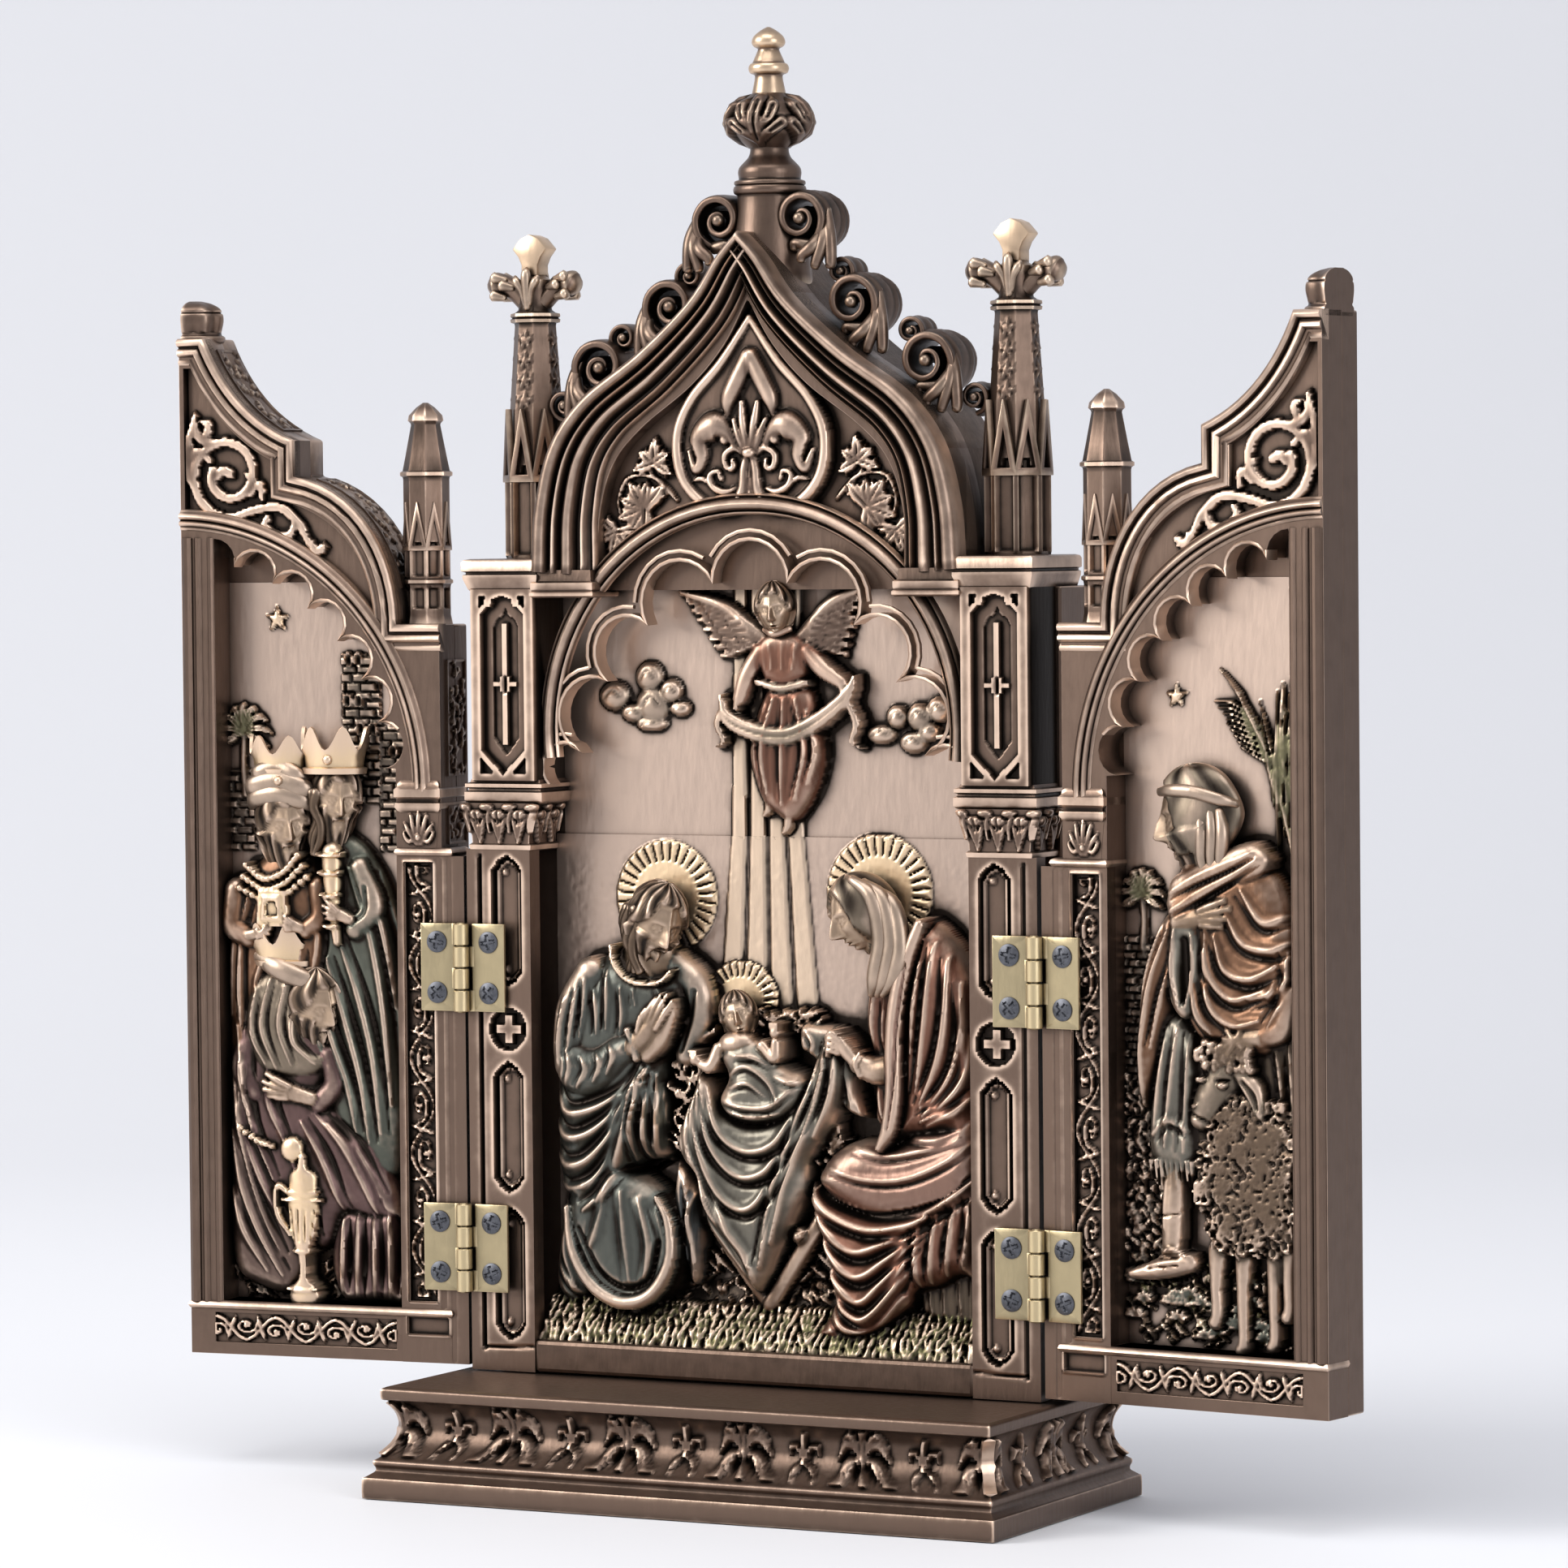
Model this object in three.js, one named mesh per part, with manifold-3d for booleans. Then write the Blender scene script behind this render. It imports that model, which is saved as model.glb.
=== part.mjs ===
// Gothic triptych altarpiece in cold-cast bronze: a base, an arched central panel with a nativity
// in high relief, and two carved wings on brass butt hinges that close over the centre.
// Millimetres, +Z up, +Y to the back. The origin is the middle of the base's underside, and the
// front face of the central panel's lower stiles is the plane y = 0.
import * as THREE from 'three';
import { mergeVertices } from 'three/addons/utils/BufferGeometryUtils.js';
import Module from 'manifold-3d';

// Driving dimensions
const TOTAL_HEIGHT = 295;
const BASE_HALF_WIDTH = 70.6;
const BASE_HALF_DEPTH = 34;
const BASE_TOP = 22.2;
const FRIEZE = { low: 8.2, high: 19.3, relief: 1.9 };
const GAP = 0.3;
const PANEL = { half: 64.6, bottom: 22.5, depth: 27, stileEdge: 49.75 };
const NICHE = { floor: 12, bottom: 27, spring: 142.6 };
const LEDGE = 3.6;
const PILASTER = { inner: 44.6, bottom: 143.4, top: 182.6, cap: 188.6 };
const GABLE = { spring: 186, half: 48, apex: 253.5, front: -2, foot: 13.5, tip: 6.2 };
const ARCH = { half: 46.3, spring: 160, apex: 199.5 };
const PINNACLE = { x: 54.7, y: 13.6, tip: 255 };
const HINGE = { x: 64.9, y: -2, pin: 0.95, barrel: 1.65, leaf: 9.6, back: -0.3, thick: 0.8, tall: 18 };
const HINGE_BOTTOMS = { lower: 38.6, upper: 96.1 };
const KNUCKLES = 4;
const SCREW = { inset: 5.9, rise: 5.2, head: 2.2, dome: 0.55, shank: 0.75, hole: 1.25, length: 6, sides: 6 };
const WING = { start: 0.3, free: 64.4, bottom: 23.3, depth: 14, floor: 7.5, stile: 15.5, freeStile: 56.8 };
const WING_STRIP = { edge: 5.3, top: 127.8 };
const WING_ARCH = { centre: 64.9, spring: 142, radius: 54, short: 0.02 };
const OPEN_ANGLE = { left: 5.3, right: 7.3 };

const wasm = await Module();
wasm.setup();

const degrees = THREE.MathUtils.degToRad;
const vec = (x, y, z) => new THREE.Vector3(x, y, z);
const flat = (x, z) => new THREE.Vector2(x, z);

// ---------------------------------------------------------------- solids and joins

// A closed three.js geometry as a solid, with its shared corners merged and its slivers dropped.
function solid(geometry) {
  const plain = geometry.clone();
  plain.deleteAttribute('normal');
  plain.deleteAttribute('uv');
  const merged = mergeVertices(plain, 1e-4);
  const index = merged.index.array;
  const faces = [];
  for (let i = 0; i < index.length; i += 3) {
    const [a, b, c] = [index[i], index[i + 1], index[i + 2]];
    if (a !== b && b !== c && c !== a) faces.push(a, b, c);
  }
  const vertProperties = new Float32Array(merged.attributes.position.array);
  const triVerts = new Uint32Array(faces);
  return new wasm.Manifold(new wasm.Mesh({ numProp: 3, vertProperties, triVerts }));
}

const union = (solids) => solids.reduce((whole, piece) => whole.add(piece));

// A solid's surface as a geometry, mirrored left for right when asked.
function surface(body, mirrored = false) {
  const mesh = body.getMesh();
  const geometry = new THREE.BufferGeometry();
  const points = Float32Array.from(mesh.vertProperties);
  const index = Array.from(mesh.triVerts);
  if (mirrored) {
    for (let i = 0; i < points.length; i += 3) points[i] = -points[i];
    for (let i = 0; i < index.length; i += 3) [index[i], index[i + 1]] = [index[i + 1], index[i]];
  }
  geometry.setAttribute('position', new THREE.BufferAttribute(points, 3));
  geometry.setIndex(index);
  geometry.computeVertexNormals();
  return geometry;
}

// A closed solid from rings of equal count, each capped flat at both ends of the row.
function loft(rings) {
  const count = rings[0].length;
  const points = rings.flat();
  const index = [];
  for (let r = 0; r + 1 < rings.length; r += 1) {
    for (let i = 0; i < count; i += 1) {
      const a = r * count + i;
      const b = r * count + ((i + 1) % count);
      index.push(a, b, b + count, a, b + count, a + count);
    }
  }
  const last = (rings.length - 1) * count;
  for (let i = 1; i + 1 < count; i += 1) {
    index.push(0, i + 1, i);
    index.push(last, last + i, last + i + 1);
  }
  let volume = 0;
  for (let i = 0; i < index.length; i += 3) {
    volume += points[index[i]].dot(points[index[i + 1]].clone().cross(points[index[i + 2]]));
  }
  if (volume < 0) index.reverse();
  const geometry = new THREE.BufferGeometry().setFromPoints(points);
  geometry.setIndex(index);
  return solid(geometry);
}

// A flat outline in the x-z plane, extruded from one depth to another.
function prism(outline, front, back) {
  const shape = outline.isShape ? outline : new THREE.Shape(outline);
  const geometry = new THREE.ExtrudeGeometry(shape, {
    depth: back - front, bevelEnabled: false, curveSegments: 5,
  });
  geometry.rotateX(Math.PI / 2);
  geometry.translate(0, back, 0);
  return solid(geometry);
}

const rectangle = (x0, x1, z0, z1) => [flat(x0, z0), flat(x1, z0), flat(x1, z1), flat(x0, z1)];

const block = (x0, x1, y0, y1, z0, z1) => prism(rectangle(x0, x1, z0, z1), y0, y1);

// A moulding run along a path in the x-z plane: the profile is [across, depth] pairs, and
// spans narrows or widens its across measure along the path.
function moulding(path, profile, spans = () => 1) {
  const rings = path.map((point, i) => {
    const before = path[Math.max(i - 1, 0)];
    const after = path[Math.min(i + 1, path.length - 1)];
    const run = after.clone().sub(before).normalize();
    const across = flat(run.y, -run.x);
    const bend = i === 0 || i === path.length - 1 ? 1 : mitre(before, point, after);
    const scale = spans(i / (path.length - 1)) * bend;
    return profile.map(([n, y]) => vec(point.x + across.x * n * scale, y, point.y + across.y * n * scale));
  });
  return loft(rings);
}

function mitre(before, point, after) {
  const turn = point.clone().sub(before).angle() - after.clone().sub(point).angle();
  return 1 / Math.max(Math.abs(Math.cos(turn / 2)), 0.5);
}

// A turned or many-sided upright from [height, radius] pairs.
function turned(levels, sides, x = 0, y = 0) {
  const rings = levels.map(([z, radius]) => Array.from({ length: sides }, (_, i) => {
    const angle = (2 * Math.PI * (i + 0.5)) / sides;
    return vec(x + radius * Math.cos(angle), y + radius * Math.sin(angle), z);
  }));
  return loft(rings);
}

function ball(x, y, z, rx, ry = rx, rz = rx, sides = 8) {
  const geometry = new THREE.SphereGeometry(1, sides, Math.max(4, sides - 3));
  geometry.rotateX(Math.PI / 2);
  geometry.scale(rx, ry, rz);
  geometry.translate(x, y, z);
  return solid(geometry);
}

// A limb or a roll of cloth: points are [x, y, z, radius].
function limb(points, sides = 6) {
  const places = points.map(([x, y, z]) => vec(x, y, z));
  const rings = points.map(([, , , radius], i) => {
    const from = places[Math.max(i - 1, 0)];
    const to = places[Math.min(i + 1, places.length - 1)];
    const run = to.clone().sub(from).normalize();
    const side = vec(0, 1, 0).cross(run).normalize();
    const up = run.clone().cross(side);
    return Array.from({ length: sides }, (_, k) => {
      const angle = (2 * Math.PI * k) / sides;
      return places[i].clone().addScaledVector(side, radius * Math.cos(angle))
        .addScaledVector(up, radius * Math.sin(angle));
    });
  });
  return loft(rings);
}

// A draped body standing out of a ground: levels are [z, centre x, half width, stand-out],
// and every other point of its front is drawn in as the hollow of a fold.
function draped(levels, ground, folds = 3) {
  const count = folds * 2 + 1;
  const rings = levels.map(([z, x, half, out]) => {
    const front = Array.from({ length: count }, (_, i) => {
      const angle = (Math.PI * i) / (count - 1);
      const hollow = i % 2 === 1 ? 0.84 : 1;
      return vec(x - half * Math.cos(angle), ground - out * Math.sin(angle) * hollow, z);
    });
    return [...front, vec(x + half, ground + 0.6, z), vec(x - half, ground + 0.6, z)];
  });
  return loft(rings);
}

const halo = (x, z, radius, ground) => prism(polygon(x, z, radius, 10), ground - 1.6, ground + 0.5);

function polygon(x, z, radius, sides, turn = 0) {
  return Array.from({ length: sides }, (_, i) => {
    const angle = turn + (2 * Math.PI * i) / sides;
    return flat(x + radius * Math.cos(angle), z + radius * Math.sin(angle));
  });
}

function material(color, roughness, metalness) {
  return new THREE.MeshStandardMaterial({ color, roughness, metalness });
}

const bronze = () => material(0x8a7563, 0.42, 0.75);
const brass = () => material(0x9a8768, 0.4, 0.85);
const blackSteel = () => material(0x2c2b2d, 0.45, 0.8);

function piece(name, geometry, look) {
  const mesh = new THREE.Mesh(geometry, look);
  mesh.name = name;
  return mesh;
}

// ---------------------------------------------------------------- base

// Plinth, bead, hollow frieze and slab, one above the other: [height, inset of the side].
const BASE_PROFILE = [
  [0, 0], [4.2, 0], [4.9, 1.2], [5.4, 1.7], [6.8, 1.4], [8.2, 2.6], [10.5, 4.6], [13.5, 5.6],
  [16.5, 5.2], [19.3, 3.4], [19.6, 2.6], [21.5, 2.5], [BASE_TOP, 3.3],
];
const FRONT_INSET = 1.5;

function baseRing([z, inset]) {
  const x = BASE_HALF_WIDTH - inset;
  const y = BASE_HALF_DEPTH - inset * FRONT_INSET;
  return [vec(-x, -y, z), vec(x, -y, z), vec(x, y, z), vec(-x, y, z)];
}

// A palmette or a lily of so many lobes, as a flat outline that fans up from its root.
function fan(x, root, height, lobes) {
  const steps = lobes * 2;
  const points = [flat(x, root)];
  for (let i = 1; i < steps; i += 1) {
    const angle = degrees(190 - (200 * i) / steps);
    const reach = height * (i % 2 === 1 ? 0.92 : 0.5);
    const middle = root + height * 0.35;
    points.push(flat(x + reach * 0.72 * Math.cos(angle), middle + reach * 0.7 * Math.sin(angle)));
  }
  return points.reverse();
}

// The frieze's row along one side: palmettes between lilies, laid on the hollow's surface.
function frieze(length, out, bays) {
  const row = [];
  for (let i = 0; i < bays * 2 - 1; i += 1) {
    const x = -length / 2 + (length / (bays * 2)) * (i + 1);
    const lily = i % 2 === 0;
    const leaf = fan(x, FRIEZE.low + 0.6, FRIEZE.high - FRIEZE.low - 1.2, lily ? 3 : 5);
    row.push(prism(leaf, -out - FRIEZE.relief, -out + 3.5));
  }
  return row;
}

function turnedRow(row, angle) {
  return row.map((leaf) => {
    const geometry = surface(leaf);
    geometry.rotateZ(angle);
    return solid(geometry);
  });
}

function base() {
  const body = loft(BASE_PROFILE.map(baseRing));
  const neckWidth = BASE_HALF_WIDTH - 5.6;
  const neckDepth = BASE_HALF_DEPTH - 5.6 * FRONT_INSET;
  const front = frieze(neckWidth * 2, neckDepth, 5);
  const side = frieze(neckDepth * 2, neckWidth, 2);
  const rows = [front, ...[Math.PI / 2, -Math.PI / 2].map((angle) => turnedRow(side, angle))];
  return piece('base_plinth', surface(union([body, ...rows.flat()])), bronze());
}

// ---------------------------------------------------------------- outlines of the centre

// One flank of the ogee, from its foot up to the apex: it swells out, then sweeps to a point.
function gableFlank(side) {
  const swell = new THREE.CubicBezierCurve(flat(GABLE.half, GABLE.spring), flat(GABLE.half, 208),
    flat(42, 222), flat(24, 231));
  const sweep = new THREE.CubicBezierCurve(flat(24, 231), flat(12, 237.5), flat(4.5, 246),
    flat(0, GABLE.apex));
  const points = [...swell.getPoints(5), ...sweep.getPoints(4).slice(1)];
  return points.map((point) => flat(side * point.x, point.y));
}

// The pointed arch over the niche, from the left pilaster to the right one.
function archPath(steps) {
  const rise = ARCH.apex - ARCH.spring;
  const radius = (ARCH.half ** 2 + rise ** 2) / (2 * ARCH.half) + 6;
  const reach = Math.sqrt(radius ** 2 - ((ARCH.half ** 2 + rise ** 2) / 4));
  const chord = Math.hypot(ARCH.half, rise);
  const centre = flat(ARCH.half / 2 - (rise / chord) * reach,
    ARCH.spring + rise / 2 - (ARCH.half / chord) * reach);
  const start = Math.atan2(ARCH.spring - centre.y, ARCH.half - centre.x);
  const end = Math.atan2(ARCH.apex - centre.y, -centre.x);
  const right = Array.from({ length: steps + 1 }, (_, i) => {
    const angle = start + ((end - start) * i) / steps;
    return flat(centre.x + radius * Math.cos(angle), centre.y + radius * Math.sin(angle));
  });
  const left = right.slice(0, -1).map((point) => flat(-point.x, point.y));
  return [...left, ...right.reverse()];
}

// Where the lobes of the cusped arch meet, from its foot to the top lobe.
const CUSPS = [[46.6, 142.6], [39.6, 149.6], [33, 163.8], [23.6, 175.2], [8.5, 183.6]];

// The cusped opening: a half circle stands on each pair of neighbouring cusps.
function cuspedEdge(steps = 3) {
  const right = CUSPS.map(([x, z]) => flat(x, z));
  const feet = [...right, ...right.slice().reverse().map((point) => flat(-point.x, point.y))];
  const edge = [];
  for (let i = 0; i + 1 < feet.length; i += 1) {
    const middle = feet[i].clone().add(feet[i + 1]).multiplyScalar(0.5);
    const arm = feet[i].clone().sub(middle);
    for (let k = 0; k < steps; k += 1) {
      const turn = (Math.PI * k) / steps;
      const spoke = arm.clone().rotateAround(flat(0, 0), turn);
      edge.push(middle.clone().add(spoke));
    }
  }
  return [...edge, feet[feet.length - 1]];
}

function nicheOutline() {
  const foot = PANEL.stileEdge;
  return [flat(-foot, NICHE.bottom), flat(foot, NICHE.bottom), flat(foot, NICHE.spring - 4), ...cuspedEdge(),
    flat(-foot, NICHE.spring - 4)];
}

// The field between the ogee and the pointed arch, kept whole across both flanks.
function tympanumOutline() {
  const right = gableFlank(1).map((point, i, all) => {
    const t = i / (all.length - 1);
    const width = THREE.MathUtils.lerp(GABLE.foot, 4, t);
    return flat(Math.max(point.x - width, 0), t === 1 ? GABLE.apex - GABLE.foot : point.y - width * t * 0.75);
  });
  const left = right.slice(0, -1).reverse().map((point) => flat(-point.x, point.y));
  return [...right, ...left];
}

// ---------------------------------------------------------------- the central panel's members

function body() {
  const right = gableFlank(1);
  const left = gableFlank(-1).reverse();
  const outline = [flat(-PANEL.half, PANEL.bottom), flat(PANEL.half, PANEL.bottom),
    flat(PANEL.half, PILASTER.top), flat(GABLE.half, PILASTER.top), ...right, ...left.slice(1),
    flat(-GABLE.half, PILASTER.top), flat(-PANEL.half, PILASTER.top)];
  const upper = rectangle(-PILASTER.inner, PILASTER.inner, NICHE.spring - 4, PILASTER.cap);
  return prism(outline, 0, PANEL.depth)
    .subtract(prism(upper, -5, LEDGE))
    .subtract(prism(tympanumOutline(), -5, LEDGE + 3.4))
    .subtract(prism(nicheOutline(), -5, NICHE.floor));
}

// The gable's roll mouldings, stepping back from the outer edge to the field.
const GABLE_PROFILE = [
  [0, 9], [0, -1.2], [0.08, GABLE.front], [0.22, GABLE.front], [0.32, -0.3], [0.46, -1.1], [0.62, 0.5],
  [0.8, 0], [1, 2.2], [1, 9],
];

function gable() {
  const path = [...gableFlank(-1), ...gableFlank(1).reverse().slice(1)];
  const spans = (t) => THREE.MathUtils.lerp(GABLE.foot, GABLE.tip, 1 - Math.abs(2 * t - 1));
  return moulding(path, GABLE_PROFILE, spans);
}

function archRoll() {
  const profile = [[-1.8, LEDGE + 4], [-1.8, LEDGE - 0.6], [0, LEDGE - 1.6], [1.8, LEDGE - 0.6],
    [1.8, LEDGE + 4]];
  return moulding(archPath(6), profile);
}

// The pointed heart hung in the gable, with the lily that stands in it.
function medallion() {
  const tip = flat(0, 235.5);
  const flank = new THREE.CubicBezierCurve(flat(0, 203), flat(7, 196), flat(19, 200), flat(17, 213.5));
  const rise = new THREE.CubicBezierCurve(flat(17, 213.5), flat(15.5, 222), flat(4, 225), tip);
  const right = [...flank.getPoints(5), ...rise.getPoints(4).slice(1)];
  const left = right.slice(1, -1).reverse().map((point) => flat(-point.x, point.y));
  const ground = prism([...right, ...left], LEDGE + 1, LEDGE + 5);
  const bud = prism([flat(0, 230), flat(-5, 220.5), flat(0, 222.5), flat(5, 220.5)], LEDGE - 0.4, LEDGE + 2);
  const petals = [-1, 1].map((side) => limb([[side * 6, LEDGE + 1, 216, 1.6], [side * 9.5, LEDGE, 216.5, 2.6],
    [side * 12, LEDGE + 1, 211, 1.7]]));
  const stem = prism(rectangle(-1.2, 1.2, 203, 216), LEDGE, LEDGE + 2);
  return union([ground, bud, ...petals, stem]);
}

// Two five-pointed ivy leaves on each side of the field.
function ivy() {
  const leaf = (x, z, size) => {
    const points = Array.from({ length: 10 }, (_, i) => {
      const angle = (Math.PI * i) / 5 + Math.PI / 2;
      const reach = size * (i % 2 === 1 ? 0.45 : 1);
      return flat(x + reach * Math.cos(angle), z + reach * Math.sin(angle));
    });
    return prism(points, LEDGE + 2.2, LEDGE + 4);
  };
  return [-1, 1].flatMap((side) => [leaf(side * 24.5, 204, 6.5), leaf(side * 30.4, 195, 4)]);
}

// A pilaster: lower stile with its pointed panels, leaf capital, box with its lancet, and cap.
function pilaster(side) {
  const middle = side * (PILASTER.inner + PANEL.half) / 2;
  const half = (PANEL.half - PILASTER.inner) / 2;
  const square = (z, grow, front) => {
    const [x0, x1] = [middle - half - grow, middle + half + grow];
    return [vec(x0, front, z), vec(x1, front, z), vec(x1, PANEL.depth - 4, z), vec(x0, PANEL.depth - 4, z)];
  };
  const cap = loft([square(182.2, -0.2, -0.3), square(184.6, 0.3, -1.2), square(186, 0.3, -1.2),
    square(186.4, 0.3, -1.2), square(PILASTER.cap, 0.3, -1.2)]);
  const rings = loft([square(138.3, -1.4, 0.1), square(139, 0, -0.8), square(141.5, 0, -0.8),
    square(142.2, 0, -0.3), square(PILASTER.bottom, 0, -0.3)]);
  const lower = side * (PANEL.stileEdge + PANEL.half) / 2;
  const leaves = loft([[129.2, -0.4, 0.4], [130.6, 0.3, -0.5], [138.4, 3.6, -0.9]].map(([z, grow, front]) => [
    vec(lower - side * (7.2 + grow), front, z), vec(lower + side * 6.9, front, z),
    vec(lower + side * 6.9, 9, z), vec(lower - side * (7.2 + grow), 9, z)]));
  return union([cap, rings, leaves]);
}

// The recessed lancets of one pilaster, as solids to cut away.
function pilasterPanels(side) {
  const x = side * (PILASTER.inner + PANEL.half) / 2;
  const lower = side * (PANEL.stileEdge + PANEL.half) / 2;
  const lancet = (centre, half, low, high, point) => [flat(centre - half, low + point), flat(centre, low),
    flat(centre + half, low + point), flat(centre + half, high - point), flat(centre, high),
    flat(centre - half, high - point)];
  const cuts = [lancet(x, 4.6, 148, 178.5, 3.6), lancet(lower, 3.4, 104, 126.5, 3.2),
    lancet(lower, 3.4, 59, 86, 3.2), lancet(lower, 3.4, 30, 37.6, 3.2)];
  return cuts.map((outline, i) => prism(outline, -4, i === 0 ? 1.2 : 0.9));
}

// One bar of the leaf cross, swelling to a knob at each end, along x or along y.
function armRings(x, alongX, alongY) {
  return [[-10.2, 2.2], [-7.2, 3.6], [-3, 2.4], [3, 2.4], [7.2, 3.6], [10.2, 2.2]].map(([reach, radius]) => (
    polygon(0, 244.4, radius, 5, Math.PI / 2).map((point) => (
      vec(x + alongX * reach + alongY * point.x, PINNACLE.y + alongY * reach + alongX * point.x, point.y)))));
}

function bigPinnacle(side) {
  const x = side * PINNACLE.x;
  const shaft = turned([[188, 6.2], [205.5, 6.2], [206.5, 7.3], [218, 5.4], [236.6, 3.9], [236.8, 4.6],
    [238.8, 4.6], [239.4, 3.1], [242, 3.2], [245, 5.4], [248, 2.4], [251.6, 3.8], [PINNACLE.tip, 0.3]], 8, x,
  PINNACLE.y);
  const arms = [loft(armRings(x, 1, 0)), loft(armRings(x, 0, 1))];
  return union([shaft, ...arms]);
}

// Three scrolled crockets climb each flank of the gable, with a small volute below each one:
// [x, z] of the scroll and [x, z] of the foot that ties it to the roof.
const CROCKETS = [[[11.4, 255.6], [3, 251]], [[24.4, 239.8], [20, 231]], [[39.2, 227], [34, 218]]];
const VOLUTES = [[[18, 244.8], [12, 234]], [[31, 233.8], [26, 225]], [[46.4, 221.8], [41, 212]]];

function crocket([[x, z], [footX, footZ]], radius, half, side) {
  const away = Math.atan2(z - footZ, x - footX);
  const outline = Array.from({ length: 8 }, (_, i) => {
    const angle = away + degrees(-115 + (230 * i) / 7);
    return flat(side * (x + radius * Math.cos(angle)), z + radius * Math.sin(angle));
  });
  const across = flat(-Math.sin(away), Math.cos(away)).multiplyScalar(radius * 0.7);
  outline.push(flat(side * (footX + across.x), footZ + across.y));
  outline.push(flat(side * (footX - across.x), footZ - across.y));
  return prism(outline, PINNACLE.y - half, PINNACLE.y + half);
}

const crockets = (side) => [...CROCKETS.map((place) => crocket(place, 6.8, 6, side)),
  ...VOLUTES.map((place) => crocket(place, 3.2, 3.8, side))];

function centreFinial() {
  return turned([[246, 8.4], [261.6, 6.6], [262, 7.6], [264.8, 7.2], [267, 4.4], [270, 3.9], [274, 8],
    [278, 10], [280.6, 9], [281.8, 4], [284.8, 3], [285.2, 4.2], [286.8, 4.2], [288.6, 2.4], [291, 3.8],
    [TOTAL_HEIGHT, 0.4]], 10, 0, PINNACLE.y);
}

// ---------------------------------------------------------------- the nativity

function kneelingMan() {
  const robe = draped([[33, -30, 15, 8], [46, -30, 17, 10], [66, -32.5, 13.4, 9], [94, -31, 13.4, 8.6],
    [103, -27.5, 11.4, 8], [109, -24, 4.6, 6]], NICHE.floor);
  const head = ball(-23, 5.6, 115.4, 6.4, 5.6, 7.4, 7);
  const beard = ball(-19.6, 4.6, 109.4, 3, 3, 3.6, 5);
  const arm = limb([[-38, 6, 101, 4], [-37, 3.6, 89, 4.6], [-27, 3.2, 86, 4.2], [-20.4, 3.4, 91.6, 2.6]], 5);
  const hands = limb([[-21, 4, 91, 1.8], [-19, 3.6, 96, 2], [-18, 4.4, 101, 1]], 5);
  const knee = draped([[35, -20, 5, 8], [45, -19, 6, 10.4], [57, -21, 4, 8]], NICHE.floor, 1);
  return [halo(-23.2, 119.6, 11.2, NICHE.floor), robe, head, beard, arm, hands, knee];
}

function kneelingWoman() {
  const robe = draped([[31, 31, 14, 8], [44, 30.5, 17, 9.8], [68, 28.5, 18.6, 10.6], [76, 32, 14.6, 9.4],
    [100, 32.4, 12.6, 8.2], [108, 28, 8, 7], [112, 25, 4, 6]], NICHE.floor);
  const veil = draped([[98, 27, 5, 9], [108, 28, 8, 9.6], [121, 25.6, 7.8, 9.6], [128, 24.4, 4.6, 7]],
    NICHE.floor, 2);
  const face = ball(20.4, 5, 117, 4.2, 4.6, 6, 7);
  const arm = limb([[34, 4, 98, 4], [33, 2.8, 88, 4.2], [26, 3, 85.6, 3.4], [20.6, 4, 90.6, 1.8]], 5);
  return [halo(25, 121, 11.6, NICHE.floor), robe, veil, face, arm];
}

function childInManger() {
  const cloth = draped([[40, -1.5, 1.4, 9], [53, -2, 6.6, 9.6], [72, -0.6, 13.8, 10], [86, 0.6, 18.4, 9],
    [90.5, 3, 17, 6]], NICHE.floor);
  const child = limb([[-3.4, 3.4, 93.6, 3], [1, 2.8, 88, 4], [8, 3.2, 84.6, 3]], 6);
  const head = ball(-4.4, 4.6, 97, 4.1, 4.1, 4.6, 7);
  return [halo(-6, 99.4, 8.6, NICHE.floor), cloth, child, head];
}

function angel() {
  const skirt = draped([[131.6, 4.6, 1.2, 4], [147, 5.4, 6.4, 7.4], [158, 5.2, 4.8, 7.4], [166, 5, 4.8, 7.2],
    [171.6, 4, 3.4, 6.4]], NICHE.floor, 2);
  const head = ball(3.4, 5.8, 177, 3.7, 3.7, 4.6, 7);
  const wing = (side, tip, z) => prism([flat(3.6, 170), flat(3.6, 178), flat(side * tip, z),
    flat(side * tip * 0.75, z - 8), flat(side * tip * 0.42, z - 12)], 8.4, NICHE.floor + 0.4);
  const arms = [limb([[1, 6.4, 169, 2.4], [-3.6, 5.4, 161, 2], [-8, 6, 157, 1.4]], 5),
    limb([[8.4, 6.4, 169.6, 2.4], [14.6, 5.4, 164.6, 1.9], [21.4, 6, 160.4, 1.4]], 5)];
  const swag = limb([[-8, 6, 156.4, 1.2], [-1, 4.4, 152.4, 2], [8, 4.2, 152.6, 2.2], [19, 6, 161, 1.3]], 5);
  return [wing(-1, 16.4, 179.4), wing(1, 20.4, 181.6), skirt, head, ...arms, swag];
}

function skyAndGround() {
  const strip = (t0, t1) => [flat(-12 + 23.6 * t0, 97), flat(-12 + 23.6 * t1, 97), flat(-4.2 + 7.4 * t1, 189),
    flat(-4.2 + 7.4 * t0, 189)];
  const rays = [0, 1, 2].map((i) => prism(strip(i / 3, (i + 0.86) / 3), NICHE.floor - 1, NICHE.floor + 0.4));
  const puffs = [[-31, 160, 5.4], [-24, 156, 4.8], [36, 154.6, 4.8], [27.4, 151.6, 4.6]];
  const clouds = puffs.map(([x, z, radius]) => ball(x, NICHE.floor - 0.4, z, radius, 2.6, radius * 0.8, 5));
  const ground = draped([[NICHE.bottom - 1, 0, PANEL.stileEdge, 11.4], [30, 0, PANEL.stileEdge, 10.6],
    [37, 0, PANEL.stileEdge + 2, 5]], NICHE.floor + 0.4, 4);
  return [...rays, ...clouds, ground];
}

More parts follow.
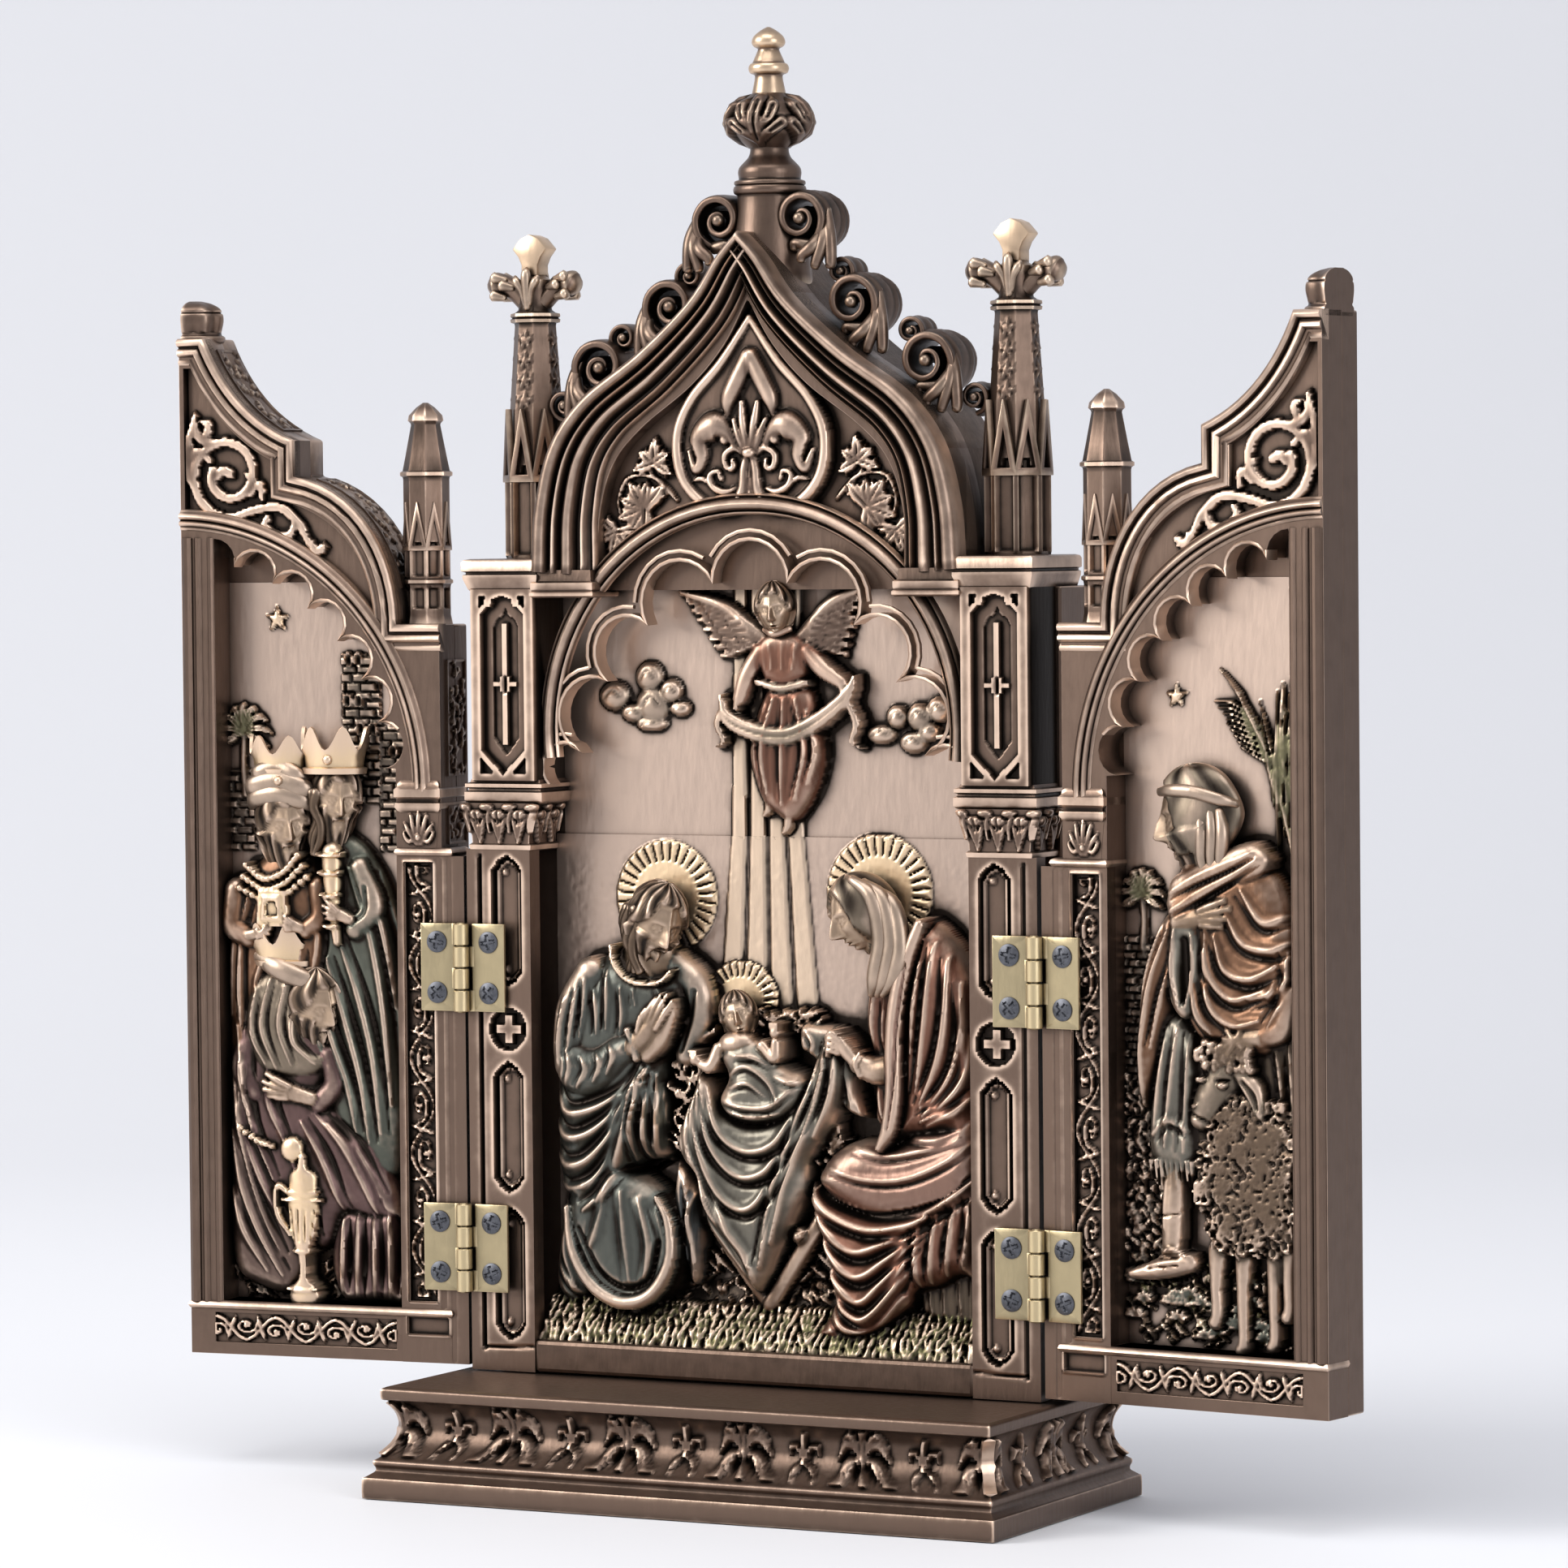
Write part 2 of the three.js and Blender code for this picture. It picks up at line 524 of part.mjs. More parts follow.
function centralPanel() {
  const nativity = [...skyAndGround(), ...kneelingMan(), ...kneelingWoman(), ...childInManger(), ...angel()];
  const clip = block(-PANEL.stileEdge - 1, PANEL.stileEdge + 1, 0.4, NICHE.floor + 3, PANEL.bottom + 1, 192);
  const figures = union(nativity).intersect(clip);
  const flanks = [-1, 1].flatMap((side) => [pilaster(side), bigPinnacle(side), ...crockets(side)]);
  const canopy = [gable(), archRoll(), medallion(), ...ivy()];
  const cast = union([body(), figures, ...canopy, ...flanks, centreFinial()]);
  const panels = union([-1, 1].flatMap(pilasterPanels));
  const holes = union([-1, 1].flatMap((side) => screwHoles(side)));
  return piece('central_panel', surface(cast.subtract(panels).subtract(holes)), bronze());
}

// ---------------------------------------------------------------- wings, drawn as the right one

// Their own frame has the hinge axis at x = 0, x outward, and the wing's front face at y = 0.

function wingTop() {
  const swell = new THREE.CubicBezierCurve(flat(14.6, 176.5), flat(15, 190), flat(23, 203.4),
    flat(37.8, 206));
  const sweep = new THREE.QuadraticBezierCurve(flat(37.8, 213.4), flat(52, 219), flat(58.4, 234.8));
  return [...swell.getPoints(5), ...sweep.getPoints(4)];
}

function wingBody() {
  const { start, free, bottom, depth } = WING;
  const { edge, top } = WING_STRIP;
  const outline = [flat(start, bottom), flat(free, bottom), flat(free, 234.8), ...wingTop().reverse(),
    flat(14.6, 175.2), flat(edge, 175.2), flat(edge, top), flat(start, top)];
  const finial = [flat(57.4, 234), flat(free, 234), flat(free, 242.8), flat(60.4, 242.2), flat(58.2, 240),
    flat(57.8, 237)];
  return prism(outline, 0, depth).add(prism(finial, 1.4, depth - 1.4));
}

// The half arch springs from the hinge stile and stops just short of the free edge.
function wingArch(radius, steps) {
  return Array.from({ length: steps + 1 }, (_, i) => {
    const angle = Math.PI - (Math.PI / 2 - WING_ARCH.short) * (i / steps);
    return flat(WING_ARCH.centre + radius * Math.cos(angle), WING_ARCH.spring + radius * Math.sin(angle));
  });
}

const WING_CUSPS = 8;

// The opening's top edge is scalloped: small half circles hang between cusps along the arch.
function scallops() {
  const radius = WING_ARCH.radius - 6.4;
  const span = Math.acos((WING_ARCH.centre - WING.freeStile) / radius);
  const edge = [];
  for (let i = 0; i < WING_CUSPS; i += 1) {
    const place = (k) => {
      const angle = Math.PI - (span * k) / WING_CUSPS;
      return flat(WING_ARCH.centre + radius * Math.cos(angle), WING_ARCH.spring + radius * Math.sin(angle));
    };
    const [from, to] = [place(i), place(i + 1)];
    const middle = from.clone().add(to).multiplyScalar(0.5);
    for (let k = 0; k < 3; k += 1) {
      edge.push(middle.clone().add(from.clone().sub(middle).rotateAround(flat(0, 0), (-Math.PI * k) / 3)));
    }
  }
  return edge;
}

function wingNiche() {
  const outline = [flat(WING.stile, 34.5), flat(WING.freeStile, 34.5), flat(WING.freeStile, 186),
    ...scallops().reverse(), flat(WING.stile, WING_ARCH.spring)];
  return prism(outline, -4, WING.floor);
}

function wingMouldings() {
  const across = (width) => [[0, 3], [0, -0.7], [0.38 * width, -0.9], [0.5 * width, 0], [0.62 * width, -0.6],
    [width, -0.3], [width, 3]];
  const roll = [[-1.4, 2], [-1, -0.8], [1, -0.8], [1.4, 2]];
  const top = moulding(wingTop(), across(6));
  const arch = moulding(wingArch(WING_ARCH.radius - 1.4, 8), roll);
  const upright = (x, half) => moulding([flat(x, 34), flat(x, 192)], roll.map(([n, y]) => [n * half, y]));
  return [top, arch, upright(62.6, 0.8), upright(58.6, 0.8)];
}

// A path's line moved to its right by a distance, with its corners mitred.
function inset(path, distance) {
  return path.map((point, i) => {
    const before = path[Math.max(i - 1, 0)];
    const after = path[Math.min(i + 1, path.length - 1)];
    const run = after.clone().sub(before).normalize();
    return flat(point.x + run.y * distance, point.y - run.x * distance);
  });
}

// The field between the outline's mouldings and the arch, sunk a little.
function wingSpandrel() {
  const edge = inset(wingTop(), 6.2).map((point) => flat(Math.min(point.x, 61.4), Math.min(point.y, 226)));
  const outline = [...edge.filter((point) => point.y < 226), flat(61.4, 190), flat(26, 172)];
  const arch = polygon(WING_ARCH.centre, WING_ARCH.spring, WING_ARCH.radius + 0.2, 40);
  return prism(outline.reverse(), -4, 1.1).subtract(prism(arch, -6, 4));
}

function wingScroll() {
  const turnPath = Array.from({ length: 11 }, (_, i) => {
    const angle = degrees(205 + i * 36);
    const radius = 9 - i * 0.5;
    return flat(53.6 + radius * Math.cos(angle), 207.4 + radius * Math.sin(angle));
  });
  const stem = [flat(33.5, 190.4), flat(38, 194.5), ...turnPath];
  return moulding(stem, [[-0.9, 2.4], [-0.9, 0], [0.9, 0], [0.9, 2.4]]);
}

function wingCapital() {
  const level = (z, front) => [vec(5.3, front, z), vec(14.8, front, z), vec(14.8, 8, z), vec(5.3, 8, z)];
  const leaves = loft([level(129.5, 0), level(131, -0.6), level(142.6, -0.9), level(143.4, 0.4)]);
  const cap = block(5, 16, -0.8, WING.depth, 168.6, 175.4);
  return [leaves, cap];
}

function smallPinnacle() {
  return turned([[175, 4.9], [177.2, 4.4], [183.4, 4.4], [184, 4.9], [190, 4.9], [198.4, 4.3], [205.6, 4.3],
    [206, 5], [216.6, 2.8], [217.2, 3.4], [221, 0.3]], 8, 11.4, 8);
}

function wingPanels() {
  const frieze = prism(rectangle(17.5, 58, 25.8, 31.8), -4, 0.7);
  const vine = prism(rectangle(9.2, 14, 58.5, 94), -4, 0.7);
  const edgePanel = block(WING.free - 0.6, WING.free + 4, 4.5, 9.5, 30, 180);
  return [frieze, vine, edgePanel];
}

function wing(figures) {
  const clip = block(WING.stile - 0.5, WING.freeStile + 0.5, 0.3, WING.floor + 2, 34, 190);
  const relief = union(figures).intersect(clip);
  const holes = union(screwHoles(0));
  const panels = union(wingPanels());
  return union([wingBody().subtract(wingNiche()).subtract(wingSpandrel()).subtract(panels), relief,
    ...wingMouldings(), wingScroll(), ...wingCapital(), smallPinnacle()]).subtract(holes);
}

function groundAndBack(height) {
  const middle = (WING.stile + WING.freeStile) / 2;
  return draped([[33.5, middle, 22, 6.6], [height, middle, 22.4, 2.6]], WING.floor + 0.3);
}

function star(x, z, radius) {
  const points = Array.from({ length: 10 }, (_, i) => {
    const angle = Math.PI / 2 + (Math.PI * i) / 5;
    const reach = radius * (i % 2 === 1 ? 0.42 : 1);
    return flat(x + reach * Math.cos(angle), z + reach * Math.sin(angle));
  });
  return prism(points, WING.floor - 0.7, WING.floor + 0.3);
}

function crown(x, z, half) {
  return turned([[z, half], [z + 4.4, half * 1.16]], 6, x, 4.6);
}

function threeKings() {
  const floor = WING.floor;
  const first = draped([[60, 46, 9, 5.4], [100, 45, 10, 6], [118, 44.4, 9.6, 5.8], [127, 43.6, 4, 5]], floor);
  const second = draped([[38, 24, 7, 4], [90, 24, 8, 5], [112, 25, 7.6, 5], [129, 29, 5.6, 4.6]], floor);
  const kneeling = draped([[35, 38, 18, 6.4], [50, 38, 18.4, 6.8], [70, 41.4, 14.4, 6.8],
    [86, 42.6, 11.6, 6.6], [94, 40, 7, 6]], floor);
  const heads = [[43.6, 134.6, 4.8], [30.2, 137.6, 4.4], [37.6, 98.4, 5]].map(([x, z, r]) => (
    ball(x, 4, z, r * 0.86, 3.6, r * 1.2, 6)));
  const beards = [[41.8, 128.6, 2.6], [29.6, 130.8, 2.4]].map(([x, z, r]) => (
    ball(x, 3, z, r, 2.2, r * 1.3, 5)));
  const crowns = [crown(43.6, 139.6, 4), crown(30.2, 142.6, 4), crown(43, 106, 3.8)];
  const arms = [limb([[50, 2.6, 118, 3], [49, 2, 110, 3], [44, 2, 112, 2]], 5),
    limb([[46, 2.6, 84, 3], [44, 1.8, 74, 3.2], [37.6, 2, 80.4, 2.2]], 5),
    limb([[24, 3, 124, 2.6], [25.6, 2.4, 116, 2.4], [29.6, 2.2, 124, 1.6]], 5)];
  const chest = block(42, 48.4, 1.4, 4, 113.6, 119.6);
  const ewer = turned([[35, 2.6], [36.4, 1], [48, 3.6], [52, 2.6], [57.6, 3.2], [62.6, 0.4]], 6, 37.6, 4.4);
  const tower = block(17, 27, floor - 1.4, floor + 0.3, 140, 170);
  const kings = [first, second, kneeling, ...heads, ...beards, ...crowns, ...arms];
  return [groundAndBack(38), ...kings, chest, ewer, tower, star(44.6, 176.4, 3)];
}

function shepherd() {
  const floor = WING.floor;
  const cloak = draped([[76, 42, 8, 5], [92, 43, 15, 6.4], [112, 43, 14.4, 6.4], [124, 39, 9.6, 6],
    [131, 35.6, 6, 5.4]], floor);
  const hood = draped([[126, 36, 6, 6.6], [142, 36, 6.6, 6.6], [147.4, 34.6, 4, 4.6]], floor, 2);
  const face = ball(31.8, 3.6, 137.6, 3.6, 3.6, 5, 7);
  const legs = [limb([[31, 4.2, 92, 4.6], [29.4, 3.6, 76, 4.2], [29, 4, 64, 2.8], [28, 4.2, 49, 2.2]], 5),
    limb([[28.6, 3.6, 48.4, 2.4], [24.4, 3.2, 46, 2.6], [18.6, 3.8, 45, 1.6]], 5)];
  const arms = [limb([[31.4, 2.6, 120, 3.2], [29.6, 2, 108, 3.2], [37.6, 1.8, 116, 2]], 5),
    limb([[55, 3, 112, 4], [55.4, 2.6, 98, 3.6], [46.6, 2.4, 88, 1.8]], 5)];
  const sheep = [ball(46.6, 4.2, 63, 8.2, 4.2, 11.6, 7), ball(43.4, 3.4, 81, 3.8, 3.4, 5.6, 6),
    limb([[44, 4, 56, 2], [43.6, 4.6, 38, 1.5]], 5), limb([[51, 4, 56, 2], [51.6, 4.6, 37, 1.5]], 5)];
  const wall = block(16, 21, floor - 1.2, floor + 0.3, 60, 110);
  return [groundAndBack(44), cloak, hood, face, ...legs, ...arms, ...sheep, wall, star(58.4, 180, 2.8),
    star(30.4, 160, 2.6)];
}

// ---------------------------------------------------------------- hinges and screws

const HINGE_NAMES = ['lower', 'upper'];

const hingeMiddle = (level) => HINGE_BOTTOMS[level] + HINGE.tall / 2;

// Blind holes for one member's eight or four screws; side 0 is a wing in its own frame.
function screwHoles(side) {
  const x = side === 0 ? SCREW.inset : side * (HINGE.x - SCREW.inset);
  return HINGE_NAMES.flatMap((level) => [-1, 1].map((up) => {
    const z = hingeMiddle(level) + up * SCREW.rise;
    return prism(polygon(x, z, SCREW.hole, 5), -3, SCREW.length + 0.6);
  }));
}

// Leaf and two of the four knuckles, in the wing's frame turned so that x runs outward.
function hingeLeaf(level, first) {
  const bottom = HINGE_BOTTOMS[level];
  const axis = HINGE.y;
  const pitch = HINGE.tall / KNUCKLES;
  const [front, back] = [HINGE.back - HINGE.thick, HINGE.back];
  const plate = block(HINGE.barrel + 0.35, HINGE.leaf, front, back, bottom, bottom + HINGE.tall);
  const parts = [plate];
  for (let i = first; i < KNUCKLES; i += 2) {
    const low = bottom + i * pitch + (i === 0 ? 0 : GAP / 2);
    const high = bottom + (i + 1) * pitch - (i === KNUCKLES - 1 ? 0 : GAP / 2);
    parts.push(turned([[low, HINGE.barrel], [high, HINGE.barrel]], 8, 0, axis));
    parts.push(block(0, HINGE.barrel + 0.8, front, back, low, high));
  }
  const wall = HINGE.pin + 0.18;
  const bore = turned([[bottom - 1, wall], [bottom + HINGE.tall + 1, wall]], 6, 0, axis);
  const holes = union([-1, 1].map((up) => prism(polygon(SCREW.inset, hingeMiddle(level) + up * SCREW.rise,
    SCREW.hole, 5), -3, 2)));
  return union(parts).subtract(bore).subtract(holes);
}

function hingePin(level) {
  const bottom = HINGE_BOTTOMS[level];
  return turned([[bottom - 0.2, HINGE.pin], [bottom + HINGE.tall + 0.2, HINGE.pin]], 6, 0, HINGE.y);
}

function screw(level, up) {
  const z = hingeMiddle(level) + up * SCREW.rise;
  const seat = HINGE.back - HINGE.thick - 0.05;
  const levels = [[SCREW.length, SCREW.shank], [seat, SCREW.shank], [seat, SCREW.head],
    [seat - SCREW.dome, SCREW.head * 0.7]];
  const rings = levels.map(([y, radius]) => polygon(SCREW.inset, z, radius, SCREW.sides).map((point) => (
    vec(point.x, y, point.y))));
  return loft(rings);
}

// ---------------------------------------------------------------- assembly

// A wing's group turns about its hinge axis; the axis stands in front of the wing's face.
function wingGroup(side, name, figures) {
  const angle = side > 0 ? -degrees(OPEN_ANGLE.right) : degrees(OPEN_ANGLE.left);
  const hung = new THREE.Group();
  hung.position.set(side * HINGE.x, HINGE.y, 0);
  hung.rotation.z = angle;
  const mirrored = side < 0;
  const hang = (mesh) => {
    mesh.geometry.translate(0, -HINGE.y, 0);
    hung.add(mesh);
  };
  hang(piece(`${name}_wing`, surface(wing(figures), mirrored), bronze()));
  HINGE_NAMES.forEach((level) => {
    hang(piece(`${name}_${level}_hinge_wing_leaf`, surface(hingeLeaf(level, 1), mirrored), brass()));
    [-1, 1].forEach((up, i) => {
      hang(piece(`${name}_${level}_wing_screw_${i + 1}`, surface(screw(level, up), mirrored), blackSteel()));
    });
  });
  return hung;
}

// The leaves, pins and screws that stay with the centre.
function fixedHinges(side, name) {
  const mirrored = side > 0;
  const group = new THREE.Group();
  group.position.x = side * HINGE.x;
  HINGE_NAMES.forEach((level) => {
    group.add(piece(`${name}_${level}_hinge_fixed_leaf`, surface(hingeLeaf(level, 0), mirrored), brass()));
    group.add(piece(`${name}_${level}_hinge_pin`, surface(hingePin(level)), brass()));
    [-1, 1].forEach((up, i) => {
      const shape = surface(screw(level, up), mirrored);
      group.add(piece(`${name}_${level}_fixed_screw_${i + 1}`, shape, blackSteel()));
    });
  });
  return group;
}

const triptych = new THREE.Group();
triptych.add(base(), centralPanel());
triptych.add(fixedHinges(-1, 'left'), fixedHinges(1, 'right'));
triptych.add(wingGroup(-1, 'left', threeKings()), wingGroup(1, 'right', shepherd()));

export default triptych;
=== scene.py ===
import math

import bpy
import numpy as np
from mathutils import Matrix, Vector


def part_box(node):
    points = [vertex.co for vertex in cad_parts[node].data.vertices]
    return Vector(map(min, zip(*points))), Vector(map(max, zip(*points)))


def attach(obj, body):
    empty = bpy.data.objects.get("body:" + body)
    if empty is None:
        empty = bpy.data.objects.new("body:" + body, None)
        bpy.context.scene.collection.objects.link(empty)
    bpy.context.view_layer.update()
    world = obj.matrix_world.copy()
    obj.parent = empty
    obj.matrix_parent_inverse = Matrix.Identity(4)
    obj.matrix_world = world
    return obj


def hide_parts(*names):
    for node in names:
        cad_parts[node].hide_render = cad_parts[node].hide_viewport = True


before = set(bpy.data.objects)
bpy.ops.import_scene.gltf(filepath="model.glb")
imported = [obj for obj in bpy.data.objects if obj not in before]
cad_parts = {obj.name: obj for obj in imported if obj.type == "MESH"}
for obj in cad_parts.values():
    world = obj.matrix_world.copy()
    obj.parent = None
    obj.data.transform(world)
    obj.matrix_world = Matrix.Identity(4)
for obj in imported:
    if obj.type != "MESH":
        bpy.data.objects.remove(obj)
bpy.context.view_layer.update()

# ---------------------------------------------------------------- the studio
# A pale sweep of card under two large soft boxes and a fill, with the camera a little above
# the base and well to the right, far off on a long lens.
CAMERA_PLACE = Vector((0.61587, -1.15291, 0.19429))
CAMERA_YAW = math.radians(27.76)
CAMERA_DIP = math.radians(2.24)
CAMERA_ROLL = math.radians(0.56)
LENS = 150.2
SENSOR = 36

camera_data = bpy.data.cameras.new("camera")
camera_data.lens = LENS
camera_data.sensor_width = SENSOR
camera_data.clip_end = 20
camera = bpy.data.objects.new("camera", camera_data)
turn = (Matrix.Rotation(CAMERA_YAW, 4, "Z") @ Matrix.Rotation(math.pi / 2 - CAMERA_DIP, 4, "X")
        @ Matrix.Rotation(-CAMERA_ROLL, 4, "Z"))
camera.matrix_world = Matrix.Translation(CAMERA_PLACE) @ turn
bpy.context.scene.collection.objects.link(camera)
bpy.context.scene.camera = camera


def soft_box(name, place, aim, size, power, colour=(1, 1, 1)):
    """A rectangular soft light at a place, facing a point, in metres and watts."""
    data = bpy.data.lights.new(name, "AREA")
    data.shape = "RECTANGLE"
    data.size, data.size_y = size
    data.energy = power
    data.color = colour
    lamp = bpy.data.objects.new(name, data)
    facing = (Vector(aim) - Vector(place)).to_track_quat("-Z", "Y")
    lamp.matrix_world = Matrix.Translation(place) @ facing.to_matrix().to_4x4()
    bpy.context.scene.collection.objects.link(lamp)
    return lamp


MIDDLE = (0, 0, 0.15)
soft_box("key_light", (-1.1, -1.0, 0.85), MIDDLE, (0.8, 0.9), 23, (1, 0.98, 0.95))
soft_box("top_light", (0.1, -0.5, 1.5), MIDDLE, (1.2, 0.8), 10)
soft_box("fill_light", (1.3, -0.6, 0.5), MIDDLE, (0.6, 1.0), 7, (0.95, 0.97, 1))

world = bpy.data.worlds.new("studio_air")
world.use_nodes = True
world.node_tree.nodes["Background"].inputs["Color"].default_value = (0.80, 0.81, 0.86, 1)
world.node_tree.nodes["Background"].inputs["Strength"].default_value = 0.75
bpy.context.scene.world = world
bpy.context.scene.view_settings.view_transform = "Standard"


def card(name, colour):
    """Matt card with a very faint mottle."""
    finish = bpy.data.materials.new(name)
    finish.use_nodes = True
    nodes, links = finish.node_tree.nodes, finish.node_tree.links
    shader = nodes["Principled BSDF"]
    shader.inputs["Roughness"].default_value = 0.6
    place = nodes.new("ShaderNodeTexCoord")
    mottle = nodes.new("ShaderNodeTexNoise")
    mottle.inputs["Scale"].default_value = 3
    shades = nodes.new("ShaderNodeValToRGB")
    shades.color_ramp.elements[0].color = (*[c * 0.97 for c in colour], 1)
    shades.color_ramp.elements[1].color = (*colour, 1)
    links.new(place.outputs["Object"], mottle.inputs["Vector"])
    links.new(mottle.outputs["Fac"], shades.inputs["Fac"])
    links.new(shades.outputs["Color"], shader.inputs["Base Color"])
    return finish


# The card runs from in front of the camera's foot, bends up behind the piece and stands straight.
SWEEP_HALF, SWEEP_FRONT, SWEEP_START, SWEEP_RADIUS, SWEEP_TOP = 3.0, -2.5, 0.7, 1.1, 3.0
SWEEP_GAP, SWEEP_STEPS = 0.0002, 26
bpy.ops.object.select_all(action="DESELECT")
bpy.ops.mesh.primitive_grid_add(x_subdivisions=1, y_subdivisions=SWEEP_STEPS + 1)
floor = bpy.context.object
floor.name = "card_sweep"
bend = np.linspace(0, math.pi / 2, SWEEP_STEPS)
back = np.concatenate([[SWEEP_FRONT], SWEEP_START + SWEEP_RADIUS * np.sin(bend),
                       [SWEEP_START + SWEEP_RADIUS]])
rise = np.concatenate([[0], SWEEP_RADIUS * (1 - np.cos(bend)), [SWEEP_TOP]]) - SWEEP_GAP
across = np.array([-SWEEP_HALF, SWEEP_HALF])
c, s = math.cos(CAMERA_YAW), math.sin(CAMERA_YAW)
run = np.array([[(c * u - s * v, s * u + c * v, w) for u in across] for v, w in zip(back, rise)])
floor.data.vertices.foreach_set("co", run.astype(np.float32).ravel())
floor.data.update()
bpy.ops.object.shade_smooth()
floor.data.materials.append(card("pale_card", (0.76, 0.765, 0.79)))

# ---------------------------------------------------------------- the base
# A plinth cast in one piece: a flat foot, a hollowed frieze under a slab, and on the frieze
# palmettes and lilies that stand up in turn. Everything is bronze-filled resin, painted dark
# and rubbed back bright on what stands proud.
MM = 0.001
SOOT = (0.018, 0.013, 0.010)
BRONZE = (0.150, 0.101, 0.076)
RUBBED = (0.70, 0.52, 0.40)
WASH_LEFT = 0.68


def bronze(name, bright=RUBBED, rough=0.36, washed=False, grain=0.4, body=BRONZE):
    """Rubbed bronze: soot in the hollows, body colour between, and bare metal on the crests.
    A piece's wear attribute says which is which; its tint attribute can wash the body colour."""
    finish = bpy.data.materials.new(name)
    finish.use_nodes = True
    nodes, links = finish.node_tree.nodes, finish.node_tree.links
    shader = nodes["Principled BSDF"]
    shader.inputs["Metallic"].default_value = 0.92

    place = nodes.new("ShaderNodeTexCoord")
    mottle = nodes.new("ShaderNodeTexNoise")
    mottle.inputs["Scale"].default_value = 260
    mottle.inputs["Detail"].default_value = 6
    streaks = nodes.new("ShaderNodeTexNoise")
    streaks.inputs["Scale"].default_value = 900
    streaks.inputs["Detail"].default_value = 3
    brushed = nodes.new("ShaderNodeMapping")
    brushed.inputs["Scale"].default_value = (1, 1, 0.22)
    brushed.inputs["Rotation"].default_value = (0, 0.5, 0)
    links.new(place.outputs["Object"], mottle.inputs["Vector"])
    links.new(place.outputs["Object"], brushed.inputs["Vector"])
    links.new(brushed.outputs["Vector"], streaks.inputs["Vector"])

    worn = nodes.new("ShaderNodeAttribute")
    worn.attribute_name = "wear"
    uneven = nodes.new("ShaderNodeMath")
    uneven.operation = "MULTIPLY_ADD"
    uneven.inputs[1].default_value = 0.22
    shift = nodes.new("ShaderNodeMath")
    shift.operation = "SUBTRACT"
    shift.inputs[1].default_value = 0.11
    links.new(mottle.outputs["Fac"], uneven.inputs[0])
    links.new(worn.outputs["Fac"], uneven.inputs[2])
    links.new(uneven.outputs[0], shift.inputs[0])

    def step(low, high):
        span = nodes.new("ShaderNodeMapRange")
        span.interpolation_type = "SMOOTHSTEP"
        span.inputs["From Min"].default_value = low
        span.inputs["From Max"].default_value = high
        links.new(shift.outputs[0], span.inputs["Value"])
        return span.outputs["Result"]

    def blend(amount, below, above):
        mixed = nodes.new("ShaderNodeMix")
        mixed.data_type = "RGBA"
        links.new(amount, mixed.inputs[0])
        for colour, socket in ((below, mixed.inputs[6]), (above, mixed.inputs[7])):
            if isinstance(colour, tuple):
                socket.default_value = (*colour, 1)
            else:
                links.new(colour, socket)
        return mixed.outputs[2]

    if washed:
        wash = nodes.new("ShaderNodeAttribute")
        wash.attribute_name = "tint"
        body = wash.outputs["Color"]
    worked = blend(step(0.12, 0.5), SOOT, body)
    if washed:
        sheen = nodes.new("ShaderNodeMix")
        sheen.data_type = "RGBA"
        sheen.inputs[0].default_value = WASH_LEFT
        links.new(body, sheen.inputs[6])
        sheen.inputs[7].default_value = (*bright, 1)
        bright = sheen.outputs[2]
    rubbed = blend(step(0.52, 0.92), worked, bright)
    crevice = nodes.new("ShaderNodeAmbientOcclusion")
    crevice.samples = 4
    crevice.inputs["Distance"].default_value = 0.0032
    shade = nodes.new("ShaderNodeMapRange")
    shade.inputs["From Min"].default_value = 0.15
    shade.inputs["From Max"].default_value = 0.85
    links.new(crevice.outputs["AO"], shade.inputs["Value"])
    links.new(blend(shade.outputs["Result"], SOOT, rubbed), shader.inputs["Base Color"])

    gloss = nodes.new("ShaderNodeMapRange")
    gloss.inputs["To Min"].default_value = rough + 0.12
    gloss.inputs["To Max"].default_value = rough - 0.06
    links.new(streaks.outputs["Fac"], gloss.inputs["Value"])
    links.new(gloss.outputs["Result"], shader.inputs["Roughness"])
    bump = nodes.new("ShaderNodeBump")
    bump.inputs["Strength"].default_value = grain
    bump.inputs["Distance"].default_value = 0.00012
    links.new(streaks.outputs["Fac"], bump.inputs["Height"])
    links.new(bump.outputs["Normal"], shader.inputs["Normal"])
    return finish


def skin(name, points):
    """A mesh whose rows and columns of points, in millimetres, are given."""
    rows, columns = points.shape[:2]
    bpy.ops.object.select_all(action="DESELECT")
    bpy.ops.mesh.primitive_grid_add(x_subdivisions=columns - 1, y_subdivisions=rows - 1)
    piece = bpy.context.object
    piece.name = piece.data.name = name
    piece.data.vertices.foreach_set("co", (points * MM).astype(np.float32).ravel())
    piece.data.update()
    return piece


def close(piece, turn=30, outward=True):
    """Joins the piece's seams, fills what is still open, turns its faces out and smooths it."""
    bpy.ops.object.select_all(action="DESELECT")
    piece.select_set(True)
    bpy.context.view_layer.objects.active = piece
    bpy.ops.object.mode_set(mode="EDIT")
    bpy.ops.mesh.select_all(action="SELECT")
    bpy.ops.mesh.remove_doubles(threshold=0.000004)
    bpy.ops.mesh.select_all(action="DESELECT")
    bpy.ops.mesh.select_mode(type="EDGE")
    bpy.ops.mesh.select_non_manifold(extend=False, use_wire=False, use_boundary=True,
                                     use_multi_face=False, use_non_contiguous=False, use_verts=False)
    bpy.ops.mesh.edge_face_add()
    if outward:
        bpy.ops.mesh.select_all(action="SELECT")
        bpy.ops.mesh.normals_make_consistent(inside=False)
    bpy.ops.object.mode_set(mode="OBJECT")
    bpy.ops.object.shade_smooth_by_angle(angle=math.radians(turn))
    return piece


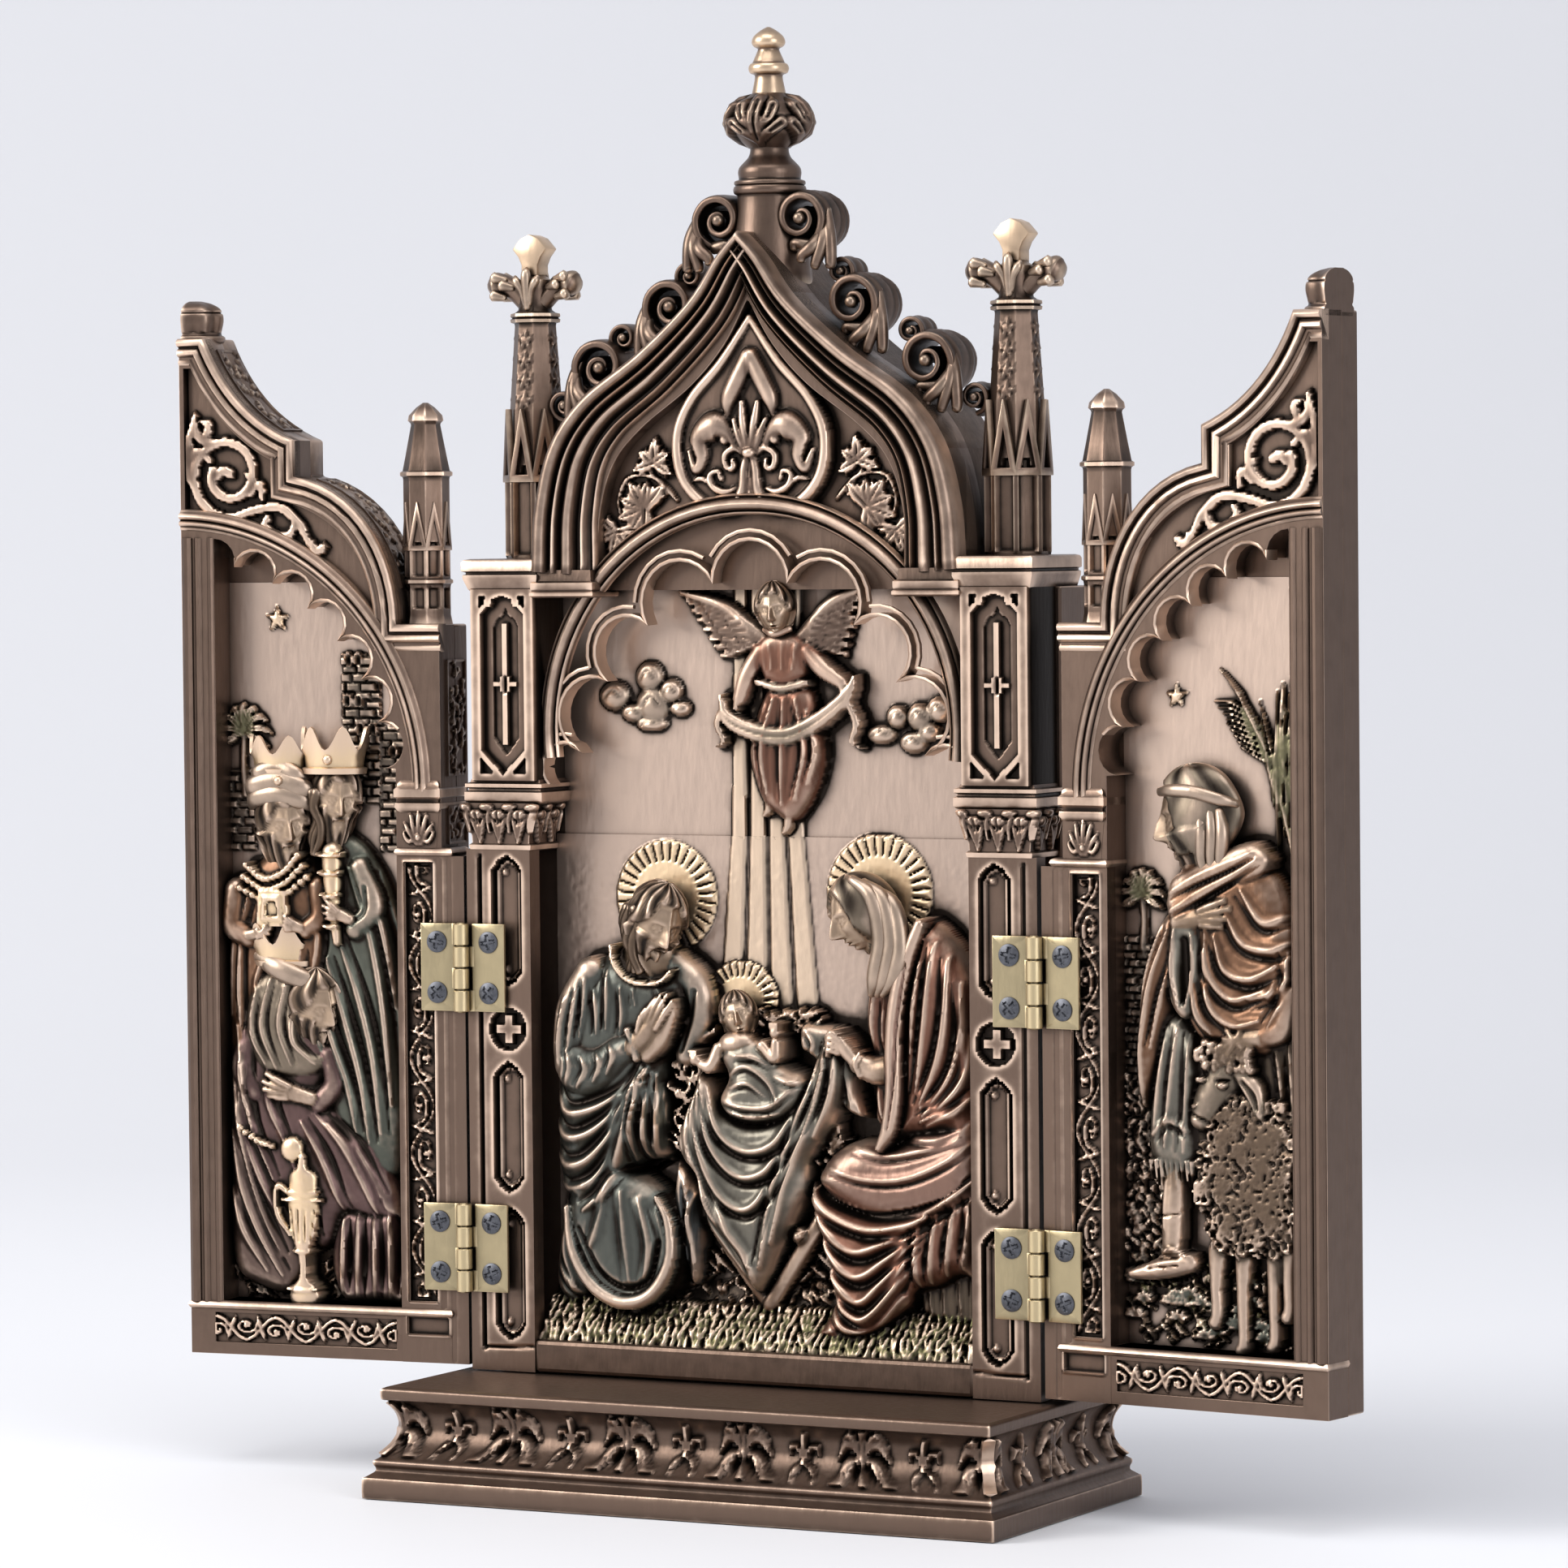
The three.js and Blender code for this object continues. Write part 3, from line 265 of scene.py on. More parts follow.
def dress(piece, body, finish):
    """Gives a finished piece its material, and the body that it moves with."""
    piece.data.materials.clear()
    piece.data.materials.append(finish)
    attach(piece, body)
    return piece


BROAD_FACE = 40 * MM * MM


def rub(piece, strength=1.0, level=0.5):
    """Works out a modelled piece's wear from how its surface bends: crests bright, hollows dark."""
    mesh = piece.data
    count = len(mesh.vertices)
    place = np.empty(count * 3, np.float32)
    mesh.vertices.foreach_get("co", place)
    place = place.reshape(-1, 3) / MM
    normal = np.empty(count * 3, np.float32)
    mesh.vertices.foreach_get("normal", normal)
    normal = normal.reshape(-1, 3)
    edge = np.empty(len(mesh.edges) * 2, np.int32)
    mesh.edges.foreach_get("vertices", edge)
    a, b = edge.reshape(-1, 2).T
    run = place[b] - place[a]
    length = np.maximum(np.linalg.norm(run, axis=1), 1e-6)
    run /= length[:, None]
    bend = np.zeros(count)
    links = np.zeros(count)
    np.add.at(bend, a, -(normal[a] * run).sum(1))
    np.add.at(bend, b, (normal[b] * run).sum(1))
    np.add.at(links, a, 1)
    np.add.at(links, b, 1)
    bend /= np.maximum(links, 1)
    around = np.zeros(count)
    np.add.at(around, a, bend[b])
    np.add.at(around, b, bend[a])
    bend = 0.5 * bend + 0.5 * around / np.maximum(links, 1)
    wear = np.clip(level + strength * bend, 0, 1)
    for face in piece.data.polygons:
        if face.area > BROAD_FACE:
            face.use_smooth = False
            wear[list(face.vertices)] = level
    attribute = mesh.attributes.get("wear") or mesh.attributes.new("wear", "FLOAT", "POINT")
    attribute.data.foreach_set("value", wear.astype(np.float32))
    return piece


def curve(points, steps=8):
    """A smooth line through points; any further columns, such as a width, run along with it."""
    points = np.array(points, float)
    ends = np.vstack([2 * points[0] - points[1], points, 2 * points[-1] - points[-2]])
    line = []
    for k in range(len(points) - 1):
        p0, p1, p2, p3 = ends[k:k + 4]
        for t in np.linspace(0, 1, steps, endpoint=False):
            line.append(0.5 * (2 * p1 + (p2 - p0) * t + (2 * p0 - 5 * p1 + 4 * p2 - p3) * t ** 2
                               + (3 * p1 - p0 - 3 * p2 + p3) * t ** 3))
    return np.array(line + [points[-1]])


class Carving:
    """A field of heights, in millimetres over a flat ground, that rounded forms are laid on."""

    def __init__(self, west, east, south, north, cell, tint=BRONZE, ground=0.0):
        across, up = round((east - west) / cell) + 1, round((north - south) / cell) + 1
        self.x, self.z = np.meshgrid(np.linspace(west, east, across), np.linspace(south, north, up))
        self.h = np.full(self.x.shape, float(ground))
        self.tint = np.empty(self.x.shape + (3,))
        self.tint[:] = tint
        self.cell = cell

    def window(self, low, high):
        first = np.searchsorted(self.x[0], low[0]), np.searchsorted(self.z[:, 0], low[1])
        last = np.searchsorted(self.x[0], high[0]), np.searchsorted(self.z[:, 0], high[1])
        return slice(first[1], last[1]), slice(first[0], last[0])

    def reach(self, path, margin):
        """How far the cells near a path are from it, how far along it, and on which side."""
        near = self.window(path[:, :2].min(0) - margin, path[:, :2].max(0) + margin)
        x, z = self.x[near], self.z[near]
        best, along, side = np.full(x.shape, 1e9), np.zeros(x.shape), np.ones(x.shape)
        for k in range(len(path) - 1):
            (ax, az), (bx, bz) = path[k, :2], path[k + 1, :2]
            dx, dz = bx - ax, bz - az
            s = np.clip(((x - ax) * dx + (z - az) * dz) / max(dx * dx + dz * dz, 1e-9), 0, 1)
            ex, ez = x - ax - s * dx, z - az - s * dz
            d = ex * ex + ez * ez
            closer = d < best
            best = np.where(closer, d, best)
            along = np.where(closer, k + s, along)
            side = np.where(closer, np.sign(dx * ez - dz * ex), side)
        return near, np.sqrt(best), along, side

    def lay(self, near, height, where, tint=None, soft=0.0):
        old = self.h[near]
        if soft:
            height = height + np.maximum(soft - np.abs(height - old), 0) ** 2 / (4 * soft)
        over = where & (height > old)
        self.h[near] = np.where(over, height, old)
        if tint is not None:
            self.tint[near][over] = tint

    def roll(self, points, tint=None, flat=1.0, steps=8, soft=0.0):
        """A limb, stem or lock: points are x, z, half width and crest height."""
        path = curve(points, steps)
        near, d, along, _ = self.reach(path, path[:, 2].max() + self.cell)
        half = np.interp(along, np.arange(len(path)), path[:, 2])
        crest = np.interp(along, np.arange(len(path)), path[:, 3])
        bow = flat * half * (1 - np.sqrt(np.clip(1 - (d / half) ** 2, 0, 1)))
        self.lay(near, crest - bow, d < half, tint, soft)

    def dome(self, x, z, rx, rz, crest, depth, tint=None, soft=0.0):
        """A rounded boss that falls by its depth from its crest to its rim."""
        reach = max(rx, rz)
        near = self.window((x - reach, z - reach), (x + reach, z + reach))
        dx, dz = self.x[near] - x, self.z[near] - z
        r = (dx / rx) ** 2 + (dz / rz) ** 2
        self.lay(near, crest - depth + depth * np.sqrt(np.clip(1 - r, 0, 1)), r < 1, tint, soft)

    def inside(self, path, near):
        x, z = self.x[near], self.z[near]
        odd = np.zeros(x.shape, bool)
        for (ax, az), (bx, bz) in zip(path[:, :2], np.roll(path[:, :2], -1, axis=0)):
            if az != bz:
                odd ^= ((az > z) != (bz > z)) & (x < (bx - ax) * (z - az) / (bz - az) + ax)
        return odd

    def patch(self, points, crest, rim, drop, tint=None, smooth=True, soft=0.0):
        """Cloth or flesh inside an outline, at its crest height, rounded off within the rim."""
        path = np.array(points, float)
        if smooth:
            path = curve(np.vstack([path, path[:1]]), 6)[:-1]
        near, d, _, _ = self.reach(np.vstack([path, path[:1]]), self.cell)
        where = self.inside(path, near)
        if callable(crest):
            crest = crest(self.x[near], self.z[near])
        bow = 1 - np.sqrt(np.clip(1 - (1 - np.minimum(d / rim, 1)) ** 2, 0, 1))
        self.lay(near, crest - drop * bow, where, tint, soft)
        self.last = np.zeros(self.h.shape, bool)
        self.last[near] = where
        return self.last

    def fold(self, points, on=None, lean=1.0, tint=None, steps=8):
        """A ridge of cloth, or a furrow where its height is negative: points are x, z, half
        width and height. It is steeper on its right where lean is below 1."""
        path = curve(points, steps)
        near, d, along, side = self.reach(path, 2.4 * path[:, 2].max())
        half = np.interp(along, np.arange(len(path)), path[:, 2])
        high = np.interp(along, np.arange(len(path)), path[:, 3])
        half = np.where(side < 0, half * lean, half)
        rise = high * np.exp(-(d / half) ** 2)
        if on is not None:
            rise = rise * on[near]
        self.h[near] += rise
        if tint is not None:
            hit = np.abs(rise) > 0.3 * np.abs(high)
            self.tint[near][hit] = tint

    def blur(self, field, reach):
        """The field averaged over a round neighbourhood of about this many millimetres."""
        pad = int(3 * reach / self.cell)
        wide = np.pad(field, pad, mode="edge")
        fz, fx = np.fft.fftfreq(wide.shape[0]), np.fft.rfftfreq(wide.shape[1])
        spread = 2 * (math.pi * reach / self.cell) ** 2
        soft = np.exp(-spread * (fz[:, None] ** 2 + fx[None] ** 2))
        wide = np.fft.irfft2(np.fft.rfft2(wide) * soft, wide.shape)
        return wide[pad:-pad, pad:-pad]

    def wear(self, fine=0.9, broad=0.16, level=0.5):
        """Bright where the surface stands above its surroundings, dark below and on steep sides."""
        near, wide = self.h - self.blur(self.h, 0.6), self.h - self.blur(self.h, 2.4)
        slope = np.hypot(*np.gradient(self.h, self.cell))
        return np.clip(level + fine * near + broad * wide - 0.1 * np.minimum(slope, 3), 0, 1)

    def mesh(self, name, place, back=None):
        """The carving as a closed mesh: place turns x, z and height into points of the piece."""
        points = place(self.x, self.z, self.h)
        wear, tint = self.wear(), self.tint
        if back is not None:
            points = np.pad(points, ((1, 1), (1, 1), (0, 0)), mode="edge")
            around = np.ones(points.shape[:2], bool)
            around[1:-1, 1:-1] = False
            sunk = place(np.pad(self.x, 1, mode="edge"), np.pad(self.z, 1, mode="edge"),
                         np.full(points.shape[:2], float(back)))
            points[around] = sunk[around]
            wear = np.pad(wear, 1, mode="edge")
            tint = np.pad(tint, ((1, 1), (1, 1), (0, 0)), mode="edge")
        piece = skin(name, points)
        attribute = piece.data.attributes.new("wear", "FLOAT", "POINT")
        attribute.data.foreach_set("value", wear.astype(np.float32).ravel())
        colour = piece.data.attributes.new("tint", "FLOAT_COLOR", "POINT")
        rgba = np.dstack([tint, np.ones(tint.shape[:2])]).astype(np.float32)
        colour.data.foreach_set("color", rgba.ravel())
        return close(piece, turn=60, outward=False)


BASE_HIGH = Vector(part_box("base_plinth")[1]) / MM
BASE_HALF, BASE_DEEP, BASE_TOP = BASE_HIGH.x, BASE_HIGH.y, BASE_HIGH.z
FRIEZE_LOW, FRIEZE_HIGH = 8.2, 19.3
BASE_PROFILE = [(0, 0.25), (0.35, 0), (3.8, 0), (4.3, 0.4), (4.9, 1.2), (5.4, 1.7), (6.1, 1.7), (6.8, 1.4),
                (7.5, 1.5), (FRIEZE_LOW, 2.4), (10.5, 4.4), (13.5, 5.5), (16.5, 5.2), (18.4, 4.2),
                (FRIEZE_HIGH, 3.4), (19.6, 2.7), (20, 2.45), (21.4, 2.4), (21.9, 2.6), (BASE_TOP, 3.2)]


def palmette(field, x, root):
    """Arching leaves over a knop, with two mantling leaves that fall and curl out below it."""
    for side in (-1, 1):
        for rise, out, tip in ((9.6, 5.2, 7.4), (7.9, 6.3, 4.4)):
            middle = root + rise
            field.roll([(x + side * 0.4, root + 5.6, 0.5, 1.5), (x + side * out * 0.55, middle, 0.95, 1.9),
                        (x + side * out, root + tip, 0.3, 1.0)], soft=0.3)
        field.roll([(x + side * 0.6, root + 4.9, 0.7, 1.6), (x + side * 3.4, root + 3.8, 1.5, 1.9),
                    (x + side * 5.2, root + 1.2, 1.0, 1.5), (x + side * 8.4, root - 0.3, 0.5, 1.3)], soft=0.3)
        field.fold([(x + side * 1.7, root + 3.9, 0.35, -1.1), (x + side * 2.0, root + 2.4, 0.5, -1.3),
                    (x + side * 2.4, root + 0.9, 0.3, -0.8)])
        field.fold([(x + side * 3.8, root + 3.2, 0.22, -0.6), (x + side * 4.6, root + 1.2, 0.25, -0.6)])
    field.roll([(x, root + 5.6, 0.7, 1.7), (x, root + 10.4, 0.75, 1.8)], soft=0.2)
    field.roll([(x, root + 4.2, 0.5, 1.7), (x, root + 0.6, 0.75, 1.7)], soft=0.2)
    field.dome(x, root + 5.2, 0.8, 0.8, 2.1, 0.8)


def lily(field, x, root):
    """A small lily: a spear leaf, two that hang outward, a band, and two curls at its foot."""
    field.roll([(x, root + 3.4, 0.4, 1.2), (x, root + 7.2, 0.75, 1.6), (x, root + 9.6, 0.2, 0.9)], soft=0.2)
    for side in (-1, 1):
        field.roll([(x + side * 0.5, root + 4, 0.4, 1.2), (x + side * 1.6, root + 6.4, 0.6, 1.5),
                    (x + side * 3, root + 6.2, 0.55, 1.4), (x + side * 3.3, root + 4.9, 0.3, 0.9)], soft=0.2)
        field.roll([(x + side * 0.4, root + 3.2, 0.35, 1.1), (x + side * 1.9, root + 2.2, 0.5, 1.3),
                    (x + side * 2.9, root + 0.6, 0.4, 1.0), (x + side * 2.1, root - 0.2, 0.3, 0.8)], soft=0.2)
    field.dome(x, root + 3.5, 0.8, 0.55, 1.7, 0.7)


def frieze(length, bays):
    """One side's frieze, with a palmette at each end that is shared with the next side."""
    field = Carving(-length / 2, length / 2, FRIEZE_LOW, FRIEZE_HIGH, 0.6)
    for k in range(bays + 1):
        palmette(field, -length / 2 + length * k / bays, FRIEZE_LOW)
    for k in range(bays):
        lily(field, -length / 2 + length * (k + 0.5) / bays, FRIEZE_LOW + 0.4)
    field.h *= np.clip((FRIEZE_HIGH - field.z) / 0.5, 0, 1) * np.clip((field.z - FRIEZE_LOW) / 0.3, 0, 1)
    return field


def plinth():
    """The plinth as one skin: rows up its profile, columns round its four sides."""
    line = curve(BASE_PROFILE, 3)
    front, flank = frieze(2 * BASE_HALF, 5), frieze(2 * BASE_DEEP, 2)
    lower, upper = line[line[:, 0] < FRIEZE_LOW, 0], line[line[:, 0] > FRIEZE_HIGH, 0]
    heights = np.concatenate([lower, front.z[:, 0], upper])
    inset = np.interp(heights, line[:, 0], line[:, 1])
    left, right = -BASE_HALF + inset, BASE_HALF - inset
    near, far = -BASE_DEEP + 1.5 * inset, BASE_DEEP - inset
    columns = []

    def side(field, start, end, out):
        for share, h in zip(np.linspace(0, 1, field.x.shape[1]), field.h.T):
            proud = np.concatenate([0 * lower, h, 0 * upper])
            x = start[0] + (end[0] - start[0]) * share + out[0] * proud
            y = start[1] + (end[1] - start[1]) * share + out[1] * proud
            columns.append(np.stack([x, y, heights], axis=1))

    side(flank, (left, far), (left, near), (-1, 0))
    side(front, (left, near), (right, near), (0, -1))
    side(flank, (right, near), (right, far), (1, 0))
    for share in np.linspace(0, 1, 12)[1:]:
        columns.append(np.stack([right + (left - right) * share, far, heights], axis=1))
    return np.array(columns).transpose(1, 0, 2)


base_bronze = bronze("base_bronze")
plinth_piece = rub(close(skin("moulded_plinth", plinth()), turn=40), strength=1.5, level=0.45)
dress(plinth_piece, "shrine", base_bronze)
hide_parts("base_plinth")

# ---------------------------------------------------------------- the central panel's frame
# One casting: a thick slab with an ogee top, and on it a cusped arch over the niche, tiled
# stiles, boxed pilasters and the gable's roll mouldings. Its back is flat and left plain.
PANEL_LOW, PANEL_HIGH = (Vector(corner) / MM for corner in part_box("central_panel"))
PANEL_HALF, PANEL_FOOT, PANEL_BACK = 64.6, PANEL_LOW.z, PANEL_HIGH.y
STILE_EDGE, STILE_TOP = 49.75, 129.4
LEDGE, FIELD, BACK_FACE = 3.6, 7.0, 12.0
BOX_INNER, BOX_OUTER, BOX_FOOT, BOX_TOP, CAP_TOP = 47.9, 63.5, 143.4, 182.4, 188.6
FLANK = curve([(48.2, 186), (47.2, 199), (43.6, 211.4), (36, 221), (22.8, 230), (11.2, 240), (4.8, 248.6),
               (0, 253.6)], 7)
ARCH_FOOT, ARCH_POINT = (46.3, 160.0), 199.5
CUSPS = [(46.6, 142.6), (39.6, 149.6), (33.0, 163.8), (23.6, 175.2), (8.5, 183.6)]


def mirrored(right):
    """A right flank, from its foot to its apex on the axis, made whole from left foot to right."""
    right = np.array(right, float)
    left = right[:-1] * (-1, 1)
    return np.vstack([left, right[::-1]])


def plate(name, outline, front, back, holes=(), edge=0.3, segments=2):
    """A flat member cut to an outline in x and z, with holes through it and its edges eased."""
    ring = np.array(outline, float)
    bpy.ops.object.select_all(action="DESELECT")
    bpy.ops.mesh.primitive_circle_add(vertices=len(ring), fill_type="NGON")
    piece = bpy.context.object
    piece.name = piece.data.name = name
    place = np.column_stack([ring[:, 0], np.full(len(ring), float(front)), ring[:, 1]]) * MM
    piece.data.vertices.foreach_set("co", place.astype(np.float32).ravel())
    piece.data.update()
    bpy.ops.object.mode_set(mode="EDIT")
    bpy.ops.mesh.select_all(action="SELECT")
    bpy.ops.mesh.extrude_region_move(TRANSFORM_OT_translate={"value": (0, (back - front) * MM, 0)})
    bpy.ops.mesh.select_all(action="SELECT")
    bpy.ops.mesh.normals_make_consistent(inside=False)
    bpy.ops.object.mode_set(mode="OBJECT")
    for hole in holes:
        cutter = plate("cutter", hole, front - 1, back + 1, edge=0)
        cut = piece.modifiers.new("cut", "BOOLEAN")
        cut.object = cutter
        cut.solver = "EXACT"
        bpy.context.view_layer.objects.active = piece
        bpy.ops.object.modifier_apply(modifier=cut.name)
        bpy.data.objects.remove(cutter)
    if edge:
        ease = piece.modifiers.new("ease", "BEVEL")
        ease.width = edge * MM
        ease.segments = segments
        ease.limit_method = "ANGLE"
        ease.angle_limit = math.radians(40)
        ease.harden_normals = False
        bpy.context.view_layer.objects.active = piece
        piece.select_set(True)
        bpy.ops.object.modifier_apply(modifier=ease.name)
        bpy.ops.object.shade_smooth_by_angle(angle=math.radians(35))
    return piece


def sweep(name, path, profile, width=None):
    """A moulding run along a path in x and z. Its profile is (across, y) pairs, across being to
    the path's right, and closes on itself; width scales the across measure along the path."""
    path, profile = np.array(path, float), np.array(list(profile) + [profile[0]], float)
    run = np.diff(path, axis=0)
    run /= np.linalg.norm(run, axis=1)[:, None]
    before, after = np.vstack([run[:1], run]), np.vstack([run, run[-1:]])
    mean = before + after
    mean /= np.linalg.norm(mean, axis=1)[:, None]
    mitre = 1 / np.clip((mean * after).sum(1), 0.5, 1)
    scale = mitre * (1 if width is None else width(np.linspace(0, 1, len(path))))
    across = np.column_stack([mean[:, 1], -mean[:, 0]]) * scale[:, None]
    points = np.empty((len(profile), len(path), 3))
    points[:, :, 0] = path[:, 0] + across[:, 0] * profile[:, :1]
    points[:, :, 1] = profile[:, 1:]
    points[:, :, 2] = path[:, 1] + across[:, 1] * profile[:, :1]
    return close(skin(name, points), turn=45)


def hoop(name, x0, x1, y0, y1, profile):
    """A block of rectangular plan: profile is (height, how far it stands out) pairs."""
    profile = np.array(profile, float)
    z, out = profile.T
    corners = [(x0 - out, y1 + 0 * out), (x0 - out, y0 - out), (x1 + out, y0 - out), (x1 + out, y1 + 0 * out)]
    columns = []
    for (xa, ya), (xb, yb) in zip(corners, corners[1:] + corners[:1]):
        for share in np.linspace(0, 1, 9)[:-1]:
            columns.append(np.stack([xa + (xb - xa) * share, ya + (yb - ya) * share, z], axis=1))
    columns.append(columns[0])
    return close(skin(name, np.array(columns).transpose(1, 0, 2)), turn=40)


def merge(name, pieces):
    """Several shells that are cast as one, as one piece."""
    bpy.ops.object.select_all(action="DESELECT")
    for piece in pieces:
        piece.select_set(True)
    bpy.context.view_layer.objects.active = pieces[0]
    bpy.ops.object.join()
    pieces[0].name = pieces[0].data.name = name
    return pieces[0]


def arch_path(offset=0.0, steps=26):
    """The pointed arch over the niche, from its left foot to its right one."""
    half, spring = ARCH_FOOT
    rise = ARCH_POINT - spring
    chord = math.hypot(half, rise)
    radius = chord ** 2 / (2 * half) + 6
    reach = math.sqrt(radius ** 2 - chord ** 2 / 4)
    cx, cz = half / 2 - rise / chord * reach, spring + rise / 2 - half / chord * reach
    start = math.atan2(spring - 12 - cz, half - cx)
    end = math.acos(-cx / (radius + offset))
    angles = np.linspace(start, end, steps)
    return mirrored(np.column_stack([cx + (radius + offset) * np.cos(angles),
                                     cz + (radius + offset) * np.sin(angles)]))


def cusped_edge(offset=0.0, steps=12):
    """The niche's cusped top: a half circle on each pair of neighbouring cusps, left to right."""
    feet = [(-x, z) for x, z in CUSPS] + CUSPS[::-1]
    edge = []
    for (ax, az), (bx, bz) in zip(feet, feet[1:]):
        mx, mz, half = (ax + bx) / 2, (az + bz) / 2, math.hypot(bx - ax, bz - az) / 2 + offset
        away = math.atan2(az - bz, ax - bx)
        for a in np.linspace(0, math.pi, steps, endpoint=False):
            edge.append((mx + half * math.cos(away - a), mz + half * math.sin(away - a)))
    return np.array(edge + [feet[-1]])


panel_bronze = bronze("panel_bronze", rough=0.34)
ogee = mirrored(FLANK)
stone_edge = [(-PANEL_HALF, PANEL_FOOT), (-PANEL_HALF, BOX_TOP), (-48.2, BOX_TOP), *ogee, (48.2, BOX_TOP),
              (PANEL_HALF, BOX_TOP), (PANEL_HALF, PANEL_FOOT)]
slab = plate("panel_slab", stone_edge, BACK_FACE, PANEL_BACK, edge=0.5)
shoulder = plate("gable_roof", [(-46, BOX_TOP), *ogee, (46, BOX_TOP)], 3.4, PANEL_BACK - 0.4,
                 [[(-34, 170), *mirrored(curve([(35, 186), (34.2, 198), (31, 207.6), (24.6, 214.6),
                                                (13, 223), (5.4, 231), (0, 240)], 7)), (34, 170)]],
                 edge=0.4)
arch_top = [p for p in arch_path(1.2) if p[1] > BOX_TOP - 14]
band_edge = [(-PANEL_HALF, PANEL_FOOT), (-PANEL_HALF, BOX_TOP), (-47, BOX_TOP), (-45, 172), *arch_top,
             (45, 172), (47, BOX_TOP), (PANEL_HALF, BOX_TOP), (PANEL_HALF, PANEL_FOOT)]
niche_edge = [(STILE_EDGE, 27), (STILE_EDGE, 138.6), (CUSPS[0][0], 138.6), *cusped_edge()[::-1],
              (-CUSPS[0][0], 138.6), (-STILE_EDGE, 138.6), (-STILE_EDGE, 27)]
band = plate("cusped_band", band_edge, LEDGE, BACK_FACE + 0.3, [niche_edge], edge=0.35)

rolls = [(-1.9, LEDGE + 1), (-1.9, LEDGE - 0.4), (-1.5, LEDGE - 0.9), (-1.1, LEDGE - 0.5),
         (-0.9, LEDGE - 0.9), (-0.4, LEDGE - 1.8), (0.3, LEDGE - 2.1), (1.0, LEDGE - 1.8),
         (1.4, LEDGE - 0.9), (1.55, LEDGE - 0.5), (1.9, LEDGE - 0.9), (2.3, LEDGE - 0.6),
         (2.5, LEDGE - 0.1), (2.5, LEDGE + 1)]
arch_roll = sweep("arch_roll", arch_path(), rolls)
bead = [(-0.35, LEDGE + 0.8), (-0.35, LEDGE - 0.25), (0, LEDGE - 0.45), (0.35, LEDGE - 0.25),
        (0.35, LEDGE + 0.8)]
fin = [(-0.1, LEDGE + 4), (-0.2, LEDGE - 0.5), (0.15, LEDGE - 0.75), (0.5, LEDGE - 0.5), (0.55, LEDGE + 4)]
cusp_fin = sweep("cusp_fin", cusped_edge(), [(-n, y) for n, y in fin])
cusp_lines = [cusp_fin]
for k in range(len(CUSPS) * 2 - 1):
    lobe = cusped_edge(1.9)[k * 12:(k + 1) * 12]
    middle = lobe[2:-1]
    if CUSPS[0][1] + 4 < middle[:, 1].mean():
        cusp_lines.append(sweep("cusp_line", middle, bead))

GABLE_ROLLS = [(0, 9), (0, -0.6), (0.03, -1.3), (0.08, -1.85), (0.13, -2.0), (0.18, -1.8), (0.22, -1.2),
               (0.235, -0.2), (0.26, 0.5), (0.29, 0.2), (0.31, -0.5), (0.34, -0.9), (0.37, -0.5),
               (0.39, 0.3), (0.42, 1.1), (0.46, 0.7), (0.5, -0.3), (0.55, -0.9), (0.60, -0.8),
               (0.64, -0.2), (0.66, 0.7), (0.70, 1.7), (0.74, 1.8), (0.77, 1.2), (0.8, 0.5), (0.83, 0.9),
               (0.86, 2.0), (0.9, 2.6), (0.94, 2.2), (0.97, 2.6), (1.0, 4.0), (1.0, 9)]
taper = lambda share: 13.6 - 7.2 * (1 - np.abs(2 * share - 1)) ** 1.15
gable_moulding = sweep("gable_moulding", ogee, GABLE_ROLLS, taper)
feet = [hoop("moulding_foot", side * 41.2 - 6.9, side * 41.2 + 6.9, -0.4, 10,
             [(180.6, 0), (181.0, 0.5), (181.6, 0.5), (182.0, 0.1), (182.4, 0.3), (183.6, 0.3),
              (184, -0.4), (186.2, -0.6)]) for side in (-1, 1)]
frame_piece = merge("arched_frame", [band, slab, shoulder, arch_roll, *cusp_lines, gable_moulding, *feet])
rub(frame_piece, strength=1.6, level=0.45)
dress(frame_piece, "shrine", panel_bronze)
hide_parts("central_panel")


LANCET_POINT = 3.2


def lancet(field, x, half, low, high, floor):
    """A pointed panel sunk in a stile, with a raised rib just inside its edge."""
    def ring(gap):
        rise = LANCET_POINT * (half - gap) / half
        top = [(x + half - gap, high - LANCET_POINT), (x + (half - gap) * 0.55,
                                                       high - LANCET_POINT + rise * 0.66),
               (x, high - gap), (x - (half - gap) * 0.55, high - LANCET_POINT + rise * 0.66),
               (x - half + gap, high - LANCET_POINT)]
        foot = [(x - half + gap, low + LANCET_POINT), (x - (half - gap) * 0.55,
                                                       low + LANCET_POINT - rise * 0.66), (x, low + gap),
                (x + (half - gap) * 0.55, low + LANCET_POINT - rise * 0.66),
                (x + half - gap, low + LANCET_POINT)]
        return np.array(top + foot)

    near = field.window((x - half, low), (x + half, high))
    sunk = field.inside(ring(0), near)
    field.h[near] = np.where(sunk, floor, field.h[near])
    inner = field.inside(ring(0.75), near) & ~field.inside(ring(1.5), near)
    field.h[near] = np.where(inner, floor + 1.0, field.h[near])
    field.h[near] = np.where(field.inside(ring(1.5), near), floor + 0.35, field.h[near])
    for end in (high - LANCET_POINT - 0.2, low + LANCET_POINT + 0.2):
        field.dome(x - 0.9, end, 0.8, 0.8, floor + 1.0, 0.5)


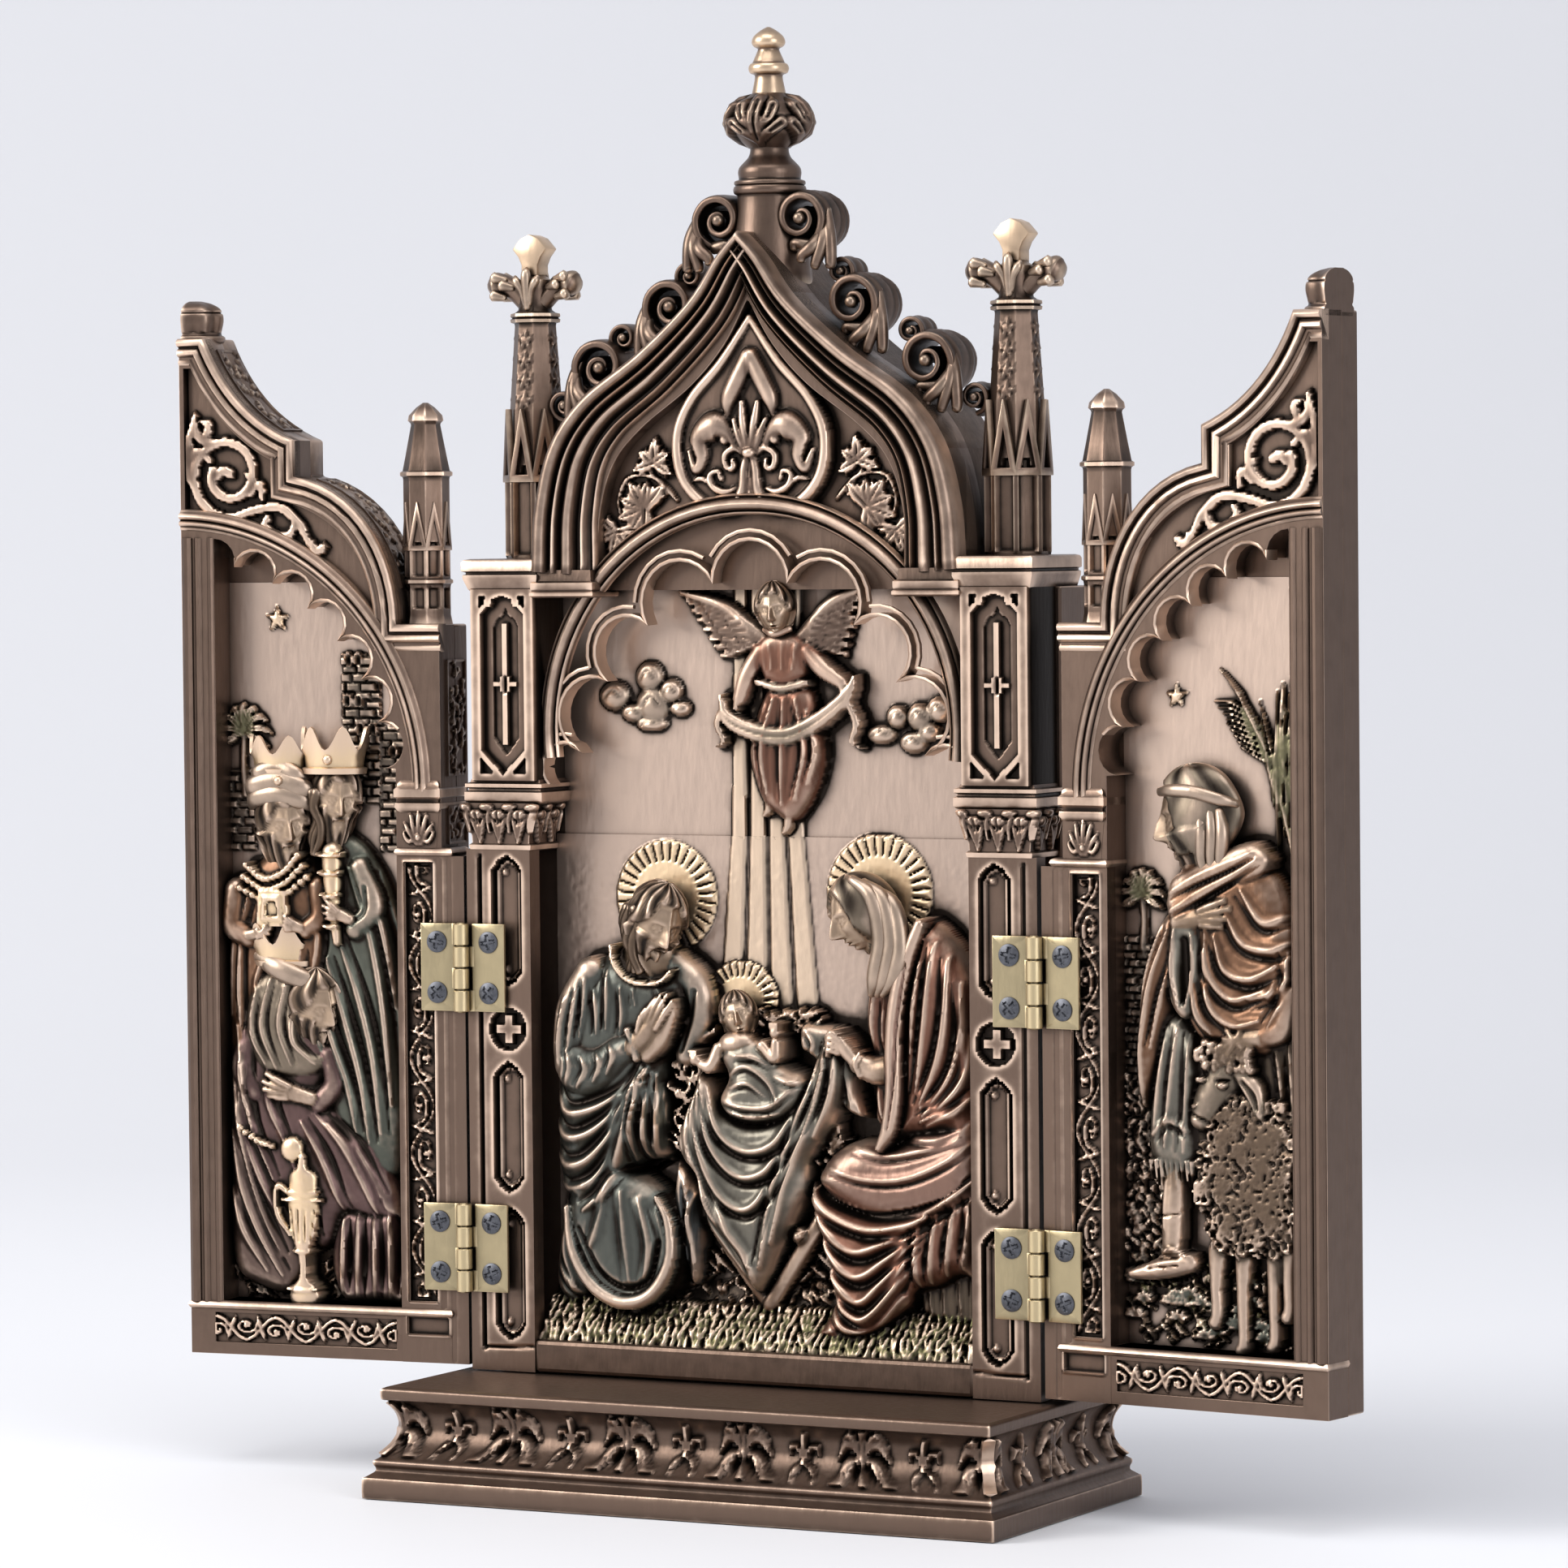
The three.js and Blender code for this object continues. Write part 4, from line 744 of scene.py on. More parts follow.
def greek_cross(field, x, z, radius, floor):
    """A round sinking with a cross standing in it."""
    near = field.window((x - radius, z - radius), (x + radius, z + radius))
    dx, dz = np.abs(field.x[near] - x), np.abs(field.z[near] - z)
    field.h[near] = np.where(np.hypot(dx, dz) < radius, floor, field.h[near])
    cross = (np.minimum(dx, dz) < radius * 0.24) & (np.maximum(dx, dz) < radius * 0.72)
    field.h[near] = np.where(cross, floor + 1.3, field.h[near])


def stile(side):
    """A lower stile: a plain border with a seam, and a row of pointed panels and crosses."""
    x0, x1 = sorted((side * STILE_EDGE, side * PANEL_HALF))
    field = Carving(x0, x1, PANEL_FOOT, STILE_TOP, 0.4, ground=3.5)
    middle = side * 55.3
    for low, high in ((29, 56), (59.2, 85.8), (101.4, 128)):
        lancet(field, middle, 3.5, low, high, 1.7)
    greek_cross(field, middle, 92.6, 4.2, 1.7)
    seam = side * 61.6
    field.fold([(seam, 27, 0.28, -1.4), (seam, 128, 0.28, -1.4)], steps=3)
    field.fold([(side * 50.2, 27.6, 0.2, -0.7), (seam, 27.2, 0.2, -0.7)], steps=3)
    name = "left_stile_tiles" if side < 0 else "right_stile_tiles"
    return field.mesh(name, from_plane(LEDGE), back=-0.5)


def from_plane(ground):
    """Places a carving's heights forward of a plane that faces the front."""
    return lambda x, z, h: np.stack([x, ground - h, z], axis=-1)


def pilaster_box(side):
    """The box over the capital: a tall traceried lancet with a little door of four panes."""
    x0, x1 = sorted((side * BOX_INNER, side * BOX_OUTER))
    x = (x0 + x1) / 2
    field = Carving(x0, x1, BOX_FOOT, BOX_TOP, 0.27, ground=LEDGE)
    deep = LEDGE - 1.6
    field.patch([(x - 5.1, 149.6), (x - 5.1, 177), (x - 3.9, 178.5), (x - 2.5, 178.9), (x - 2.2, 180.3),
                 (x, 181), (x + 2.2, 180.3), (x + 2.5, 178.9), (x + 3.9, 178.5), (x + 5.1, 177),
                 (x + 5.1, 149.6), (x + 1.6, 146.4), (x, 144.7), (x - 1.6, 146.4)], 9, 1, 0, smooth=False)
    field.h = np.where(field.last, deep, field.h)
    for end in (-1, 1):
        for corner in ([(end * 3.9, 180.9), (end * 5.3, 180.9), (end * 5.3, 178.6), (end * 4.3, 179.4)],
                       [(end * 5.2, 148), (end * 5.2, 145), (end * 2.4, 145)]):
            field.patch([(x + dx, z) for dx, z in corner], 9, 1, 0, smooth=False)
            field.h = np.where(field.last, deep + 0.3, field.h)
    field.patch([(x - 2.7, 152), (x - 2.7, 175), (x - 1.9, 176.4), (x - 0.7, 176.8), (x, 178.6),
                 (x + 0.7, 176.8), (x + 1.9, 176.4), (x + 2.7, 175), (x + 2.7, 152), (x, 148.6)],
                deep + 0.2, 1, 0, smooth=False)
    panes = field.last
    field.h = np.where(panes, deep - 0.6, field.h)
    bars = panes & ((np.abs(field.x - x) < 0.75) | (np.abs(field.z - 163) < 0.6)
                    | (np.maximum(np.abs(field.x - x) / 1.3, np.abs(field.z - 163) / 1.7) < 1))
    field.h = np.where(bars & (field.z < 175.6) & (field.z > 150.5), deep + 0.5, field.h)
    field.fold([(x, 161.6, 0.3, -0.9), (x, 164.4, 0.3, -0.9)], steps=3)
    field.h = np.minimum(field.h, LEDGE)
    for edge in (x0, x1):
        field.h = np.minimum(field.h, LEDGE - 1.2 + 2.4 * np.abs(field.x - edge))
    name = "left_pilaster_box" if side < 0 else "right_pilaster_box"
    return field.mesh(name, from_plane(LEDGE), back=-9)


def leaf_bell(x0, x1, depth, low, high, flare):
    """A capital's bell: two rows of curled leaves round three sides of a flaring block."""
    width, deep = x1 - x0, depth
    rows = Carving(0, width, low, high, 0.3)
    cheek = Carving(0, deep, low, high, 0.3)
    tall = high - low
    for field, span in ((rows, width), (cheek, deep)):
        count = max(2, round(span / 4.6))
        for k in range(count):
            x = span * (k + 0.5) / count
            for lean in (-1.5, 0, 1.5):
                field.roll([(x, low + 0.4, 0.35, 0.9), (x + lean * 0.5, low + tall * 0.4, 0.5, 1.1),
                            (x + lean * 1.1, low + tall * 0.72, 0.45, 1.0 - 0.2 * abs(lean))], steps=5,
                           soft=0.2)
            field.dome(x, low + tall * 0.72, 1.5, 1.1, 1.6, 1.0)
            field.fold([(x, low + tall * 0.5, 0.25, -0.5), (x, low + tall * 0.8, 0.25, -0.5)], steps=4)
        for k in range(count + 1):
            x = span * k / count
            field.roll([(x, low + tall * 0.3, 0.3, 0.8), (x, low + tall * 0.62, 0.5, 1.1),
                        (x + 0.8, low + tall * 0.9, 0.4, 1.1)], steps=5, soft=0.2)
            field.dome(x - 0.2, low + tall * 0.9, 1.3, 0.8, 1.4, 0.8)
    z = rows.z[:, 0]
    out = flare * ((z - low) / tall) ** 1.6
    columns = []

    def run(field, start, end, normal):
        for share, h in zip(np.linspace(0, 1, field.x.shape[1]), field.h.T):
            columns.append(np.stack([start[0] + (end[0] - start[0]) * share + normal[0] * h,
                                     start[1] + (end[1] - start[1]) * share + normal[1] * h, z], axis=1))

    left, right, front = x0 - out, x1 + out, 0.2 - 0.4 * out
    run(cheek, (left, front + deep), (left, front), (-1, 0))
    run(rows, (left, front), (right, front), (0, -1))
    run(cheek, (right, front), (right, front + deep), (1, 0))
    for share in np.linspace(0, 1, 6)[1:]:
        columns.append(np.stack([right + (left - right) * share, front + deep, z], axis=1))
    return close(skin("leaf_bell", np.array(columns).transpose(1, 0, 2)), turn=60)


def pilaster(side):
    left, right = sorted((side * BOX_INNER, side * BOX_OUTER))
    low_left, low_right = sorted((side * 49.9, side * 63.2))
    parts = [hoop("bell_ring", low_left, low_right, 0.4, 12,
                  [(129.0, -0.2), (129.3, 0.4), (130.2, 0.6), (130.6, 0.1)]),
             leaf_bell(low_left, low_right, 11, 130.4, 138.8, 1.5),
             hoop("abacus", left, right, 1.2, 14,
                  [(138.4, -0.2), (138.9, 0.9), (139.4, 1.3), (141.0, 1.3), (141.3, 0.7), (141.7, 0.6),
                   (142.0, 1.2), (142.7, 1.2), (143.0, 0.4), (143.6, 0.2)]),
             hoop("box_cap", left, right, 0.3, 22,
                  [(182.0, -0.3), (182.4, 0.1), (184.6, 0.9), (185.3, 0.9), (185.5, 0.4), (185.8, 0.4),
                   (186.1, 1.1), (187.9, 1.1), (188.4, 0.7), (CAP_TOP, -0.3)])]
    return merge("left_capital_and_cap" if side < 0 else "right_capital_and_cap", parts)


for side in (-1, 1):
    dress(stile(side), "shrine", panel_bronze)
    dress(pilaster_box(side), "shrine", panel_bronze)
    dress(rub(pilaster(side), strength=1.6, level=0.44), "shrine", panel_bronze)

sill = plate("niche_sill", [(-STILE_EDGE - 0.2, PANEL_FOOT), (STILE_EDGE + 0.2, PANEL_FOOT),
                            (STILE_EDGE + 0.2, 29.2), (-STILE_EDGE - 0.2, 29.2)], 0.15, BACK_FACE + 0.2,
             edge=0.9)
dress(rub(sill, strength=1.5, level=0.36), "shrine", panel_bronze)


def lobed_leaf(field, x, z, size, turn, points=5):
    """An ivy leaf: pointed lobes fanned about its stalk, each with a vein."""
    for k in range(points):
        a = turn + math.radians(-112 + 224 * k / (points - 1))
        reach = size * (1.0 if k % 2 == 0 else 0.86) * (1.1 if k == points // 2 else 1)
        tip = (x + reach * math.cos(a), z + reach * math.sin(a))
        wide = size * 0.2
        knee = (x + reach * 0.55 * math.cos(a), z + reach * 0.55 * math.sin(a))
        field.roll([(x, z, wide * 0.8, 1.5), (*knee, wide * 1.25, 1.7), (*tip, 0.12, 1.5)], flat=0.35,
                   steps=5)
        for notch in (-0.5, 0.5):
            side_tip = (knee[0] + size * 0.34 * math.cos(a + notch * 1.9),
                        knee[1] + size * 0.34 * math.sin(a + notch * 1.9))
            field.roll([(*knee, wide * 0.8, 1.6), (*side_tip, 0.12, 1.4)], flat=0.4, steps=4)
        field.fold([(x, z, 0.16, -0.5), (*tip, 0.12, -0.4)], steps=3)


def gable_field():
    """The sunk field between the ogee and the arch, with ivy and a medallion that holds a lily."""
    field = Carving(-36, 36, 182, 241, 0.36)
    for side in (-1, 1):
        turn = lambda degrees: math.radians(degrees if side > 0 else 180 - degrees)
        field.roll([(side * 18.2, 200.2, 0.5, 0.9), (side * 23, 204.6, 0.5, 1.1),
                    (side * 29, 204.8, 0.45, 1.1), (side * 31.4, 200.6, 0.4, 1.1),
                    (side * 30.8, 196, 0.35, 1.0)], steps=6)
        field.roll([(side * 20.4, 201.4, 0.4, 0.9), (side * 24.4, 206.4, 0.35, 1.1)], steps=4)
        field.roll([(side * 30, 204.4, 0.35, 0.9), (side * 27.6, 200.4, 0.3, 1.1)], steps=4)
        lobed_leaf(field, side * 23.2, 207.6, 4.9, turn(95))
        lobed_leaf(field, side * 25.2, 198.4, 6.6, turn(20), 7)
        lobed_leaf(field, side * 31.8, 193.8, 4.9, turn(-75))
    heart = curve([(0, 200.4), (4.6, 197.4), (11, 198.6), (16.4, 204.6), (17.2, 213.4), (13.6, 220.6),
                   (7, 227.4), (0, 236)], 6)
    ring = np.vstack([heart, (heart * (-1, 1))[::-1][1:-1]])
    field.patch(ring, 2.4, 0.5, 0.6, smooth=False)
    for side in (-1, 1):
        flip = lambda rows: [(side * x, *rest) for x, *rest in rows]
        field.roll(flip([(0, 236.4, 0.8, 3.4), (6.4, 227.6, 1.1, 3.7), (13.2, 220.4, 1.15, 3.8),
                         (16.6, 213, 1.2, 3.8), (15.6, 204.8, 1.2, 3.8), (10.6, 199.4, 1.2, 3.8),
                         (5, 198.6, 1.2, 3.9), (1.9, 201.6, 1.15, 4), (1.3, 206, 1.0, 4),
                         (0.5, 209.4, 0.8, 3.8)]), soft=0.2)
        field.roll(flip([(0.2, 228.6, 1.9, 4.4), (3, 223.6, 2.0, 4.5), (4.8, 220, 1.7, 4.3),
                         (5.2, 216.8, 0.5, 3.2)]), soft=0.6)
        field.roll(flip([(2.8, 210, 0.6, 3.4), (5, 213.4, 1.6, 4.3), (8, 214.8, 3.3, 5.0),
                         (11.4, 212.4, 2.4, 4.6), (11, 208.6, 1.6, 4.1), (12.4, 206.4, 1.2, 3.8),
                         (14, 209.8, 0.5, 3.2)]), soft=0.9)
        field.dome(side * 5.6, 212.2, 1.2, 1.2, 4.2, 1.2)
        field.roll(flip([(1, 209.6, 0.8, 3.8), (2.4, 213, 0.95, 4.2), (3.6, 216, 0.6, 3.6)]), soft=0.3)
        field.roll(flip([(0.4, 210.4, 0.8, 4.0), (1.2, 215, 0.95, 4.4), (1.8, 219.6, 0.5, 3.7)]), soft=0.3)
        field.roll(flip([(1.3, 209, 0.5, 3.4), (3.4, 210.4, 0.7, 3.9), (5.6, 209, 0.65, 3.9),
                         (5.3, 206.6, 0.6, 3.8), (3.8, 206.4, 0.6, 3.8), (3.8, 207.9, 0.5, 3.8)]),
                   steps=6)
        field.roll(flip([(3.6, 202.2, 0.5, 3.2), (6, 201.6, 0.75, 3.7), (8.6, 202.8, 0.75, 3.8),
                         (9.2, 205, 0.6, 3.6), (7.4, 205.8, 0.5, 3.5), (6.8, 204.2, 0.45, 3.4)]), steps=6)
        field.roll(flip([(8.6, 202.8, 0.4, 3.4), (11, 204.4, 0.6, 3.6), (13, 203.9, 0.3, 3.2)]), steps=5)
    field.dome(0, 209.4, 1.5, 1.1, 4.8, 1.2)
    field.roll([(0, 208, 0.5, 3.4), (0, 202.6, 0.7, 3.6)], steps=4)
    for lean in (-1.3, 0, 1.3):
        field.roll([(lean * 0.3, 203.6, 0.4, 3.4), (lean, 200.8, 0.5, 3.7)], steps=4)
    bound = np.interp(field.z, [182, 186, 199, 212, 221, 230, 241], [37, 37, 36, 34, 27, 14, 5])
    field.x = np.clip(field.x, -bound, bound)
    return field


field_piece = gable_field().mesh("gable_field", from_plane(FIELD), back=-5.4)
dress(close(field_piece, turn=60), "shrine", panel_bronze)

# ---------------------------------------------------------------- crockets, finial and pinnacles
# Cast with the panel and left darker than its rolls: scrolled leaves climb the gable's roof to
# a turned finial, and an eight-sided pinnacle with a leaf cross stands over each pilaster.
CROWN_DEPTH = 13.6
SCROLLS = [((9.2, 256.2), 5.4, 40), ((20.6, 239.2), 5.6, 20), ((37.0, 227.2), 5.7, 0)]
VOLUTES = [(17.2, 245.4), (32.6, 233.2), (46.6, 219.8)]
PINNACLE_X = 54.7
GILT = (0.68, 0.50, 0.34)


def limb(name, points, steps=5, sides=10, flat=1.0):
    """A rounded stem along a path: points are x, y, z and radius, and its ends are closed."""
    path = curve(points, steps)
    place, radius = path[:, :3], path[:, 3]
    run = np.gradient(place, axis=0)
    run /= np.linalg.norm(run, axis=1)[:, None]
    side = np.cross(run[0], (0.123, 0.992, 0.031))
    rows = []
    for k, (centre, ahead, r) in enumerate(zip(place, run, radius)):
        side = side - ahead * (side @ ahead)
        side /= np.linalg.norm(side)
        up = np.cross(ahead, side)
        a = np.linspace(0, 2 * math.pi, sides + 1)[:, None]
        ring = side * np.cos(a) * r + up * np.sin(a) * r * flat
        if k == 0:
            rows += [np.repeat([centre - ahead * r * 0.5], sides + 1, axis=0),
                     centre - ahead * r * 0.38 + ring * 0.65]
        rows.append(centre + ring)
        if k == len(place) - 1:
            rows += [centre + ahead * r * 0.38 + ring * 0.65,
                     np.repeat([centre + ahead * r * 0.5], sides + 1, axis=0)]
    return close(skin(name, np.array(rows)), turn=60)


def spun(name, profile, x, y, sides=40, shape=None, fine=3):
    """A turned form about an upright axis: profile is (height, radius) pairs, which shape can
    change with the angle and the height. Its ends are closed."""
    z, r = curve(profile, fine).T
    a = np.linspace(0, 2 * math.pi, sides + 1)
    angle, height = np.meshgrid(a, z)
    radius = np.repeat(r[:, None], sides + 1, axis=1)
    if shape:
        radius = shape(angle, height, radius)
    radius[:, -1] = radius[:, 0]
    points = np.stack([x + radius * np.cos(angle), y + radius * np.sin(angle), height], axis=-1)
    lid = np.repeat([[x, y, z[-1]]], sides + 1, axis=0)[None]
    foot = np.repeat([[x, y, z[0]]], sides + 1, axis=0)[None]
    return close(skin(name, np.concatenate([foot, points, lid])), turn=40)


def ribbon(name, path, y, ribs, ripple):
    """A band of leaf rolled up in the x-z plane: path is x, z, half depth and thickness, and its
    outer face is fluted along its length."""
    line = curve(path, 4)
    run = np.gradient(line[:, :2], axis=0)
    run /= np.linalg.norm(run, axis=1)[:, None]
    out = np.column_stack([run[:, 1], -run[:, 0]])
    a = np.linspace(0, 2 * math.pi, 33)
    across = np.sign(np.cos(a)) * np.abs(np.cos(a)) ** 0.7
    through = np.sign(np.sin(a)) * np.abs(np.sin(a)) ** 0.5
    flute = ripple * np.cos(math.pi * ribs * across) * np.clip(through, 0, 1)
    rows = []
    for k, ((x, z, half, thick), normal) in enumerate(zip(line, out)):
        stand = thick / 2 * through + flute * min(1, 4 * k / len(line))
        rows.append(np.stack([x + normal[0] * stand, y + half * across, z + normal[1] * stand], axis=1))
    for end, at in ((0, 0), (-1, len(rows))):
        centre = rows[end].mean(0)
        rows.insert(at, np.repeat([centre], len(a), axis=0))
    return close(skin(name, np.array(rows)), turn=70)


def scroll_path(x, z, radius, lean, side, turns=1.75, half=6.0, thick=2.3):
    """A leaf that rises on its outer side, rolls over the top and curls in to its eye."""
    path = []
    for share in np.linspace(0, 1, 16):
        angle = math.radians(-80 - lean + share * 360 * turns)
        reach = radius * (1 - share) ** 0.8 * (1 - 0.18 * share) + 0.7
        depth = half * np.interp(share, [0, 0.15, 0.5, 1], [0.6, 1, 0.95, 0.78])
        path.append((side * (x + reach * math.cos(angle)), z + reach * math.sin(angle), depth,
                     thick * (1 - 0.5 * share)))
    return path if side > 0 else [(px, pz, d, t) for px, pz, d, t in path]


def crocket(x, z, radius, lean, side):
    parts = [ribbon("scroll", scroll_path(x, z, radius, lean, side), CROWN_DEPTH, 4, 0.42)]
    tilt = math.radians(lean)
    for k, (start, drop, reach) in enumerate(((-20, 8.6, 0.5), (8, 9.4, 3.2), (34, 8.8, 6.0),
                                              (-48, 6.6, -2.2))):
        a = math.radians(start) - tilt * 0.4
        sx, sz = x + radius * math.cos(a), z + radius * math.sin(a)
        ex = x + reach + 1.0
        ez = z - drop - (reach * 0.2)
        front = CROWN_DEPTH - 6.4 + 0.8 * k
        parts.append(limb("flute", [(side * sx, front + 2, sz, 0.9),
                                    (side * (sx * 0.55 + ex * 0.45 + 0.6), front + 0.2,
                                     sz * 0.55 + ez * 0.45, 1.35),
                                    (side * ex, front - 0.2, ez + 1.2, 1.2),
                                    (side * (ex - 0.3), front - 0.3, ez, 0.95)], sides=8))
    for end in (-1, 1):
        parts.append(limb("eye", [(side * x, CROWN_DEPTH + end * 4, z, 1.3),
                                  (side * x, CROWN_DEPTH + end * 5.6, z, 1.15)], steps=2))
    return parts


crown_bronze = bronze("crown_bronze", bright=(0.62, 0.48, 0.36), rough=0.34)
gilt = bronze("gilt_bronze", bright=GILT, rough=0.3, grain=0.3)
leaves = []
for side in (-1, 1):
    for (x, z), radius, lean in SCROLLS:
        leaves += crocket(x, z, radius, lean, side)
    for x, z in VOLUTES:
        leaves.append(ribbon("volute", scroll_path(x, z, 2.5, 10, side, 1.5, 3.4, 1.3), CROWN_DEPTH, 2, 0.2))
        leaves.append(limb("volute_eye", [(side * x, CROWN_DEPTH - 3.3, z, 0.8),
                                          (side * x, CROWN_DEPTH + 3.3, z, 0.8)]))
crockets_piece = rub(merge("gable_crockets", leaves), strength=1.4, level=0.3)
dress(crockets_piece, "shrine", crown_bronze)


def foliage():
    """The finial's ball of leaves: four lobed leaves that spring from a collar and curl out."""
    girth = 2 * math.pi * 8
    field = Carving(0, girth, 270.6, 281.6, 0.3)
    base = lambda z: np.interp(z, [270.6, 271.6, 273.4, 275.4, 277.6, 279.6, 281.6],
                               [4.2, 5.3, 6.9, 7.6, 7.2, 6.0, 3.4])
    for k in range(5):
        for offset in (-girth, 0, girth):
            x = girth * k / 4 + girth * 0.02 + offset
            if not -12 < x < girth + 12:
                continue
            field.roll([(x, 271, 1.6, 1.0), (x, 274, 1.9, 2.0), (x - 0.2, 277, 1.4, 2.3),
                        (x + 0.5, 280.6, 1.9, 2.2)], soft=0.5)
            for end in (-1, 1):
                field.roll([(x, 274, 1.2, 1.7), (x + end * 2.6, 276.4, 1.1, 2.0),
                            (x + end * 3.6, 279, 1.5, 2.1)], soft=0.4)
                field.roll([(x, 272, 1.2, 1.3), (x + end * 3.0, 273.6, 1.1, 1.9),
                            (x + end * 5.2, 275.4, 1.4, 2.0)], soft=0.4)
                field.fold([(x + end * 2.6, 276.4, 0.3, -0.7), (x + end * 3.6, 278.8, 0.4, -0.8)], steps=4)
                field.fold([(x + end * 3.0, 273.6, 0.3, -0.6), (x + end * 5.0, 275.2, 0.4, -0.8)], steps=4)
            field.fold([(x, 272, 0.3, -0.6), (x, 276.6, 0.3, -0.7), (x + 0.4, 279.8, 0.4, -0.8)], steps=5)
    edge = np.minimum((field.z - 270.6) / 0.8, (281.6 - field.z) / 0.5)
    field.h *= np.clip(edge, 0, 1)
    field.h[:, -1] = field.h[:, 0]

    def place(x, z, h):
        a = x / 8 - math.pi / 2
        r = base(z) + h
        return np.stack([r * np.cos(a), CROWN_DEPTH + r * np.sin(a), z], axis=-1)

    return close(field.mesh("foliage", place), turn=60)


neck = spun("neck", [(243, 8.6), (250, 7.9), (256, 7.0), (260.6, 6.6), (261.2, 6.7), (261.5, 7.2),
                     (262.2, 7.4), (262.9, 7.2), (263.1, 6.9), (263.4, 7.2), (264.0, 7.1), (264.3, 6.3),
                     (264.9, 6.3), (265.8, 6.4), (266.8, 6.1), (267.8, 5.2), (268.8, 4.3), (270.0, 3.9),
                     (270.8, 4.0), (271.1, 4.5), (271.7, 4.5), (272.4, 3.0)], 0, CROWN_DEPTH, 48)
finial_piece = rub(merge("centre_finial", [neck, foliage()]), strength=1.6, level=0.38)
dress(finial_piece, "shrine", crown_bronze)
baluster = spun("gilt_baluster", [(279.6, 3.6), (281.6, 3.4), (283.6, 3.0), (285.0, 2.8), (285.4, 3.1),
                                  (285.7, 3.8), (286.6, 4.1), (287.4, 3.8), (287.7, 3.3), (288.6, 2.9),
                                  (290.2, 2.2), (290.6, 2.3), (291.0, 3.0), (291.8, 3.4), (293.0, 3.0),
                                  (294.2, 1.6), (294.9, 0.3)], 0, CROWN_DEPTH, 36)
dress(rub(baluster, strength=1.6, level=0.7), "shrine", gilt)

OCTANT = math.pi / 4
GABLET_FOOT, GABLET_TIP = 205.6, 219.2


def tracery(angle, height, radius):
    """Eight faces, each with a sunk light between rails, and stars up every other face."""
    face = np.round(angle / OCTANT)
    t = angle - face * OCTANT
    share = np.abs(np.tan(t)) / math.tan(OCTANT / 2)
    spire = np.interp(height, [GABLET_FOOT, 219, 236.6], [5.3, 5.0, 3.9])
    flat = np.where((height < GABLET_FOOT) | (height > 236.6), radius, spire)
    light = (share < 0.62 - 0.35 * np.clip((height - 203) / 3.6, 0,
                                           1) ** 2) & (height > 189.4) & (height < 207.6)
    rail = (np.abs(share - 0.72) < 0.1) & (height > 189) & (height < 204.6)
    out = flat - 0.8 * light + 0.3 * rail
    for level in (220.8, 224.9, 229.0, 233.2):
        u, v = t * 4.6, height - level
        star = 1.05 + 0.42 * np.cos(5 * np.arctan2(u, v))
        out = out + 0.8 * np.clip(1.4 - np.hypot(u, v) / star, 0, 0.6) * (face % 2 == 0)
    return out / np.where(height > 238.9, 1, np.cos(t))


def gablets(x, y, reach, foot, tip):
    """A steep little gable on each face of a shaft, open inside its frame."""
    half = reach * math.tan(OCTANT / 2) + 0.2
    rise = tip - foot
    edge = [(-half, foot), (half, foot), (half, foot + 0.07 * rise), (0.12, tip), (-0.12, tip),
            (-half, foot + 0.07 * rise)]
    light = [(-0.52 * half, foot + 0.1 * rise), (0.52 * half, foot + 0.1 * rise), (0, foot + 0.62 * rise)]
    parts = []
    for angle in np.arange(0, 2 * math.pi, OCTANT):
        piece = plate("gablet", edge, -reach - 0.25, -reach + 1.1, [light], edge=0.2)
        piece.data.transform(Matrix.Translation((x * MM, y * MM, 0)) @ Matrix.Rotation(angle, 4, "Z"))
        parts.append(piece)
    return parts


